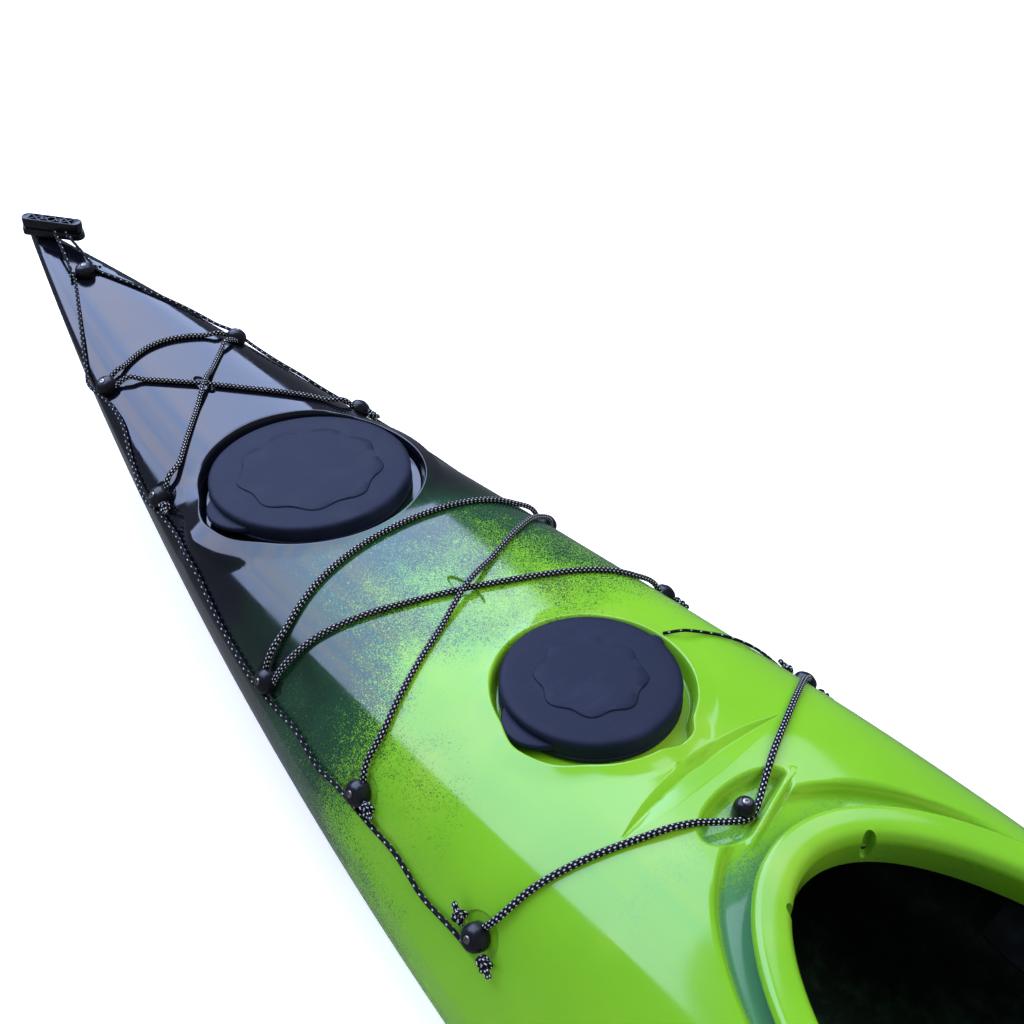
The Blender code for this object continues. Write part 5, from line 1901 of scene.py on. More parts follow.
@dataclass
class Hull:
    """The moulded hull with all that is pressed into its deck."""

    layout: Layout
    finishes: Finishes
    slots: tuple[Point, ...] = ((1.655, 0.027), (1.0455, 0.0345))
    slot_half_width: float = 0.0105
    slot_depth: float = 0.0036
    leaf_y: float = 0.6585
    web: float = 0.0075

    def pressings(self) -> list[Pressing]:
        """Everything pressed into the deck, in the order it is pressed.

        Returns:
            The pressings.
        """
        layout = self.layout
        made: list[Pressing] = [HatchWell(h.matrix, h.well, h.rim_outer + 2.0 * GAP, h.room)
                                for h in layout.hatches]
        width, length = (size + self.web for size in layout.cockpit)
        made.append(CockpitWell(layout.coaming, (width, length), layout.centre_y - layout.cockpit_y))
        made.append(LeafGroove(Matrix.Translation((0.0, self.leaf_y, 0.0))))
        made += [DeckSlot(layout.on_deck(0.0, y, 0.0), (self.slot_half_width, half), self.slot_depth)
                 for y, half in self.slots]
        made += [Dimple(matrix, layout.dimple_radius) for _, matrix in layout.side_fittings()]
        return made

    def build(self) -> BVHTree:
        """Builds the hull and dresses it.

        Returns:
            Its outer skin, for what lies on it.
        """
        skin = HullSkin(self.layout.form, self.pressings()).build()
        skin.data.materials.append(self.finishes.shell)
        skin.data.materials.append(self.finishes.inside)
        publish(skin, Body.HULL, None, Slot.SHELL, ["hull_shell"])
        corners = [vertex.co.copy() for vertex in skin.data.vertices]
        outside = [tuple(face.vertices) for face in skin.data.polygons if face.material_index == 0]
        return BVHTree.FromPolygons(corners, outside)


@dataclass
class Coaming:
    """The coaming: a lip and web swept round the cockpit, with a pocket at each front quarter."""

    layout: Layout
    finishes: Finishes
    pockets: tuple[Point, ...] = ((-0.061, 0.3765), (0.061, 0.3765))
    pocket_radius: float = 0.0075
    pocket_stretch: Triple = (1.05, 1.50, 3.5)
    pocket_depth: float = 0.0105
    profile: tuple[Triple, ...] = (
        (0.0, -0.045, 0.0015), (0.0015, -0.012, 0.004), (0.0085, 0.0, 0.009), (0.0390, 0.0, 0.0055),
        (0.0425, -0.0085, 0.003), (0.0395, -0.0130, 0.0015), (0.0150, -0.0150, 0.004), (0.012, -0.024, 0.003),
        (0.012, -0.045, 0.0015))

    def section(self) -> list[Point]:
        """The swept section with its corners rounded.

        Returns:
            Points as distance out from the opening and height.
        """
        points = [Vector((out, height)) for out, height, _ in self.profile]
        rounded: list[Point] = []
        for k, (_, _, radius) in enumerate(self.profile):
            corner, before, after = points[k], points[k - 1], points[(k + 1) % len(points)]
            start, end = (corner + (other - corner).normalized() * min(radius, 0.45 * (other - corner).length)
                          for other in (before, after))
            for step in range(5):
                t = step / 4.0
                spot = start * (1.0 - t) ** 2 + corner * 2.0 * t * (1.0 - t) + end * t * t
                rounded.append((spot.x, spot.y))
        return rounded

    def build(self) -> None:
        """Sweeps the section round the opening, cuts the pockets and dresses the piece."""
        Bench.clear()
        bpy.ops.curve.primitive_bezier_circle_add(radius=1.0)
        path = Bench.fresh("coaming")
        bpy.ops.object.mode_set(mode="EDIT")
        bpy.ops.curve.select_all(action="SELECT")
        bpy.ops.curve.handle_type_set(type="FREE_ALIGN")
        bpy.ops.transform.resize(value=(*self.layout.cockpit, 1.0))
        Bench.close()
        section = bpy.data.curves.new("coaming_section", "CURVE")
        line = section.splines.new("POLY")
        points = self.section()
        line.points.add(len(points) - 1)
        for spot, (out, height) in zip(line.points, points):
            spot.co = (-out, height, 0.0, 1.0)
        line.use_cyclic_u = True
        shape = linked("coaming_section", section)
        path.data.dimensions = "2D"
        path.data.fill_mode = "NONE"
        path.data.resolution_u = 44
        path.data.bevel_mode = "OBJECT"
        path.data.bevel_object = shape
        Bench.hold(path)
        bpy.ops.object.convert(target="MESH")
        piece = bpy.context.object
        bpy.data.objects.remove(shape)
        Bench.hold(piece)
        Bench.open("VERT")
        Bench.close_outwards(AXIS_RADIUS)
        for x, y in self.pockets:
            Bench.clear()
            bpy.ops.mesh.primitive_uv_sphere_add(segments=28, ring_count=18, radius=self.pocket_radius)
            Bench.open()
            bpy.ops.transform.resize(value=self.pocket_stretch)
            tool = Bench.close()
            half_width, half_length = self.layout.cockpit
            turn = math.atan2(x / half_width**2, y / half_length**2)
            tool.data.transform(turned_at((x, y, -self.pocket_depth), -turn, "Z"))
            Bench.carve(piece, tool)
        piece.data.transform(self.layout.coaming)
        publish(Bench.shade(piece, 40.0), Body.HULL, self.finishes.shell, Slot.SHELL)


@dataclass
class Hatch:
    """One round hatch: rim, rubber cover with its thumb tab, and the pod where it has one."""

    size: HatchSize
    finishes: Finishes
    skirt: float = 0.007
    top_wall: float = 0.005
    play: float = 0.003
    tab_height: float = 0.012
    tab_thickness: float = 0.008
    pod_depth: float = 0.130
    pod_wall: float = 0.0025
    segments: int = 128

    def rim(self) -> Piece:
        """The fixed ring that the cover presses on to, with a bead round its top.

        Returns:
            The ring.
        """
        s = self.size
        top = s.height - self.top_wall - self.play
        flange = s.radius - self.skirt - 0.002
        profile = [
            (s.rim_inner, -0.015), (s.rim_outer, -0.015), (s.rim_outer, GAP), (flange, GAP),
            (flange, s.flange - 0.0008), (flange - 0.0008, s.flange), (s.rim_outer + 0.002, s.flange),
            (s.rim_outer, s.flange + 0.002), (s.rim_outer, top - 0.006), (s.rim_outer + 0.0025, top - 0.004),
            (s.rim_outer + 0.0025, top - 0.0015), (s.rim_outer + 0.0012, top), (s.rim_inner + 0.001, top),
            (s.rim_inner, top - 0.001)]
        return Bench.turned(f"{s.name}_rim", profile, self.segments, ring=True)

    def cover(self) -> Piece:
        """The rubber cover with a wavy raised middle, a fine line round its skirt and its tabs.

        Returns:
            The cover.
        """
        s = self.size
        top = s.flange + s.height
        bottom = s.flange
        inner = s.radius - self.skirt
        band = top - 0.0018
        r = s.radius
        profile = [
            (0.0, top), (0.35 * s.wave, top), (s.wave - 0.012, top), (s.wave - 0.0006, top),
            (s.wave, top - 0.0004), (s.wave + 0.0004, band), (s.wave + 0.018, band),
            (r - 0.0085, band), (r - 0.0050, band - 0.0004), (r - 0.0024, band - 0.0014),
            (r - 0.0007, band - 0.0031), (r, band - 0.0055), (r, bottom + 0.0078),
            (r - 0.0007, bottom + 0.0072), (r - 0.0007, bottom + 0.0062), (r + 0.0008, bottom + 0.0052),
            (r + 0.0008, bottom + 0.0012), (r, bottom), (inner, bottom), (inner, top - self.top_wall),
            (0.0, top - self.top_wall)]
        piece = Bench.turned(f"{s.name}_cover", profile, self.segments)
        for vertex in piece.data.vertices:
            reach = math.hypot(vertex.co.x, vertex.co.y)
            if vertex.co.z < top - 0.0035 or not s.wave - 0.013 < reach < s.wave + 0.019:
                continue
            share = 1.0 - abs(reach - s.wave - 0.0005) / 0.020
            angle = math.atan2(vertex.co.y, vertex.co.x)
            grow = 1.0 + s.wave_depth * max(share, 0.0) * math.cos(s.lobes * angle) / reach
            vertex.co.x *= grow
            vertex.co.y *= grow
        reach = s.margin - 0.006
        lug = 0.30 * r + 0.012
        tabs = [(-(r + reach - lug), lug, 40)]
        if s.tether_tab:
            tabs.append((r + 0.001, 0.012, 24))
        for x, radius, segments in tabs:
            low, high = self.tab_height, self.tab_height + self.tab_thickness
            tab = Bench.turned("tab", [
                (0.0, low), (radius - 0.0015, low), (radius, low + 0.0015), (radius, high - 0.0025),
                (radius - 0.0008, high - 0.0009), (radius - 0.0025, high), (0.0, high)], segments)
            tab.data.transform(Matrix.Translation((x, 0.0, 0.0)))
            Bench.carve(tab, Bench.rod("core", inner + 0.001, 0.0, top - 0.002, 64))
            Bench.carve(piece, tab, "UNION")
        return piece

    def pod(self) -> Piece:
        """The tub that hangs in the day hatch's rim.

        Returns:
            The tub.
        """
        s = self.size
        outer = s.rim_inner - 0.001
        inner = outer - self.pod_wall
        lip = s.rim_outer - 0.001
        low = s.height - self.top_wall - self.play + GAP
        high = low + 0.002
        floor = high - self.pod_depth
        profile = [
            (0.0, floor), (outer * 0.80, floor), (outer * 0.90, floor + 0.003),
            (outer * 0.975, floor + 0.012), (outer - 0.0005, floor + 0.024), (outer, low), (lip, low),
            (lip, high - 0.0005), (lip - 0.0005, high), (inner + 0.001, high), (inner, high - 0.001),
            (inner - 0.0005, floor + 0.025), (outer * 0.95, floor + 0.014), (outer * 0.88, floor + 0.0055),
            (outer * 0.79, floor + self.pod_wall), (0.0, floor + self.pod_wall)]
        return Bench.turned("day_pod", profile, 80)

    def build(self) -> None:
        """Builds and dresses the hatch's pieces."""
        s = self.size
        pieces = [
            (self.rim(), Body.HULL, self.finishes.gloss_black, Slot.BLACK_PLASTIC, f"{s.name}_hatch_rim"),
            (self.cover(), s.body, self.finishes.rubber, Slot.COVER_RUBBER, f"{s.name}_hatch_cover")]
        if s.tether_tab:
            black = self.finishes.gloss_black
            pieces.append((self.pod(), Body.HULL, black, Slot.BLACK_PLASTIC, "day_hatch_pod"))
        for piece, body, look, slot, node in pieces:
            piece.data.transform(s.matrix)
            publish(Bench.shade(piece, 38.0), body, look, slot, [node])


@dataclass
class Fittings:
    """The domed deck fittings and the screws that hold them.

    A size is the dome's radius and the heights of its lower edge and crown.
    """

    layout: Layout
    finishes: Finishes
    side_size: Triple = (0.0155, 0.0090, 0.0205)
    centre_size: Triple = (0.0122, 0.0120, 0.0240)
    screw: float = 0.0046
    screw_turn: float = 0.7
    seat_depth: float = 0.0016

    def dome(self, name: str, radius: float, low: float, height: float) -> Piece:
        """A dome on its stem, with a dished seat for the screw.

        Args:
            name: The piece's name.
            radius: The dome's radius.
            low: The height of its lower edge.
            height: The height of its crown.

        Returns:
            The dome.
        """
        foot = 0.0006
        rise = height - low
        seat = self.screw + 0.0004
        profile = [(0.0, foot), (radius - 0.0008, foot), (radius, foot + 0.0008),
                   (radius + 0.0002, 0.5 * low)]
        for angle in range(0, 78, 11):
            turn = math.radians(angle)
            profile.append((radius * math.cos(turn) ** 0.8, low + rise * math.sin(turn)))
        dish = height - self.seat_depth
        profile += [(seat + 0.0006, height), (seat, height - 0.0003), (seat - 0.0002, dish), (0.0, dish)]
        return Bench.shade(Bench.turned(name, profile, 40), 50.0)

    def socket_screw(self) -> Piece:
        """A low round screw head with a six-sided socket.

        Returns:
            The screw, with its seat at height 0.
        """
        r = self.screw
        head = Bench.turned("socket_screw", [(0.0, 0.0), (r, 0.0), (r, 0.0010), (0.93 * r, 0.0015),
                                             (0.72 * r, 0.0020), (0.60 * r, 0.0021), (0.0, 0.0021)], 32)
        Bench.carve(head, Bench.rod("socket", 0.42 * r, 0.0007, 0.004, 6))
        return Bench.shade(head, 35.0)

    def screw_on(self, name: str, matrix: Matrix) -> None:
        """Makes a screw on the hull.

        Args:
            name: The screw's name.
            matrix: Its place, with Z out of its seat.
        """
        head = self.socket_screw()
        head.name = name
        head.data.transform(matrix)
        publish(head, Body.HULL, self.finishes.steel, Slot.ALUMINIUM)

    def build(self) -> None:
        """Builds one dome and one screw, and copies them to every place."""
        dome = self.dome("deck_dome", *self.side_size)
        small = self.dome("centre_dome", *self.centre_size)
        screw = self.socket_screw()
        places = [(node, matrix, dome, self.side_size[2]) for node, matrix in self.layout.side_fittings()]
        for node, y in (("bow_fitting", self.layout.end_y), ("stern_fitting", -self.layout.end_y)):
            places.append((node, self.layout.on_deck(0.0, y, 0.0), dome, self.side_size[2]))
        places.append(("centre_fitting", self.layout.centre, small, self.centre_size[2]))
        for number, (node, matrix, pattern, height) in enumerate(places):
            piece = Bench.copy(pattern, f"{node}_dome", matrix)
            publish(piece, Body.HULL, self.finishes.gloss_black, Slot.BLACK_PLASTIC, [node])
            seat = turned_at((0.0, 0.0, height - self.seat_depth), self.screw_turn * number, "Z")
            head = Bench.copy(screw, f"{node}_screw", matrix @ seat)
            publish(head, Body.HULL, self.finishes.steel, Slot.ALUMINIUM)
        for pattern in (dome, small, screw):
            bpy.data.objects.remove(pattern)


# Cords


def smooth_route(points: Sequence[Vector], spacing: float) -> list[Vector]:
    """Points along a smooth curve through a route's own points.

    Args:
        points: The route.
        spacing: About how far apart the new points are.

    Returns:
        The new points.
    """
    spots = [Vector(p) for p in points]
    spots = [2.0 * spots[0] - spots[1]] + spots + [2.0 * spots[-1] - spots[-2]]
    route = []
    for before, start, end, after in zip(spots, spots[1:], spots[2:], spots[3:]):
        count = max(1, round((end - start).length / spacing))
        for k in range(count):
            t = k / count
            route.append(0.5 * (2.0 * start + (end - before) * t
                                + (2.0 * before - 5.0 * start + 4.0 * end - after) * t * t
                                + (3.0 * start - before - 3.0 * end + after) * t**3))
    route.append(spots[-2])
    return route


def tube(name: str, route: Sequence[Vector], diameter: float, sides: int = 12) -> Piece:
    """A round cord on a route, with rounded ends and a UV map of turns and metres.

    Operators lose count of the length along a cord, which its flecks follow, so it is swept here.

    Args:
        name: The piece's name.
        route: The middle line's points.
        diameter: The cord's diameter.
        sides: Sides of the cord.

    Returns:
        The cord.
    """
    line = np.array([tuple(p) for p in route])
    radius = 0.5 * diameter
    tips = []
    for spot, away in ((line[0], line[0] - line[1]), (line[-1], line[-1] - line[-2])):
        way = away / np.linalg.norm(away)
        tips.append([spot + way * radius * reach for reach in TIP_REACH])
    line = np.concatenate([tips[0][::-1], line, tips[1]])
    scale = np.ones(len(line))
    scale[[1, -2]], scale[[0, -1]] = TIP_SIZE
    ways = np.gradient(line, axis=0)
    ways /= np.linalg.norm(ways, axis=1, keepdims=True)
    runs = np.concatenate([[0.0], np.cumsum(np.linalg.norm(np.diff(line, axis=0), axis=1))])
    side = np.cross(ways[0], (0.0, 0.0, 1.0))
    if np.linalg.norm(side) < 0.1:
        side = np.cross(ways[0], (1.0, 0.0, 0.0))
    points = []
    for way, spot, size in zip(ways, line, scale):
        side = side - way * float(side @ way)
        side /= np.linalg.norm(side)
        up = np.cross(way, side)
        turns = np.arange(sides) * 2.0 * math.pi / sides
        points.append(spot + radius * size * (np.outer(np.cos(turns), side) + np.outer(np.sin(turns), up)))
    rings = len(points)
    points = np.concatenate(points)
    faces, marks = [], []
    for ring in range(rings - 1):
        for k in range(sides):
            after = (k + 1) % sides
            low, high = ring * sides, (ring + 1) * sides
            faces.append((low + k, low + after, high + after, high + k))
            left, right = k / sides, (k + 1) / sides
            start, end = runs[ring], runs[ring + 1]
            marks += [(left, start), (right, start), (right, end), (left, end)]
    faces.append(tuple(reversed(range(sides))))
    faces.append(tuple(range((rings - 1) * sides, rings * sides)))
    marks += [(0.5, 0.0)] * sides + [(0.5, runs[-1])] * sides
    piece = from_arrays(name, points, faces)
    layer = piece.data.uv_layers.new(name="run")
    layer.data.foreach_set("uv", np.array(marks, float).ravel())
    return piece


@dataclass
class DeckLines:
    """The bungees, safety lines and tether, on the same routes as their solids."""

    layout: Layout
    finishes: Finishes
    skin: BVHTree
    bungee: float = 0.0075
    line: float = 0.0055
    tether: float = 0.0040
    stem: float = 0.0055
    seat: float = 0.0004
    clearance: float = 0.0010
    shoulder: float = 0.034
    spacing: float = 0.007
    bow_cross: Point = (1.652, 0.030)
    mid_cross: Point = (1.043, 0.045)
    aft_cross: Point = (-0.710, 0.0)
    tether_route: tuple[Point, ...] = ((0.172, 0.806), (0.197, 0.788), (0.220, 0.765))

    def rest(self, route: Sequence[Vector], size: float) -> list[Vector]:
        """Lifts a route wherever its cord would sink into the shell.

        Args:
            route: The route.
            size: The cord's diameter.

        Returns:
            The route clear of the shell.
        """
        clear = 0.5 * size + 0.0002
        found = [spot.copy() for spot in route]
        for turn in range(3):
            for k, spot in enumerate(found):
                near, normal, _, _ = self.skin.find_nearest(spot)
                depth = (spot - near).dot(normal)
                if depth < clear and (spot - near).length < 0.02:
                    found[k] = spot + normal * (clear - depth)
            if turn < 2:
                smooth = [found[0]]
                smooth += [b * 0.5 + (a + c) * 0.25 for a, b, c in zip(found, found[1:], found[2:])]
                found = smooth + [found[-1]]
        return found

    def deck_spot(self, x: float, y: float, size: float, lift: float = 0.0) -> Vector:
        """A cord's middle over the deck.

        Args:
            x: The place across.
            y: The place along.
            size: The cord's diameter.
            lift: How far it is raised.

        Returns:
            The point.
        """
        form = self.layout.form
        x = math.copysign(min(abs(x), 0.98 * float(form.beam(y))), x)
        normal = form.deck_normal(x, y)
        return Vector((x, y, form.deck_height(x, y))) + normal * (size / 2.0 + self.seat + lift)

    def by_fitting(self, side: float, y: float, out: float, fore: float, size: float,
                   lift: float = 0.0) -> Vector:
        """A cord's middle, so far outboard and forward of a side fitting, and raised by lift."""
        return self.layout.beside(side, y) @ Vector((side * out, fore, size / 2.0 + GAP + lift))

    def run(self, start: Point, end: Point, size: float, count: int, bulge: float = 0.0) -> list[Vector]:
        """Points between two places on the deck, closer near its steep edges.

        Args:
            start: The first place.
            end: The last place.
            size: The cord's diameter.
            count: The number of steps.
            bulge: How far the middle bows forward.

        Returns:
            The points between, without the ends.
        """
        points = []
        for k in range(1, count):
            t = k / count
            if abs(start[0]) < 0.5 * abs(end[0]):
                t = math.sin(0.5 * math.pi * t)
            elif abs(end[0]) < 0.5 * abs(start[0]):
                t = 1.0 - math.cos(0.5 * math.pi * t)
            elif start[0] * end[0] < 0.0:
                t = 0.5 - 0.5 * math.cos(math.pi * t)
            x = start[0] + (end[0] - start[0]) * t
            y = start[1] + (end[1] - start[1]) * t + bulge * math.sin(math.pi * t)
            points.append(self.deck_spot(x, y, size))
        return points

    def wrap(self, side: float, y: float, turns: Sequence[float]) -> list[Vector]:
        """Points of a bungee round a fitting's stem.

        Args:
            side: The side's sign.
            y: The fitting's place.
            turns: Angles in degrees from outboard towards the bow.

        Returns:
            The points.
        """
        reach = self.stem + self.bungee / 2.0 + self.clearance
        return [self.by_fitting(side, y, reach * math.cos(math.radians(a)), reach * math.sin(math.radians(a)),
                                self.bungee) for a in turns]

    def crossed(self, name: str, front_y: float, back_y: float, cross: Point) -> None:
        """A bungee from one back fitting over the cross, round both front ones and back.

        Args:
            name: The node it stands for.
            front_y: The front fittings' place.
            back_y: The back fittings' place.
            cross: The place of the cross, and how far the front run bows forward.
        """
        size = self.bungee
        front_x, back_x = self.layout.fitting_x(front_y), self.layout.fitting_x(back_y)
        stop = self.stem + size / 2.0 + GAP
        lift = self.layout.dimple_depth + GAP
        middle = (0.0, cross[0])

        def half(side: float, over: float) -> list[Vector]:
            """From a back fitting over the cross to the other side's front fitting.

            Args:
                side: The back fitting's side.
                over: How far the cord is raised at the cross.

            Returns:
                The points.
            """
            path = [self.by_fitting(side, back_y, -stop, 0.0, size),
                    self.by_fitting(side, back_y, -self.shoulder, 0.008, size, lift)]
            path += self.run((side * (back_x - 0.035), back_y + 0.010), middle, size, 5)
            path.append(self.deck_spot(*middle, size, over))
            path += self.run(middle, (-side * (front_x - 0.035), front_y - 0.022), size, 5)
            path.append(self.by_fitting(-side, front_y, -self.shoulder, -0.018, size, lift))
            return path

        arc = front_x - 0.030, front_y + 0.012
        front = self.run((-arc[0], arc[1]), arc, size, 9, cross[1])
        points = half(1.0, 0.0) + self.wrap(-1.0, front_y, (-60, -20, 20, 60))
        points += [self.by_fitting(-1.0, front_y, -self.shoulder, 0.012, size, lift)] + front
        points += [self.by_fitting(1.0, front_y, -self.shoulder, 0.012, size, lift)]
        points += self.wrap(1.0, front_y, (60, 20, -20, -60)) + half(-1.0, size + 0.001)[::-1]
        self.lay(name, points, size, self.finishes.bungee)

    def lay(self, name: str, points: Sequence[Vector], size: float, look: Material) -> None:
        """Makes one cord of its route, size and finish, and dresses it in place of its node."""
        piece = tube(f"{name}_cord", self.rest(smooth_route(points, self.spacing), size), size)
        publish(piece, Body.HULL, look, Slot.CORD, [name])

    def cockpit_bungee(self) -> None:
        """The V of bungee that passes behind the fitting in the pit."""
        size = self.bungee
        y = self.layout.fore_y[-1]
        stop = self.stem + size / 2.0 + GAP
        behind = -(self.stem + size / 2.0 + self.clearance)
        low = 0.0130 - size / 2.0 - 0.001
        apex = [self.layout.centre @ Vector((x, behind + abs(x) / 4.0, low)) for x in (-0.012, 0.0, 0.012)]
        edge = (0.070, self.layout.centre_y + 0.022)
        points: list[Vector] = []
        for side in (-1.0, 1.0):
            path = [self.by_fitting(side, y, -stop, 0.0, size),
                    self.by_fitting(side, y, -self.shoulder, -0.012, size, self.layout.dimple_depth + GAP)]
            start = (side * (self.layout.fitting_x(y) - 0.035), y - 0.018)
            path += self.run(start, (side * edge[0], edge[1]), size, 5)
            path.append(self.deck_spot(side * edge[0], edge[1], size, 0.001))
            points += path if side < 0.0 else apex + path[::-1]
        self.lay("cockpit_bungee", points, size, self.finishes.bungee)

    def safety_line(self, side: Side, run: str, places: Sequence[float], end_y: float) -> None:
        """A line from an end fitting along one side, outboard of each side fitting.

        Args:
            side: The side.
            run: fore or aft, as in the node's name.
            places: The side fittings' places from the end.
            end_y: Where the line starts.
        """
        size = self.line
        outboard = self.stem + self.clearance + self.bungee + size / 2.0 + GAP
        beside = 0.5 * outboard
        away = math.copysign(self.shoulder, places[0] - end_y)
        lift = self.layout.dimple_depth + GAP
        sign = side.value
        end_x = 0.0155 + size
        points = [self.deck_spot(sign * end_x, end_y, size)]
        before = (sign * end_x, end_y)
        for y in places:
            x = sign * (self.layout.fitting_x(y) + beside)
            points += self.run(before, (x, y - 1.4 * away), size, 4)
            points.append(self.by_fitting(sign, y, outboard, -away, size, lift))
            points.append(self.by_fitting(sign, y, outboard, 0.0, size, lift))
            if y != places[-1]:
                points.append(self.by_fitting(sign, y, outboard, away, size, lift))
            before = (x, y + 1.4 * away)
        self.lay(f"{side.word}_{run}_line", points, size, self.finishes.line)

    def hatch_tether(self) -> None:
        """The thin cord from the day cover's small tab to the side fitting aft of it."""
        size = self.tether
        hatch = self.layout.day
        well = hatch.radius + hatch.margin
        over = 0.017 + size
        points = [hatch.matrix @ Vector((hatch.radius + 0.013 + size, 0.0, 0.018)),
                  hatch.matrix @ Vector((well, -0.004, over)),
                  hatch.matrix @ Vector((well + 0.014, -0.010, over))]
        points += [self.deck_spot(x, y, size, 0.001) for x, y in self.tether_route]
        y = self.layout.fore_y[-1]
        points.append(self.by_fitting(1.0, y, -0.004, self.shoulder, size, self.layout.dimple_depth + 0.002))
        points.append(self.by_fitting(1.0, y, 0.0, 0.0155 + size, size))
        self.lay("day_hatch_tether", points, size, self.finishes.thin_cord)

    def knot(self, name: str, centre: Vector, out: Vector, size: float, look: Material,
             tail: Vector) -> None:
        """A tight overhand knot with a short tail.

        Args:
            name: The piece's name.
            centre: The knot's middle.
            out: Away from the deck.
            size: The cord's diameter.
            look: Its finish.
            tail: Where the tail points, as long as the tail.
        """
        up = out.normalized()
        side = tail.cross(up).normalized()
        fore = up.cross(side)
        points = []
        reach = 0.62 * size
        for k in range(19):
            t = 2.0 * math.pi * k / 20.0 + 0.6
            x = math.sin(t) + 2.0 * math.sin(2.0 * t)
            y = math.cos(t) - 2.0 * math.cos(2.0 * t)
            z = -1.15 * math.sin(3.0 * t)
            points.append(centre + (side * x + fore * y) * reach * 0.5 + up * z * reach * 0.75)
        way = tail.normalized()
        points.append(points[-1] + way * size * 0.9 + up * 0.1 * size)
        for _ in range(2):
            points.append(points[-1] + tail * 0.5)
        nearest = [self.skin.find_nearest(spot)[:2] for spot in points]
        low = min((spot - near).dot(normal) for spot, (near, normal) in zip(points, nearest))
        raised = [spot + up * max(0.0, 0.5 * size - low) for spot in points]
        publish(tube(name, smooth_route(raised, 0.0022), size * 0.96), Body.HULL, look, Slot.CORD)

    def knots(self) -> None:
        """Knots where the cockpit bungee, the safety lines and the tether end."""
        layout = self.layout
        fore, aft = layout.fore_y, layout.aft_y
        thick = self.bungee * 0.9, self.finishes.bungee
        line = self.line, self.finishes.line
        thin = self.line * 0.9, self.finishes.thin_cord
        cross = (0.003, -0.023, 0.0065), (0.002, -0.008, 0.001), thick
        end = (0.0195, 0.001, 0.0050), (0.005, -0.002, 0.001), thin
        kinds = [("bungee", fore[-1], (-0.004, 0.026, 0.0075), (-0.006, 0.008, 0.001), thick),
                 ("line", fore[-1], (0.012, -0.024, 0.0065), (0.003, -0.009, 0.001), thick),
                 ("aft_line", aft[0], (0.012, 0.024, 0.0055), (0.003, 0.009, 0.001), line),
                 ("bow_cross", fore[1], *cross), ("mid_cross", fore[3], *cross),
                 ("stern_cross", aft[1], *cross), ("bow_end", layout.end_y, *end),
                 ("stern_end", -layout.end_y, *end)]
        for side in Side:
            for word, y, centre, tail, (size, look) in kinds:
                at_end = abs(y) == layout.end_y
                matrix = layout.on_deck(0.0, y, 0.0) if at_end else layout.beside(side.value, y)
                turn = matrix.to_3x3()
                up = turn @ Vector((0.0, 0.0, 1.0))
                spot, way = (Vector((side.value * part[0], *part[1:])) for part in (centre, tail))
                self.knot(f"{side.word}_{word}_knot", matrix @ spot, up, size, look, turn @ way)

    def build(self) -> None:
        """Lays every deck cord."""
        fore, aft = self.layout.fore_y, self.layout.aft_y
        self.crossed("bow_bungee", fore[0], fore[1], self.bow_cross)
        self.crossed("mid_bungee", fore[2], fore[3], self.mid_cross)
        self.crossed("aft_bungee", aft[0], aft[1], self.aft_cross)
        self.cockpit_bungee()
        for side in Side:
            self.safety_line(side, "fore", fore, self.layout.end_y - 0.006)
            self.safety_line(side, "aft", aft[::-1], -self.layout.end_y + 0.006)
        self.hatch_tether()
        self.knots()


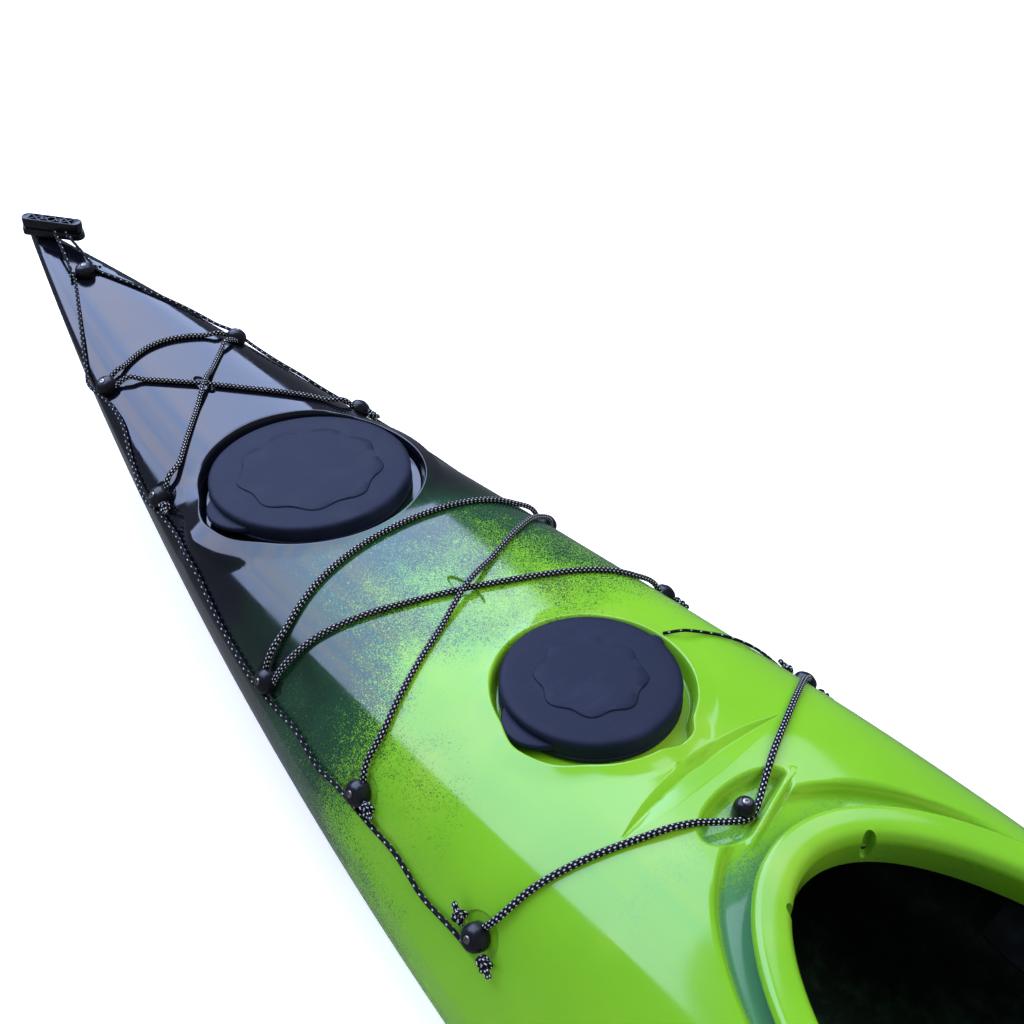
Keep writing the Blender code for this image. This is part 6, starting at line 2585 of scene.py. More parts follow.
@dataclass
class Toggle:
    """A carrying toggle: a bar of open cells in two tiers on two cords."""

    name: str
    body: Body
    sign: float
    turn: float
    aside: float
    layout: Layout
    finishes: Finishes
    length: float = 0.108
    width: float = 0.026
    thickness: float = 0.030
    reach: float = 0.130
    pocket: Point = (0.0390, 0.0092)
    pocket_depth: float = 0.006
    divider: float = 0.0185
    rib: float = 0.0016
    bore: float = 0.0055
    eye: Point = (0.0131, 0.0044)
    cord: float = 0.0050

    def tier(self, name: str, narrower: float, low: float, high: float) -> Piece:
        """One tier of the bar with round ends.

        Args:
            name: The tier's name.
            narrower: How far its outline lies inside the bar's.
            low: Its lower height.
            high: Its upper height.

        Returns:
            The tier.
        """
        size = (self.length - 2.0 * narrower, self.width - 2.0 * narrower, high - low)
        piece = Bench.block(name, size, (0.0, 0.0, 0.5 * (low + high)))
        Bench.round_edges(piece, lambda e: abs(e.verts[0].co.z - e.verts[1].co.z) > 0.5 * (high - low),
                          offset=0.42 * size[1], segments=7, profile=0.5)
        return piece

    def bar(self) -> Piece:
        """The bar: a slab, a waist, and an upper tier with a web of ribs and rings sunk into it.

        Returns:
            The bar about its own centre.
        """
        top, pocket = 0.5 * self.thickness, self.pocket
        upper = self.tier(f"{self.name}_bar", 0.0015, -0.001, top)
        half_length, width = pocket[0], 2.0 * pocket[1]
        bay = Bench.block("bay", (2.0 * half_length, width, 0.02), (0.0, 0.0, top - self.pocket_depth + 0.01))
        Bench.carve(upper, bay)
        ribs: list[Piece] = []
        middle, tall = top - 0.5 * self.pocket_depth - 0.0004, self.pocket_depth
        bay_length = half_length - self.divider
        turn = math.atan2(width, bay_length)
        for side in (-1.0, 1.0):
            ribs.append(Bench.block("divider", (self.rib, width, tall), (side * self.divider, 0.0, middle)))
            for lean in (-turn, turn):
                rib = Bench.block("rib", (math.hypot(bay_length, width), self.rib, tall))
                spot = (side * (self.divider + 0.5 * bay_length), 0.0, middle)
                rib.data.transform(turned_at(spot, lean, "Z"))
                ribs.append(rib)
        low, high = middle - 0.5 * tall, middle + 0.5 * tall
        eye, small = self.eye
        for x, radius in ((-eye, small), (eye, small), (0.0, self.bore + self.rib + 0.001)):
            inner = radius - self.rib
            profile = [(inner, low), (radius, low), (radius, high), (inner, high)]
            ring = Bench.turned("ring", profile, 28, ring=True)
            ring.data.transform(Matrix.Translation((x, 0.0, 0.0)))
            ribs.append(ring)
        tiers = [upper, self.tier("waist", 0.0035, -0.0045, 0.0005), self.tier("slab", 0.0, -top, -0.0035)]
        for tier in tiers:
            Bench.carve(tier, Bench.rod("bore", self.bore, -0.03, 0.03, 28))
            Bench.soften(tier, 0.0009, 2, 50.0)
        return Bench.shade(Bench.join(tiers + ribs), 38.0)

    def build(self) -> None:
        """Builds the bar and its two cords at their places."""
        form = self.layout.form
        fitting_y = self.sign * self.layout.end_y
        axis = form.deck_height(0.0, fitting_y) + 0.006
        frame_at = Matrix.Translation((0.0, fitting_y, axis))
        low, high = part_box(self.name)
        rest = 0.5 * (low.z + high.z) - axis
        turn = math.radians(self.turn)
        bar = self.bar()
        bar.data.transform(frame_at @ turned_at((self.aside, self.sign * self.reach, rest), turn, "Z"))
        publish(bar, self.body, self.finishes.gloss_black, Slot.BLACK_PLASTIC, [self.name])
        back = self.width / 2.0 / abs(math.cos(turn)) + 0.004
        for side in Side:
            apart = side.value * 0.006
            start = Vector((side.value * 0.0195, self.sign * 0.004, 0.0))
            end = Vector((self.aside + apart, self.sign * (self.reach - back) + apart * math.tan(turn), rest))
            middle = (start + end) / 2.0 + Vector((0.0, 0.0, 0.002))
            points = [frame_at @ p for p in (start, middle, end)]
            node = f"{self.name}_cord_{side.word}"
            piece = tube(f"{node}_line", smooth_route(points, 0.006), self.cord)
            publish(piece, self.body, self.finishes.thin_cord, Slot.CORD, [node])


# Inside the cockpit


def inflate(piece: Piece, held: Callable[[Vector], bool], most: float, voxel: float = 0.005,
            pressure: float = 4.0, frames: int = 20) -> None:
    """Fills a closed form like a cushion, by cloth under pressure, and applies the result.

    Args:
        piece: The closed form.
        held: Which points stay where they are.
        most: How far a point may move.
        voxel: The size of the remeshed faces.
        pressure: The air's pressure.
        frames: How many steps it takes.
    """
    Bench.add(piece, "REMESH", mode="VOXEL", voxel_size=voxel, use_smooth_shade=True)
    before = [vertex.co.copy() for vertex in piece.data.vertices]
    group = piece.vertex_groups.new(name="held")
    group.add([k for k, spot in enumerate(before) if held(spot)], 1.0, "REPLACE")
    Bench.hold(piece)
    cloth = piece.modifiers.new("cloth", "CLOTH")
    settings = cloth.settings
    settings.use_pressure = True
    settings.uniform_pressure_force = pressure
    settings.vertex_group_mass = group.name
    settings.effector_weights.gravity = 0.0
    settings.quality = 5
    settings.mass = 0.3
    settings.tension_stiffness = 20.0
    settings.bending_stiffness = 1.0
    cloth.point_cache.frame_start = 1
    cloth.point_cache.frame_end = frames
    scene = bpy.context.scene
    for number in range(1, frames + 1):
        scene.frame_set(number)
    bpy.ops.object.modifier_apply(modifier=cloth.name)
    scene.frame_set(1)
    for vertex, start in zip(piece.data.vertices, before):
        move = vertex.co - start
        if move.length > most:
            vertex.co = start + move * (most / move.length)
    piece.vertex_groups.clear()
    piece.data.update()


def crown(u: float, v: float) -> float:
    """How full a cushion is over its face, from its rim to its middle."""
    return 0.45 + 0.55 * math.sqrt(max(0.0, 1.0 - abs(u) ** 3) * max(0.0, 1.0 - abs(v) ** 3))


def channel(share: float, places: Sequence[float], width: float) -> float:
    """1 in a sewn channel and 0 away from it."""
    return max(math.exp(-(((share - place) / width) ** 2)) for place in places)


def drawn_in(u: float, v: float) -> Point:
    """A cushion's outline with rounded corners and sides that pull in between them.

    Args:
        u: The place across the plain outline, -1 to 1.
        v: The place along it.

    Returns:
        The place on the drawn-in outline.
    """
    waist = 0.030
    corner = 0.16
    return (u * (1.0 - waist * (1.0 - v * v)) * math.sqrt(1.0 - corner * v**4),
            v * (1.0 - waist * (1.0 - u * u)) * math.sqrt(1.0 - corner * u**4))


def piping(name: str, piece: Piece, matrix: Matrix, diameter: float, count: int = 88) -> Piece:
    """A sewn edge cord round a cushion, laid on the widest line of the finished form.

    Args:
        name: The cord's name.
        piece: The cushion.
        matrix: The frame whose X and Y span the cushion's face.
        diameter: The cord's diameter.
        count: Points round it.

    Returns:
        The cord.
    """
    inverse = matrix.inverted()
    spots = np.array([tuple(inverse @ vertex.co) for vertex in piece.data.vertices])
    middle = 0.5 * (spots.min(axis=0) + spots.max(axis=0))
    size = 0.5 * (spots.max(axis=0) - spots.min(axis=0))
    flat = (spots - middle)[:, :2] / size[:2]
    angles = np.arctan2(flat[:, 1], flat[:, 0])
    reach = np.hypot(flat[:, 0], flat[:, 1])
    ring = []
    for k in range(count):
        off = np.abs((angles - 2.0 * math.pi * k / count + math.pi) % (2.0 * math.pi) - math.pi)
        near = np.argsort(reach - 100.0 * (off > 2.4 * math.pi / count))[-4:]
        ring.append(spots[near].mean(axis=0))
    line = np.array(ring)
    for _ in range(3):
        line = 0.5 * line + 0.25 * (np.roll(line, 1, axis=0) + np.roll(line, -1, axis=0))
    route = [matrix @ Vector(spot) for spot in np.concatenate([line, line[:2]])]
    return tube(name, smooth_route(route, 0.006), diameter, 10)


@dataclass
class Seat:
    """The seat: a moulded pan, its cushion and two hip pads."""

    layout: Layout
    finishes: Finishes
    front: float = 0.140
    back: float = -0.240
    back_rise: float = 0.055
    front_rise: float = 0.030
    half_width: float = 0.186
    tall: float = 0.145
    base: float = 0.0136
    wall: float = 0.005
    margin: float = 0.025
    cushion_half: float = 0.120
    cushion_rise: float = 0.024
    pad_rise: float = 0.018
    pad_middle: float = -0.060
    pad_half: Point = (0.075, 0.0375)
    outline: tuple[Point, ...] = ((0.0, 0.0), (0.28, 0.005), (0.54, 0.025), (0.73, 0.08), (0.87, 0.21),
                                  (0.95, 0.42), (0.985, 0.7), (1.0, 1.0))

    def __post_init__(self) -> None:
        """Works out the smooth outline once."""
        route = smooth_route([Vector((w, h, 0.0)) for w, h in self.outline], 0.02)
        self.across = np.maximum.accumulate(np.array([spot.x for spot in route]))
        self.up = np.maximum.accumulate(np.array([spot.y for spot in route]))

    def ends(self, y: float) -> float:
        """How far the pan rises towards its back and front."""
        share = (y - self.back) / (self.front - self.back)
        return (self.back_rise * max(0.0, (0.30 - share) / 0.30) ** 2
                + self.front_rise * max(0.0, (share - 0.70) / 0.30) ** 2)

    def wing(self, y: float) -> float:
        """How tall the wings are at y, as a share of their full height."""
        share = (y - self.back) / (self.front - self.back)
        return 0.30 + 0.70 * math.sin(math.pi * min(max(0.92 - 0.80 * share, 0.0), 1.0)) ** 0.8

    def top(self, x: float, y: float) -> float:
        """The pan's upper height at a place."""
        rise = float(np.interp(abs(x) / self.half_width, self.across, self.up))
        return self.base + self.ends(y) + self.tall * self.wing(y) * rise

    def pan(self) -> Piece:
        """The pan with its wings, three shallow ribs along its floor and a rolled edge.

        Returns:
            The pan.
        """
        count = len(self.across) - 1

        def place(u: float, v: float) -> Triple:
            """A point of the pan's upper side.

            Args:
                u: The share across, -1 to 1.
                v: The share along.

            Returns:
                The point.
            """
            y = self.back + 0.5 * (v + 1.0) * (self.front - self.back)
            spot = abs(u) * count
            across = float(np.interp(spot, range(count + 1), self.across))
            up = float(np.interp(spot, range(count + 1), self.up))
            rib = 0.0012 * channel(across, (0.16, 0.34, 0.52), 0.03) * max(0.0, 1.0 - v**8)
            return (math.copysign(self.half_width * across, u), y,
                    self.base + self.ends(y) + self.tall * self.wing(y) * up - rib)

        piece = Bench.sheet("seat_shell", 96, 56, place)
        Bench.add(piece, "SOLIDIFY", thickness=self.wall, offset=-1.0)
        for x in (-0.05, 0.05):
            for y in (-0.16, 0.10):
                hole = Bench.rod("drain", 0.006, -0.02, 0.09, 24)
                hole.data.transform(Matrix.Translation((x, y, 0.0)))
                Bench.carve(piece, hole)
        Bench.soften(piece, 0.0016, 3, 50.0)
        return Bench.shade(piece, 40.0)

    def cushion(self) -> Piece:
        """The seat cushion with its sewn channels.

        Returns:
            The cushion.
        """
        back, front = self.back + self.margin, self.front - self.margin
        middle, half = 0.5 * (back + front), 0.5 * (front - back)

        def low(u: float, v: float) -> Triple:
            """A point on the pan.

            Args:
                u: The share across, -1 to 1.
                v: The share along.

            Returns:
                The point.
            """
            a, b = drawn_in(u, v)
            x, y = self.cushion_half * a, middle + half * b
            return x, y, self.top(x, y) + 3.0 * GAP

        def high(u: float, v: float) -> Triple:
            """A point of the upper side."""
            x, y, z = low(u, v)
            return x, y, z + self.cushion_rise * crown(u, v)

        piece = Bench.cushion("seat_cushion", 40, 52, low, high)
        inflate(piece, lambda p: p.z < self.top(p.x, p.y) + 0.0045, 0.006)
        Bench.add(piece, "SUBSURF", levels=1, render_levels=1)
        for vertex in piece.data.vertices:
            spot = vertex.co
            lift = spot.z - self.top(spot.x, spot.y)
            vertex.co.z = max(spot.z, self.top(spot.x, spot.y) + 2.0 * GAP)
            if lift > 0.010:
                u, v = spot.x / self.cushion_half, (spot.y - middle) / half
                sewn = channel(u, (-0.45, 0.0, 0.45), 0.045) * max(0.0, 1.0 - abs(v) ** 6)
                vertex.co.z -= SEAM_DEPTH * sewn * min(1.0, (lift - 0.010) / 0.008)
        return Bench.shade(piece, 60.0)

    def hip_pad(self, side: Side) -> Piece:
        """A foam pad on the inner face of one wing.

        Args:
            side: Port or starboard.

        Returns:
            The pad.
        """
        lift = self.base + 0.30 * self.tall

        def low(u: float, v: float) -> Triple:
            """A point on the wing.

            Args:
                u: The share across, -1 to 1.
                v: The share along.

            Returns:
                The point.
            """
            a, b = drawn_in(u, v)
            y = self.pad_middle + self.pad_half[0] * a
            z = lift + self.pad_half[1] * (b + 1.0)
            rise = (z - self.base - self.ends(y)) / (self.tall * self.wing(y))
            x = self.half_width * float(np.interp(rise, self.up, self.across)) - 0.0025
            return side.value * x, y, z

        def high(u: float, v: float) -> Triple:
            """A point of the inner side."""
            x, y, z = low(u, v)
            return x - side.value * self.pad_rise * crown(u, v), y, z

        piece = Bench.cushion(f"{side.word}_hip_cushion", 28, 28, low, high)
        inflate(piece, lambda p: False, 0.002)
        Bench.add(piece, "SUBSURF", levels=1, render_levels=1)
        return Bench.shade(piece, 60.0)

    def build(self) -> None:
        """Builds and dresses the seat."""
        publish(self.pan(), Body.HULL, self.finishes.satin_black, Slot.SEAT_PLASTIC, ["seat_pan"])
        cushion = publish(self.cushion(), Body.HULL, self.finishes.fabric, Slot.PAD, ["seat_pad"])
        edge = piping("seat_cushion_piping", cushion, Matrix.Identity(4), 0.0036)
        publish(edge, Body.HULL, self.finishes.webbing, Slot.PAD)
        for side in Side:
            node = f"hip_pad_{side.word}"
            pad = publish(self.hip_pad(side), Body.HULL, self.finishes.foam, Slot.FOAM, [node])


@dataclass
class BackRest:
    """The padded back band on its pivot and the webbing that holds it."""

    layout: Layout
    finishes: Finishes
    seat: Seat
    half_width: float = 0.145
    height: float = 0.150
    rise: float = 0.031
    bend: float = 0.020
    behind: float = 0.017
    foot: float = 0.006
    strap_width: float = 0.025
    strap: float = 0.002
    sag: float = 0.010

    @property
    def pivot(self) -> Vector:
        """The band's pivot."""
        y = self.seat.back - 0.012 - 0.017
        return Vector((0.0, y, self.seat.top(0.0, self.seat.back)))

    def cushion(self) -> Piece:
        """The band's cushion with two sewn channels across it.

        Returns:
            The cushion.
        """
        pivot = self.pivot

        def low(u: float, v: float) -> Vector:
            """A point of the back.

            Args:
                u: The share across, -1 to 1.
                v: The share along.

            Returns:
                The point.
            """
            a, b = drawn_in(u, v)
            share = 0.5 * (b + 1.0)
            wide = self.half_width * (0.80 + 0.20 * math.sin(math.pi * min(0.8 * share + 0.1, 1.0)))
            back = self.bend * a * a - self.behind
            return pivot + Vector((wide * a, back, self.foot + self.height * share))

        def high(u: float, v: float) -> Vector:
            """A point of the face."""
            return low(u, v) + Vector((0.0, self.rise * crown(u, v), 0.0))

        piece = Bench.cushion("back_cushion", 52, 28, low, high)
        inflate(piece, lambda p: p.y < pivot.y - 0.0155 + self.bend * (p.x / self.half_width) ** 2, 0.003)
        Bench.add(piece, "SUBSURF", levels=1, render_levels=1)
        for vertex in piece.data.vertices:
            u = (vertex.co.x - pivot.x) / self.half_width
            lift = vertex.co.y - (pivot.y + self.bend * u * u - self.behind)
            if lift > 0.012:
                share = (vertex.co.z - pivot.z - self.foot) / self.height
                sewn = channel(share, (0.35, 0.70), 0.035) * max(0.0, 1.0 - abs(u) ** 6)
                vertex.co.y -= SEAM_DEPTH * sewn * min(1.0, (lift - 0.012) / 0.008)
        return Bench.shade(piece, 60.0)

    def ends(self, side: Side) -> tuple[Vector, Vector]:
        """A strap's two ends.

        Args:
            side: Port or starboard.

        Returns:
            The end on the band and the end under the coaming.
        """
        start = self.pivot + Vector((side.value * 0.151, 0.010, 0.0825))
        anchor = self.layout.coaming @ Vector((side.value * 0.210, -0.060, -0.045))
        return start, anchor - Vector((0.0, 0.0, 0.0145))

    def strap_piece(self, side: Side) -> Piece:
        """The webbing from the band to the coaming.

        Args:
            side: Port or starboard.

        Returns:
            The strap.
        """
        start, end = self.ends(side)

        def place(u: float, v: float) -> Vector:
            """A point of the strap's inner side.

            Args:
                u: The share across, -1 to 1.
                v: The share along.

            Returns:
                The point.
            """
            share = 0.5 * (v + 1.0)
            spot = start.lerp(end, share) - Vector((0.0, 0.0, self.sag * math.sin(math.pi * share)))
            return spot + Vector((0.0, 0.0, 0.5 * self.strap_width * u))

        piece = Bench.sheet(f"{side.word}_back_webbing", 6, 44, place)
        Bench.add(piece, "SOLIDIFY", thickness=self.strap, offset=0.0)
        Bench.soften(piece, 0.0006, 2, 50.0)
        return Bench.shade(piece, 40.0)

    def buckle(self, side: Side) -> Piece:
        """A ladder buckle on the strap near the coaming.

        Args:
            side: Port or starboard.

        Returns:
            The buckle.
        """
        start, end = self.ends(side)
        share = 0.86
        spot = start.lerp(end, share) - Vector((0.0, 0.0, self.sag * math.sin(math.pi * share)))
        way = (end - start).normalized()
        up = Vector((0.0, 0.0, 1.0))
        out = way.cross(up).normalized()
        turn = Matrix((way, out, way.cross(out) * -1.0)).transposed().to_4x4()
        piece = Bench.block(f"{side.word}_ladder_buckle", (0.030, 0.0075, 0.032))
        for x in (-0.0085, 0.0, 0.0085):
            Bench.carve(piece, Bench.block("slot", (0.0050, 0.02, self.strap_width + 0.0008), (x, 0.0, 0.0)))
        Bench.soften(piece, 0.0010, 2, 50.0)
        piece.data.transform(Matrix.Translation(spot) @ turn)
        return Bench.shade(piece, 35.0)

    def build(self) -> None:
        """Builds and dresses the back rest."""
        cushion = publish(self.cushion(), Body.BACK_REST, self.finishes.fabric, Slot.PAD, ["back_band"])
        face = turned_at(self.pivot, QUARTER, "X")
        edge = piping("back_cushion_piping", cushion, face, 0.0036)
        publish(edge, Body.BACK_REST, self.finishes.webbing, Slot.PAD)
        for side in Side:
            start, end = self.ends(side)
            publish(self.strap_piece(side), Body.HULL, self.finishes.webbing, Slot.PAD,
                    [f"back_band_strap_{side.word}"],
                    (Body.BACK_REST, start.lerp(end, 0.72), start.lerp(end, 0.04)))
            publish(self.buckle(side), Body.HULL, self.finishes.satin_black, Slot.BLACK_PLASTIC)


@dataclass
class ThighBraces:
    """The two braces under the coaming's front quarters, each with its screws."""

    layout: Layout
    finishes: Finishes
    fittings: Fittings
    thickness: float = 0.007
    gap: float = 0.0006
    middle_y: float = 0.154
    half_length: float = 0.100
    overlap: float = 0.012
    width: float = 0.080
    waist: float = 0.35
    web_foot: float = -0.045
    drop: float = 0.022

    def spot(self, side: Side, u: float, v: float) -> Vector:
        """A point of a brace's upper side in the coaming's frame.

        Args:
            side: Port or starboard.
            u: 0 at the coaming and 1 at the inner edge.
            v: -1 at the back and 1 at the front.

        Returns:
            The point.
        """
        half_width, half_length = self.layout.cockpit
        y = self.middle_y + self.half_length * v
        inner = half_width * math.sqrt(1.0 - (y / half_length) ** 2)
        x = inner + self.overlap - self.width * u * (1.0 - self.waist * v * v)
        return Vector((side.value * x, y, self.web_foot - self.gap - self.drop * u * u))

    def build(self) -> None:
        """Builds and dresses both braces."""
        for side in Side:
            piece = Bench.sheet(f"{side.word}_thigh_plate", 20, 40,
                                lambda u, v, s=side: self.spot(s, 0.5 * (u + 1), v))
            Bench.add(piece, "SOLIDIFY", thickness=self.thickness, offset=side.value)
            Bench.soften(piece, 0.0022, 3, 50.0)
            piece.data.transform(self.layout.coaming)
            publish(Bench.shade(piece, 40.0), Body.HULL, self.finishes.dull_black, Slot.BLACK_PLASTIC,
                    [f"thigh_brace_{side.word}"])
            for number, v in enumerate((-0.62, 0.62), 1):
                under = self.spot(side, 0.10, v) - Vector((0.0, 0.0, self.thickness - 0.0004))
                self.fittings.screw_on(f"{side.word}_thigh_screw_{number}",
                                       self.layout.coaming @ turned_at(under, math.pi, "X"))


@dataclass
class FootBraces:
    """The aluminium rails on the hull's sides and the pedals that slide on them."""

    layout: Layout
    finishes: Finishes
    fittings: Fittings
    length: float = 0.360
    half_height: float = 0.014
    depth: float = 0.012
    wall: float = 0.0025
    holes: int = 13
    hole_step: float = 0.024
    hole_radius: float = 0.0022
    place: Triple = (0.2532, 0.9, 0.108)
    slope: tuple[float, float] = (-0.14239, 0.98981)
    lean: float = -18.0

    def matrix(self, side: Side) -> Matrix:
        """A rail's frame.

        Args:
            side: Port or starboard.

        Returns:
            The frame, with Y along the rail towards the bow.
        """
        x, y, z = self.place
        turn = math.atan2(-self.slope[0] * side.value, self.slope[1])
        return turned_at((side.value * x, y, z), turn, "Z")

    def rail(self, side: Side) -> Piece:
        """A C-shaped rail with a row of small holes.

        Args:
            side: Port or starboard.

        Returns:
            The rail about its own frame.
        """
        h, d, w = self.half_height, self.depth, self.wall
        lip = h - 0.007
        outline = [(0.0, -h), (0.0, h), (-d, h), (-d, lip), (-d + w, lip), (-d + w, h - w), (-w, h - w),
                   (-w, -h + w), (-d + w, -h + w), (-d + w, -lip), (-d, -lip), (-d, -h)]
        piece = Bench.bar(f"{side.word}_rail", [(side.value * x, z) for x, z in outline], self.length)
        peg = Bench.rod("peg", self.hole_radius, -0.03, 0.03, 16)
        peg.data.transform(turned_at((0.0, -0.5 * self.hole_step * (self.holes - 1), 0.0), QUARTER, "Y"))
        Bench.repeat(peg, self.holes, (0.0, self.hole_step, 0.0))
        Bench.carve(piece, peg)
        Bench.soften(piece, 0.0005, 2, 40.0)
        return Bench.shade(piece, 35.0)

    def pedal(self, side: Side) -> Piece:
        """A pedal: carriage, neck and a ribbed plate leaned towards the bow.

        Args:
            side: Port or starboard.

        Returns:
            The pedal about the rail's frame.
        """
        sign = side.value
        inside = self.depth - 2.0 * self.wall - 2.0 * GAP
        inner_height = 2.0 * (self.half_height - self.wall) - 0.001
        carriage = Bench.block(f"{side.word}_pedal", (inside, 0.050, inner_height),
                               (-sign * (self.wall + GAP + 0.5 * inside), 0.0, 0.0))
        neck = Bench.block("neck", (0.030, 0.030, 0.012), (-sign * 0.023, 0.0, 0.0))
        Bench.carve(carriage, neck, "UNION")
        plate = Bench.block("plate", (0.085, 0.008, 0.115))
        Bench.round_edges(plate, lambda e: abs(e.verts[0].co.y - e.verts[1].co.y) > 0.005,
                          offset=0.014, segments=6)
        rib = Bench.block("rib", (0.066, 0.0036, 0.0050), (0.0, -0.0045, -0.042))
        Bench.repeat(rib, 8, (0.0, 0.0, 0.012))
        Bench.carve(plate, rib, "UNION")
        plate.data.transform(turned_at((-sign * 0.0665, -0.010, 0.030), math.radians(self.lean), "X"))
        Bench.carve(carriage, plate, "UNION")
        Bench.soften(carriage, 0.0009, 2, 45.0)
        return Bench.shade(carriage, 40.0)

    def build(self) -> None:
        """Builds and dresses both rails and pedals."""
        bodies = {Side.PORT: Body.PORT_PEDAL, Side.STARBOARD: Body.STARBOARD_PEDAL}
        for side in Side:
            matrix = self.matrix(side)
            rail = self.rail(side)
            rail.data.transform(matrix)
            publish(rail, Body.HULL, self.finishes.aluminium, Slot.ALUMINIUM,
                    [f"foot_brace_rail_{side.word}"])
            pedal = self.pedal(side)
            pedal.data.transform(matrix)
            publish(pedal, bodies[side], self.finishes.satin_black, Slot.BLACK_PLASTIC,
                    [f"foot_pedal_{side.word}"])
            for number, y in enumerate((-0.168, 0.168), 1):
                seat = turned_at((-side.value * self.wall, y, 0.0), -side.value * QUARTER, "Y")
                self.fittings.screw_on(f"{side.word}_rail_screw_{number}", matrix @ seat)


@dataclass
class Bulkheads:
    """The two foam bulkheads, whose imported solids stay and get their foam."""

    finishes: Finishes
    nodes: tuple[str, ...] = ("bow_bulkhead", "stern_bulkhead")

    def build(self) -> None:
        """Dresses both solids."""
        for name in self.nodes:
            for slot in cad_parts[name].material_slots:
                slot.material = self.finishes.foam
            LOG.info("%s: foam on its own solid", name)


# Stage


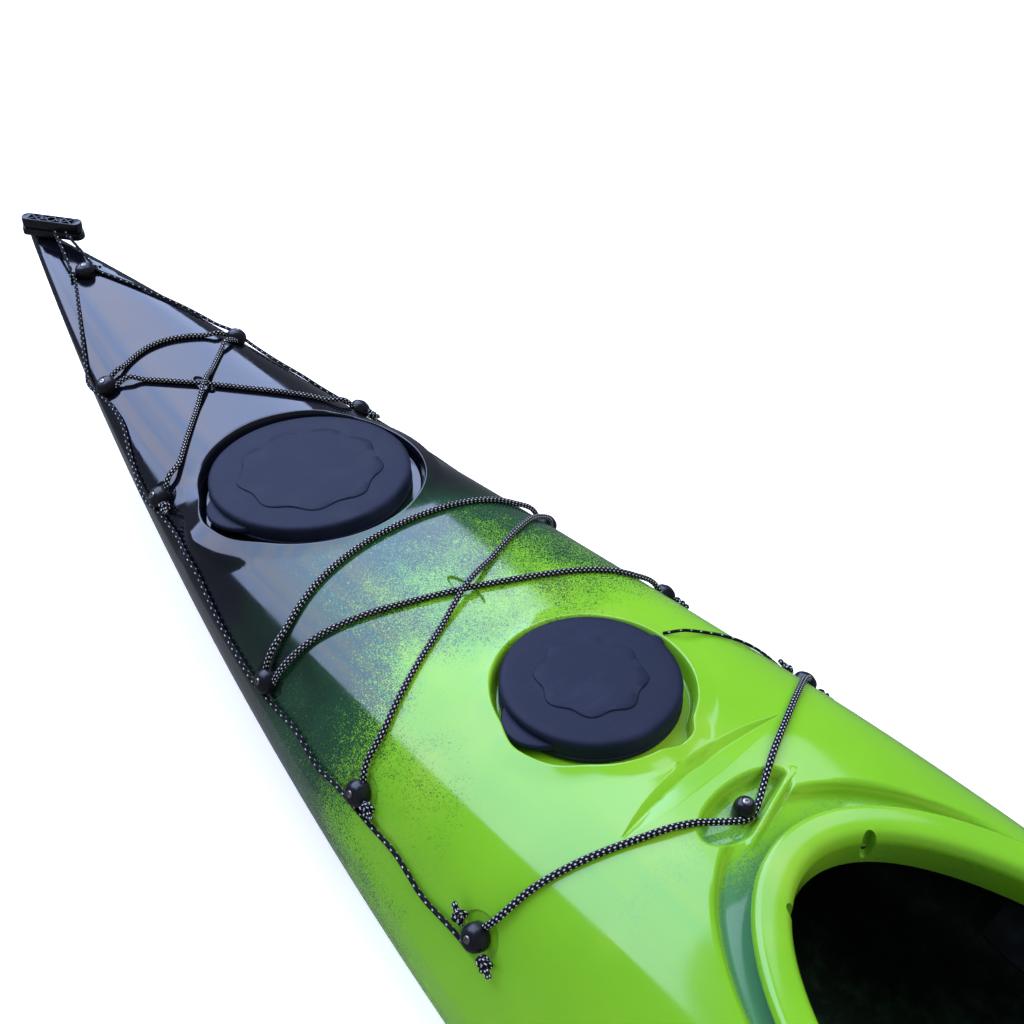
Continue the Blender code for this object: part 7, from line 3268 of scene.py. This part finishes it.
@dataclass
class Studio:
    """Camera, lights and the pale floor."""

    eye: Triple = (-0.74171309, 0.21521609, 1.3731561)
    right: Triple = (0.74119371, -0.66956651, 0.04808919)
    up: Triple = (0.40057057, 0.49863139, 0.76870668)
    ahead: Triple = (0.53867903, 0.55049744, -0.63779109)
    lens: float = 43.511

    def camera(self) -> None:
        """Places the camera as the photograph's was."""
        data = bpy.data.cameras.new("camera")
        data.lens = self.lens
        data.sensor_width = 36.0
        data.clip_start = 0.01
        data.clip_end = 100.0
        made = linked("camera", data)
        turn = Matrix((self.right, self.up, tuple(-a for a in self.ahead))).transposed()
        made.matrix_world = Matrix.Translation(self.eye) @ turn.to_4x4()
        bpy.context.scene.camera = made

    def floor(self) -> None:
        """A wide pale floor with a very faint mottle."""
        Bench.clear()
        bpy.ops.mesh.primitive_plane_add(size=60.0)
        made = Bench.fresh("studio_floor")
        shader = Shader("pale_floor")
        cloud = shader.noise(1.2, 3.0, 0.5)
        shader.set(Base_Color=shader.blend(cloud, (0.80, 0.80, 0.80), (0.84, 0.84, 0.84)), Roughness=0.9)
        shader.set(Specular_IOR_Level=0.1, Emission_Color=(1.0, 1.0, 1.0, 1.0), Emission_Strength=0.55)
        made.data.materials.append(shader.material)
        made.visible_glossy = False

    def backdrop(self) -> None:
        """A far round wall behind everything, only for the eye."""
        Bench.clear()
        bpy.ops.mesh.primitive_cylinder_add(vertices=96, radius=29.0, depth=40.0, end_fill_type="NOTHING")
        made = Bench.fresh("studio_backdrop")
        shader = Shader("pale_backdrop")
        glow = shader.blend(shader.noise(0.4, 2.0, 0.5), (0.93, 0.94, 0.96), (0.98, 0.98, 0.99))
        shader.set(Base_Color=(0.0, 0.0, 0.0, 1.0), Roughness=1.0, Specular_IOR_Level=0.0)
        shader.set(Emission_Color=glow, Emission_Strength=1.0)
        made.data.materials.append(shader.material)
        made.visible_glossy = made.visible_diffuse = made.visible_shadow = False

    @staticmethod
    def streaked(data: bpy.types.Light) -> None:
        """Gives a panel soft long streaks, as thin cloud has."""
        data.use_nodes = True
        tree = data.node_tree
        glow = tree.nodes["Emission"]
        place = tree.nodes.new("ShaderNodeNewGeometry")
        stretch = tree.nodes.new("ShaderNodeMapping")
        cloud = tree.nodes.new("ShaderNodeTexNoise")
        for node, name, value in (
                (stretch, "Scale", (3.2, 0.9, 1.0)), (stretch, "Rotation", (0.0, 0.0, math.radians(14.0))),
                (cloud, "Scale", 3.4), (cloud, "Detail", 4.0), (cloud, "Distortion", 0.5)):
            node.inputs[name].default_value = value
        tint = tree.nodes.new("ShaderNodeValToRGB")
        blue, rose = tint.color_ramp.elements
        blue.position, rose.position = 0.36, 0.66
        blue.color = (0.66, 0.80, 1.0, 1.0)
        rose.color = (1.0, 0.92, 0.90, 1.0)
        tree.links.new(place.outputs["Parametric"], stretch.inputs["Vector"])
        tree.links.new(stretch.outputs["Vector"], cloud.inputs["Vector"])
        tree.links.new(cloud.outputs["Fac"], tint.inputs["Fac"])
        tree.links.new(tint.outputs["Color"], glow.inputs["Color"])

    def light(self, name: str, size: Point, power: float, colour: Sequence[float], place: Sequence[float],
              aim: Sequence[float]) -> bpy.types.Light:
        """One soft area light.

        Args:
            name: The light's name.
            size: Its width and height.
            power: Its power in watts.
            colour: Its colour.
            place: Where it stands.
            aim: What it faces.

        Returns:
            The light.
        """
        data = bpy.data.lights.new(name, "AREA")
        data.shape = "RECTANGLE"
        data.size, data.size_y = size
        data.energy = power
        data.color = tuple(colour)
        made = linked(name, data)
        made.location = place
        made.rotation_euler = (Vector(aim) - Vector(place)).to_track_quat("-Z", "Y").to_euler()
        return data

    def key(self) -> None:
        """A wide far light, high over the paddler's right shoulder."""
        data = bpy.data.lights.new("key", "SUN")
        data.energy = 2.45
        data.angle = math.radians(50.0)
        data.color = (1.0, 0.985, 0.95)
        made = linked("key", data)
        made.visible_glossy = False
        made.location = (1.6, -2.6, 5.0)
        made.rotation_euler = (Vector((0.0, 0.4, 0.0)) - made.location).to_track_quat("-Z", "Y").to_euler()

    def build(self) -> None:
        """Sets the whole stage."""
        self.camera()
        self.floor()
        self.backdrop()
        bpy.context.scene.view_settings.view_transform = "Standard"
        world = bpy.data.worlds.new("soft_surround")
        bpy.context.scene.world = world
        world.use_nodes = True
        ground = world.node_tree.nodes["Background"]
        ground.inputs["Color"].default_value = (0.80, 0.88, 1.0, 1.0)
        ground.inputs["Strength"].default_value = 0.20
        fore = self.light("fore_panel", (10.4, 9.0), 1740.0, (0.66, 0.77, 1.10), (0.0, 5.96, 6.79),
                          (0.0, -0.243, 1.69))
        self.streaked(fore)
        self.light("side_panel", (4.3, 4.3), 200.0, (0.62, 0.70, 1.0), (7.35, 3.44, 9.85),
                   (7.35, -2.76, 4.75))
        self.key()


def main() -> None:
    """Builds the boat in order and reports each piece."""
    logging.basicConfig(level=logging.INFO, format="%(message)s")
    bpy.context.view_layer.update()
    Studio().build()
    layout = Layout()
    finishes = Finishes()
    skin = Hull(layout, finishes).build()
    Coaming(layout, finishes).build()
    for size in layout.hatches:
        Hatch(size, finishes).build()
    fittings = Fittings(layout, finishes)
    fittings.build()
    DeckLines(layout, finishes, skin).build()
    Toggle("bow_toggle", Body.BOW_HANDLE, 1.0, -52.0, 0.013, layout, finishes).build()
    Toggle("stern_toggle", Body.STERN_HANDLE, -1.0, 0.0, 0.0, layout, finishes).build()
    seat = Seat(layout, finishes)
    seat.build()
    BackRest(layout, finishes, seat).build()
    ThighBraces(layout, finishes, fittings).build()
    FootBraces(layout, finishes, fittings).build()
    Bulkheads(finishes).build()


if __name__ == "__main__":
    main()
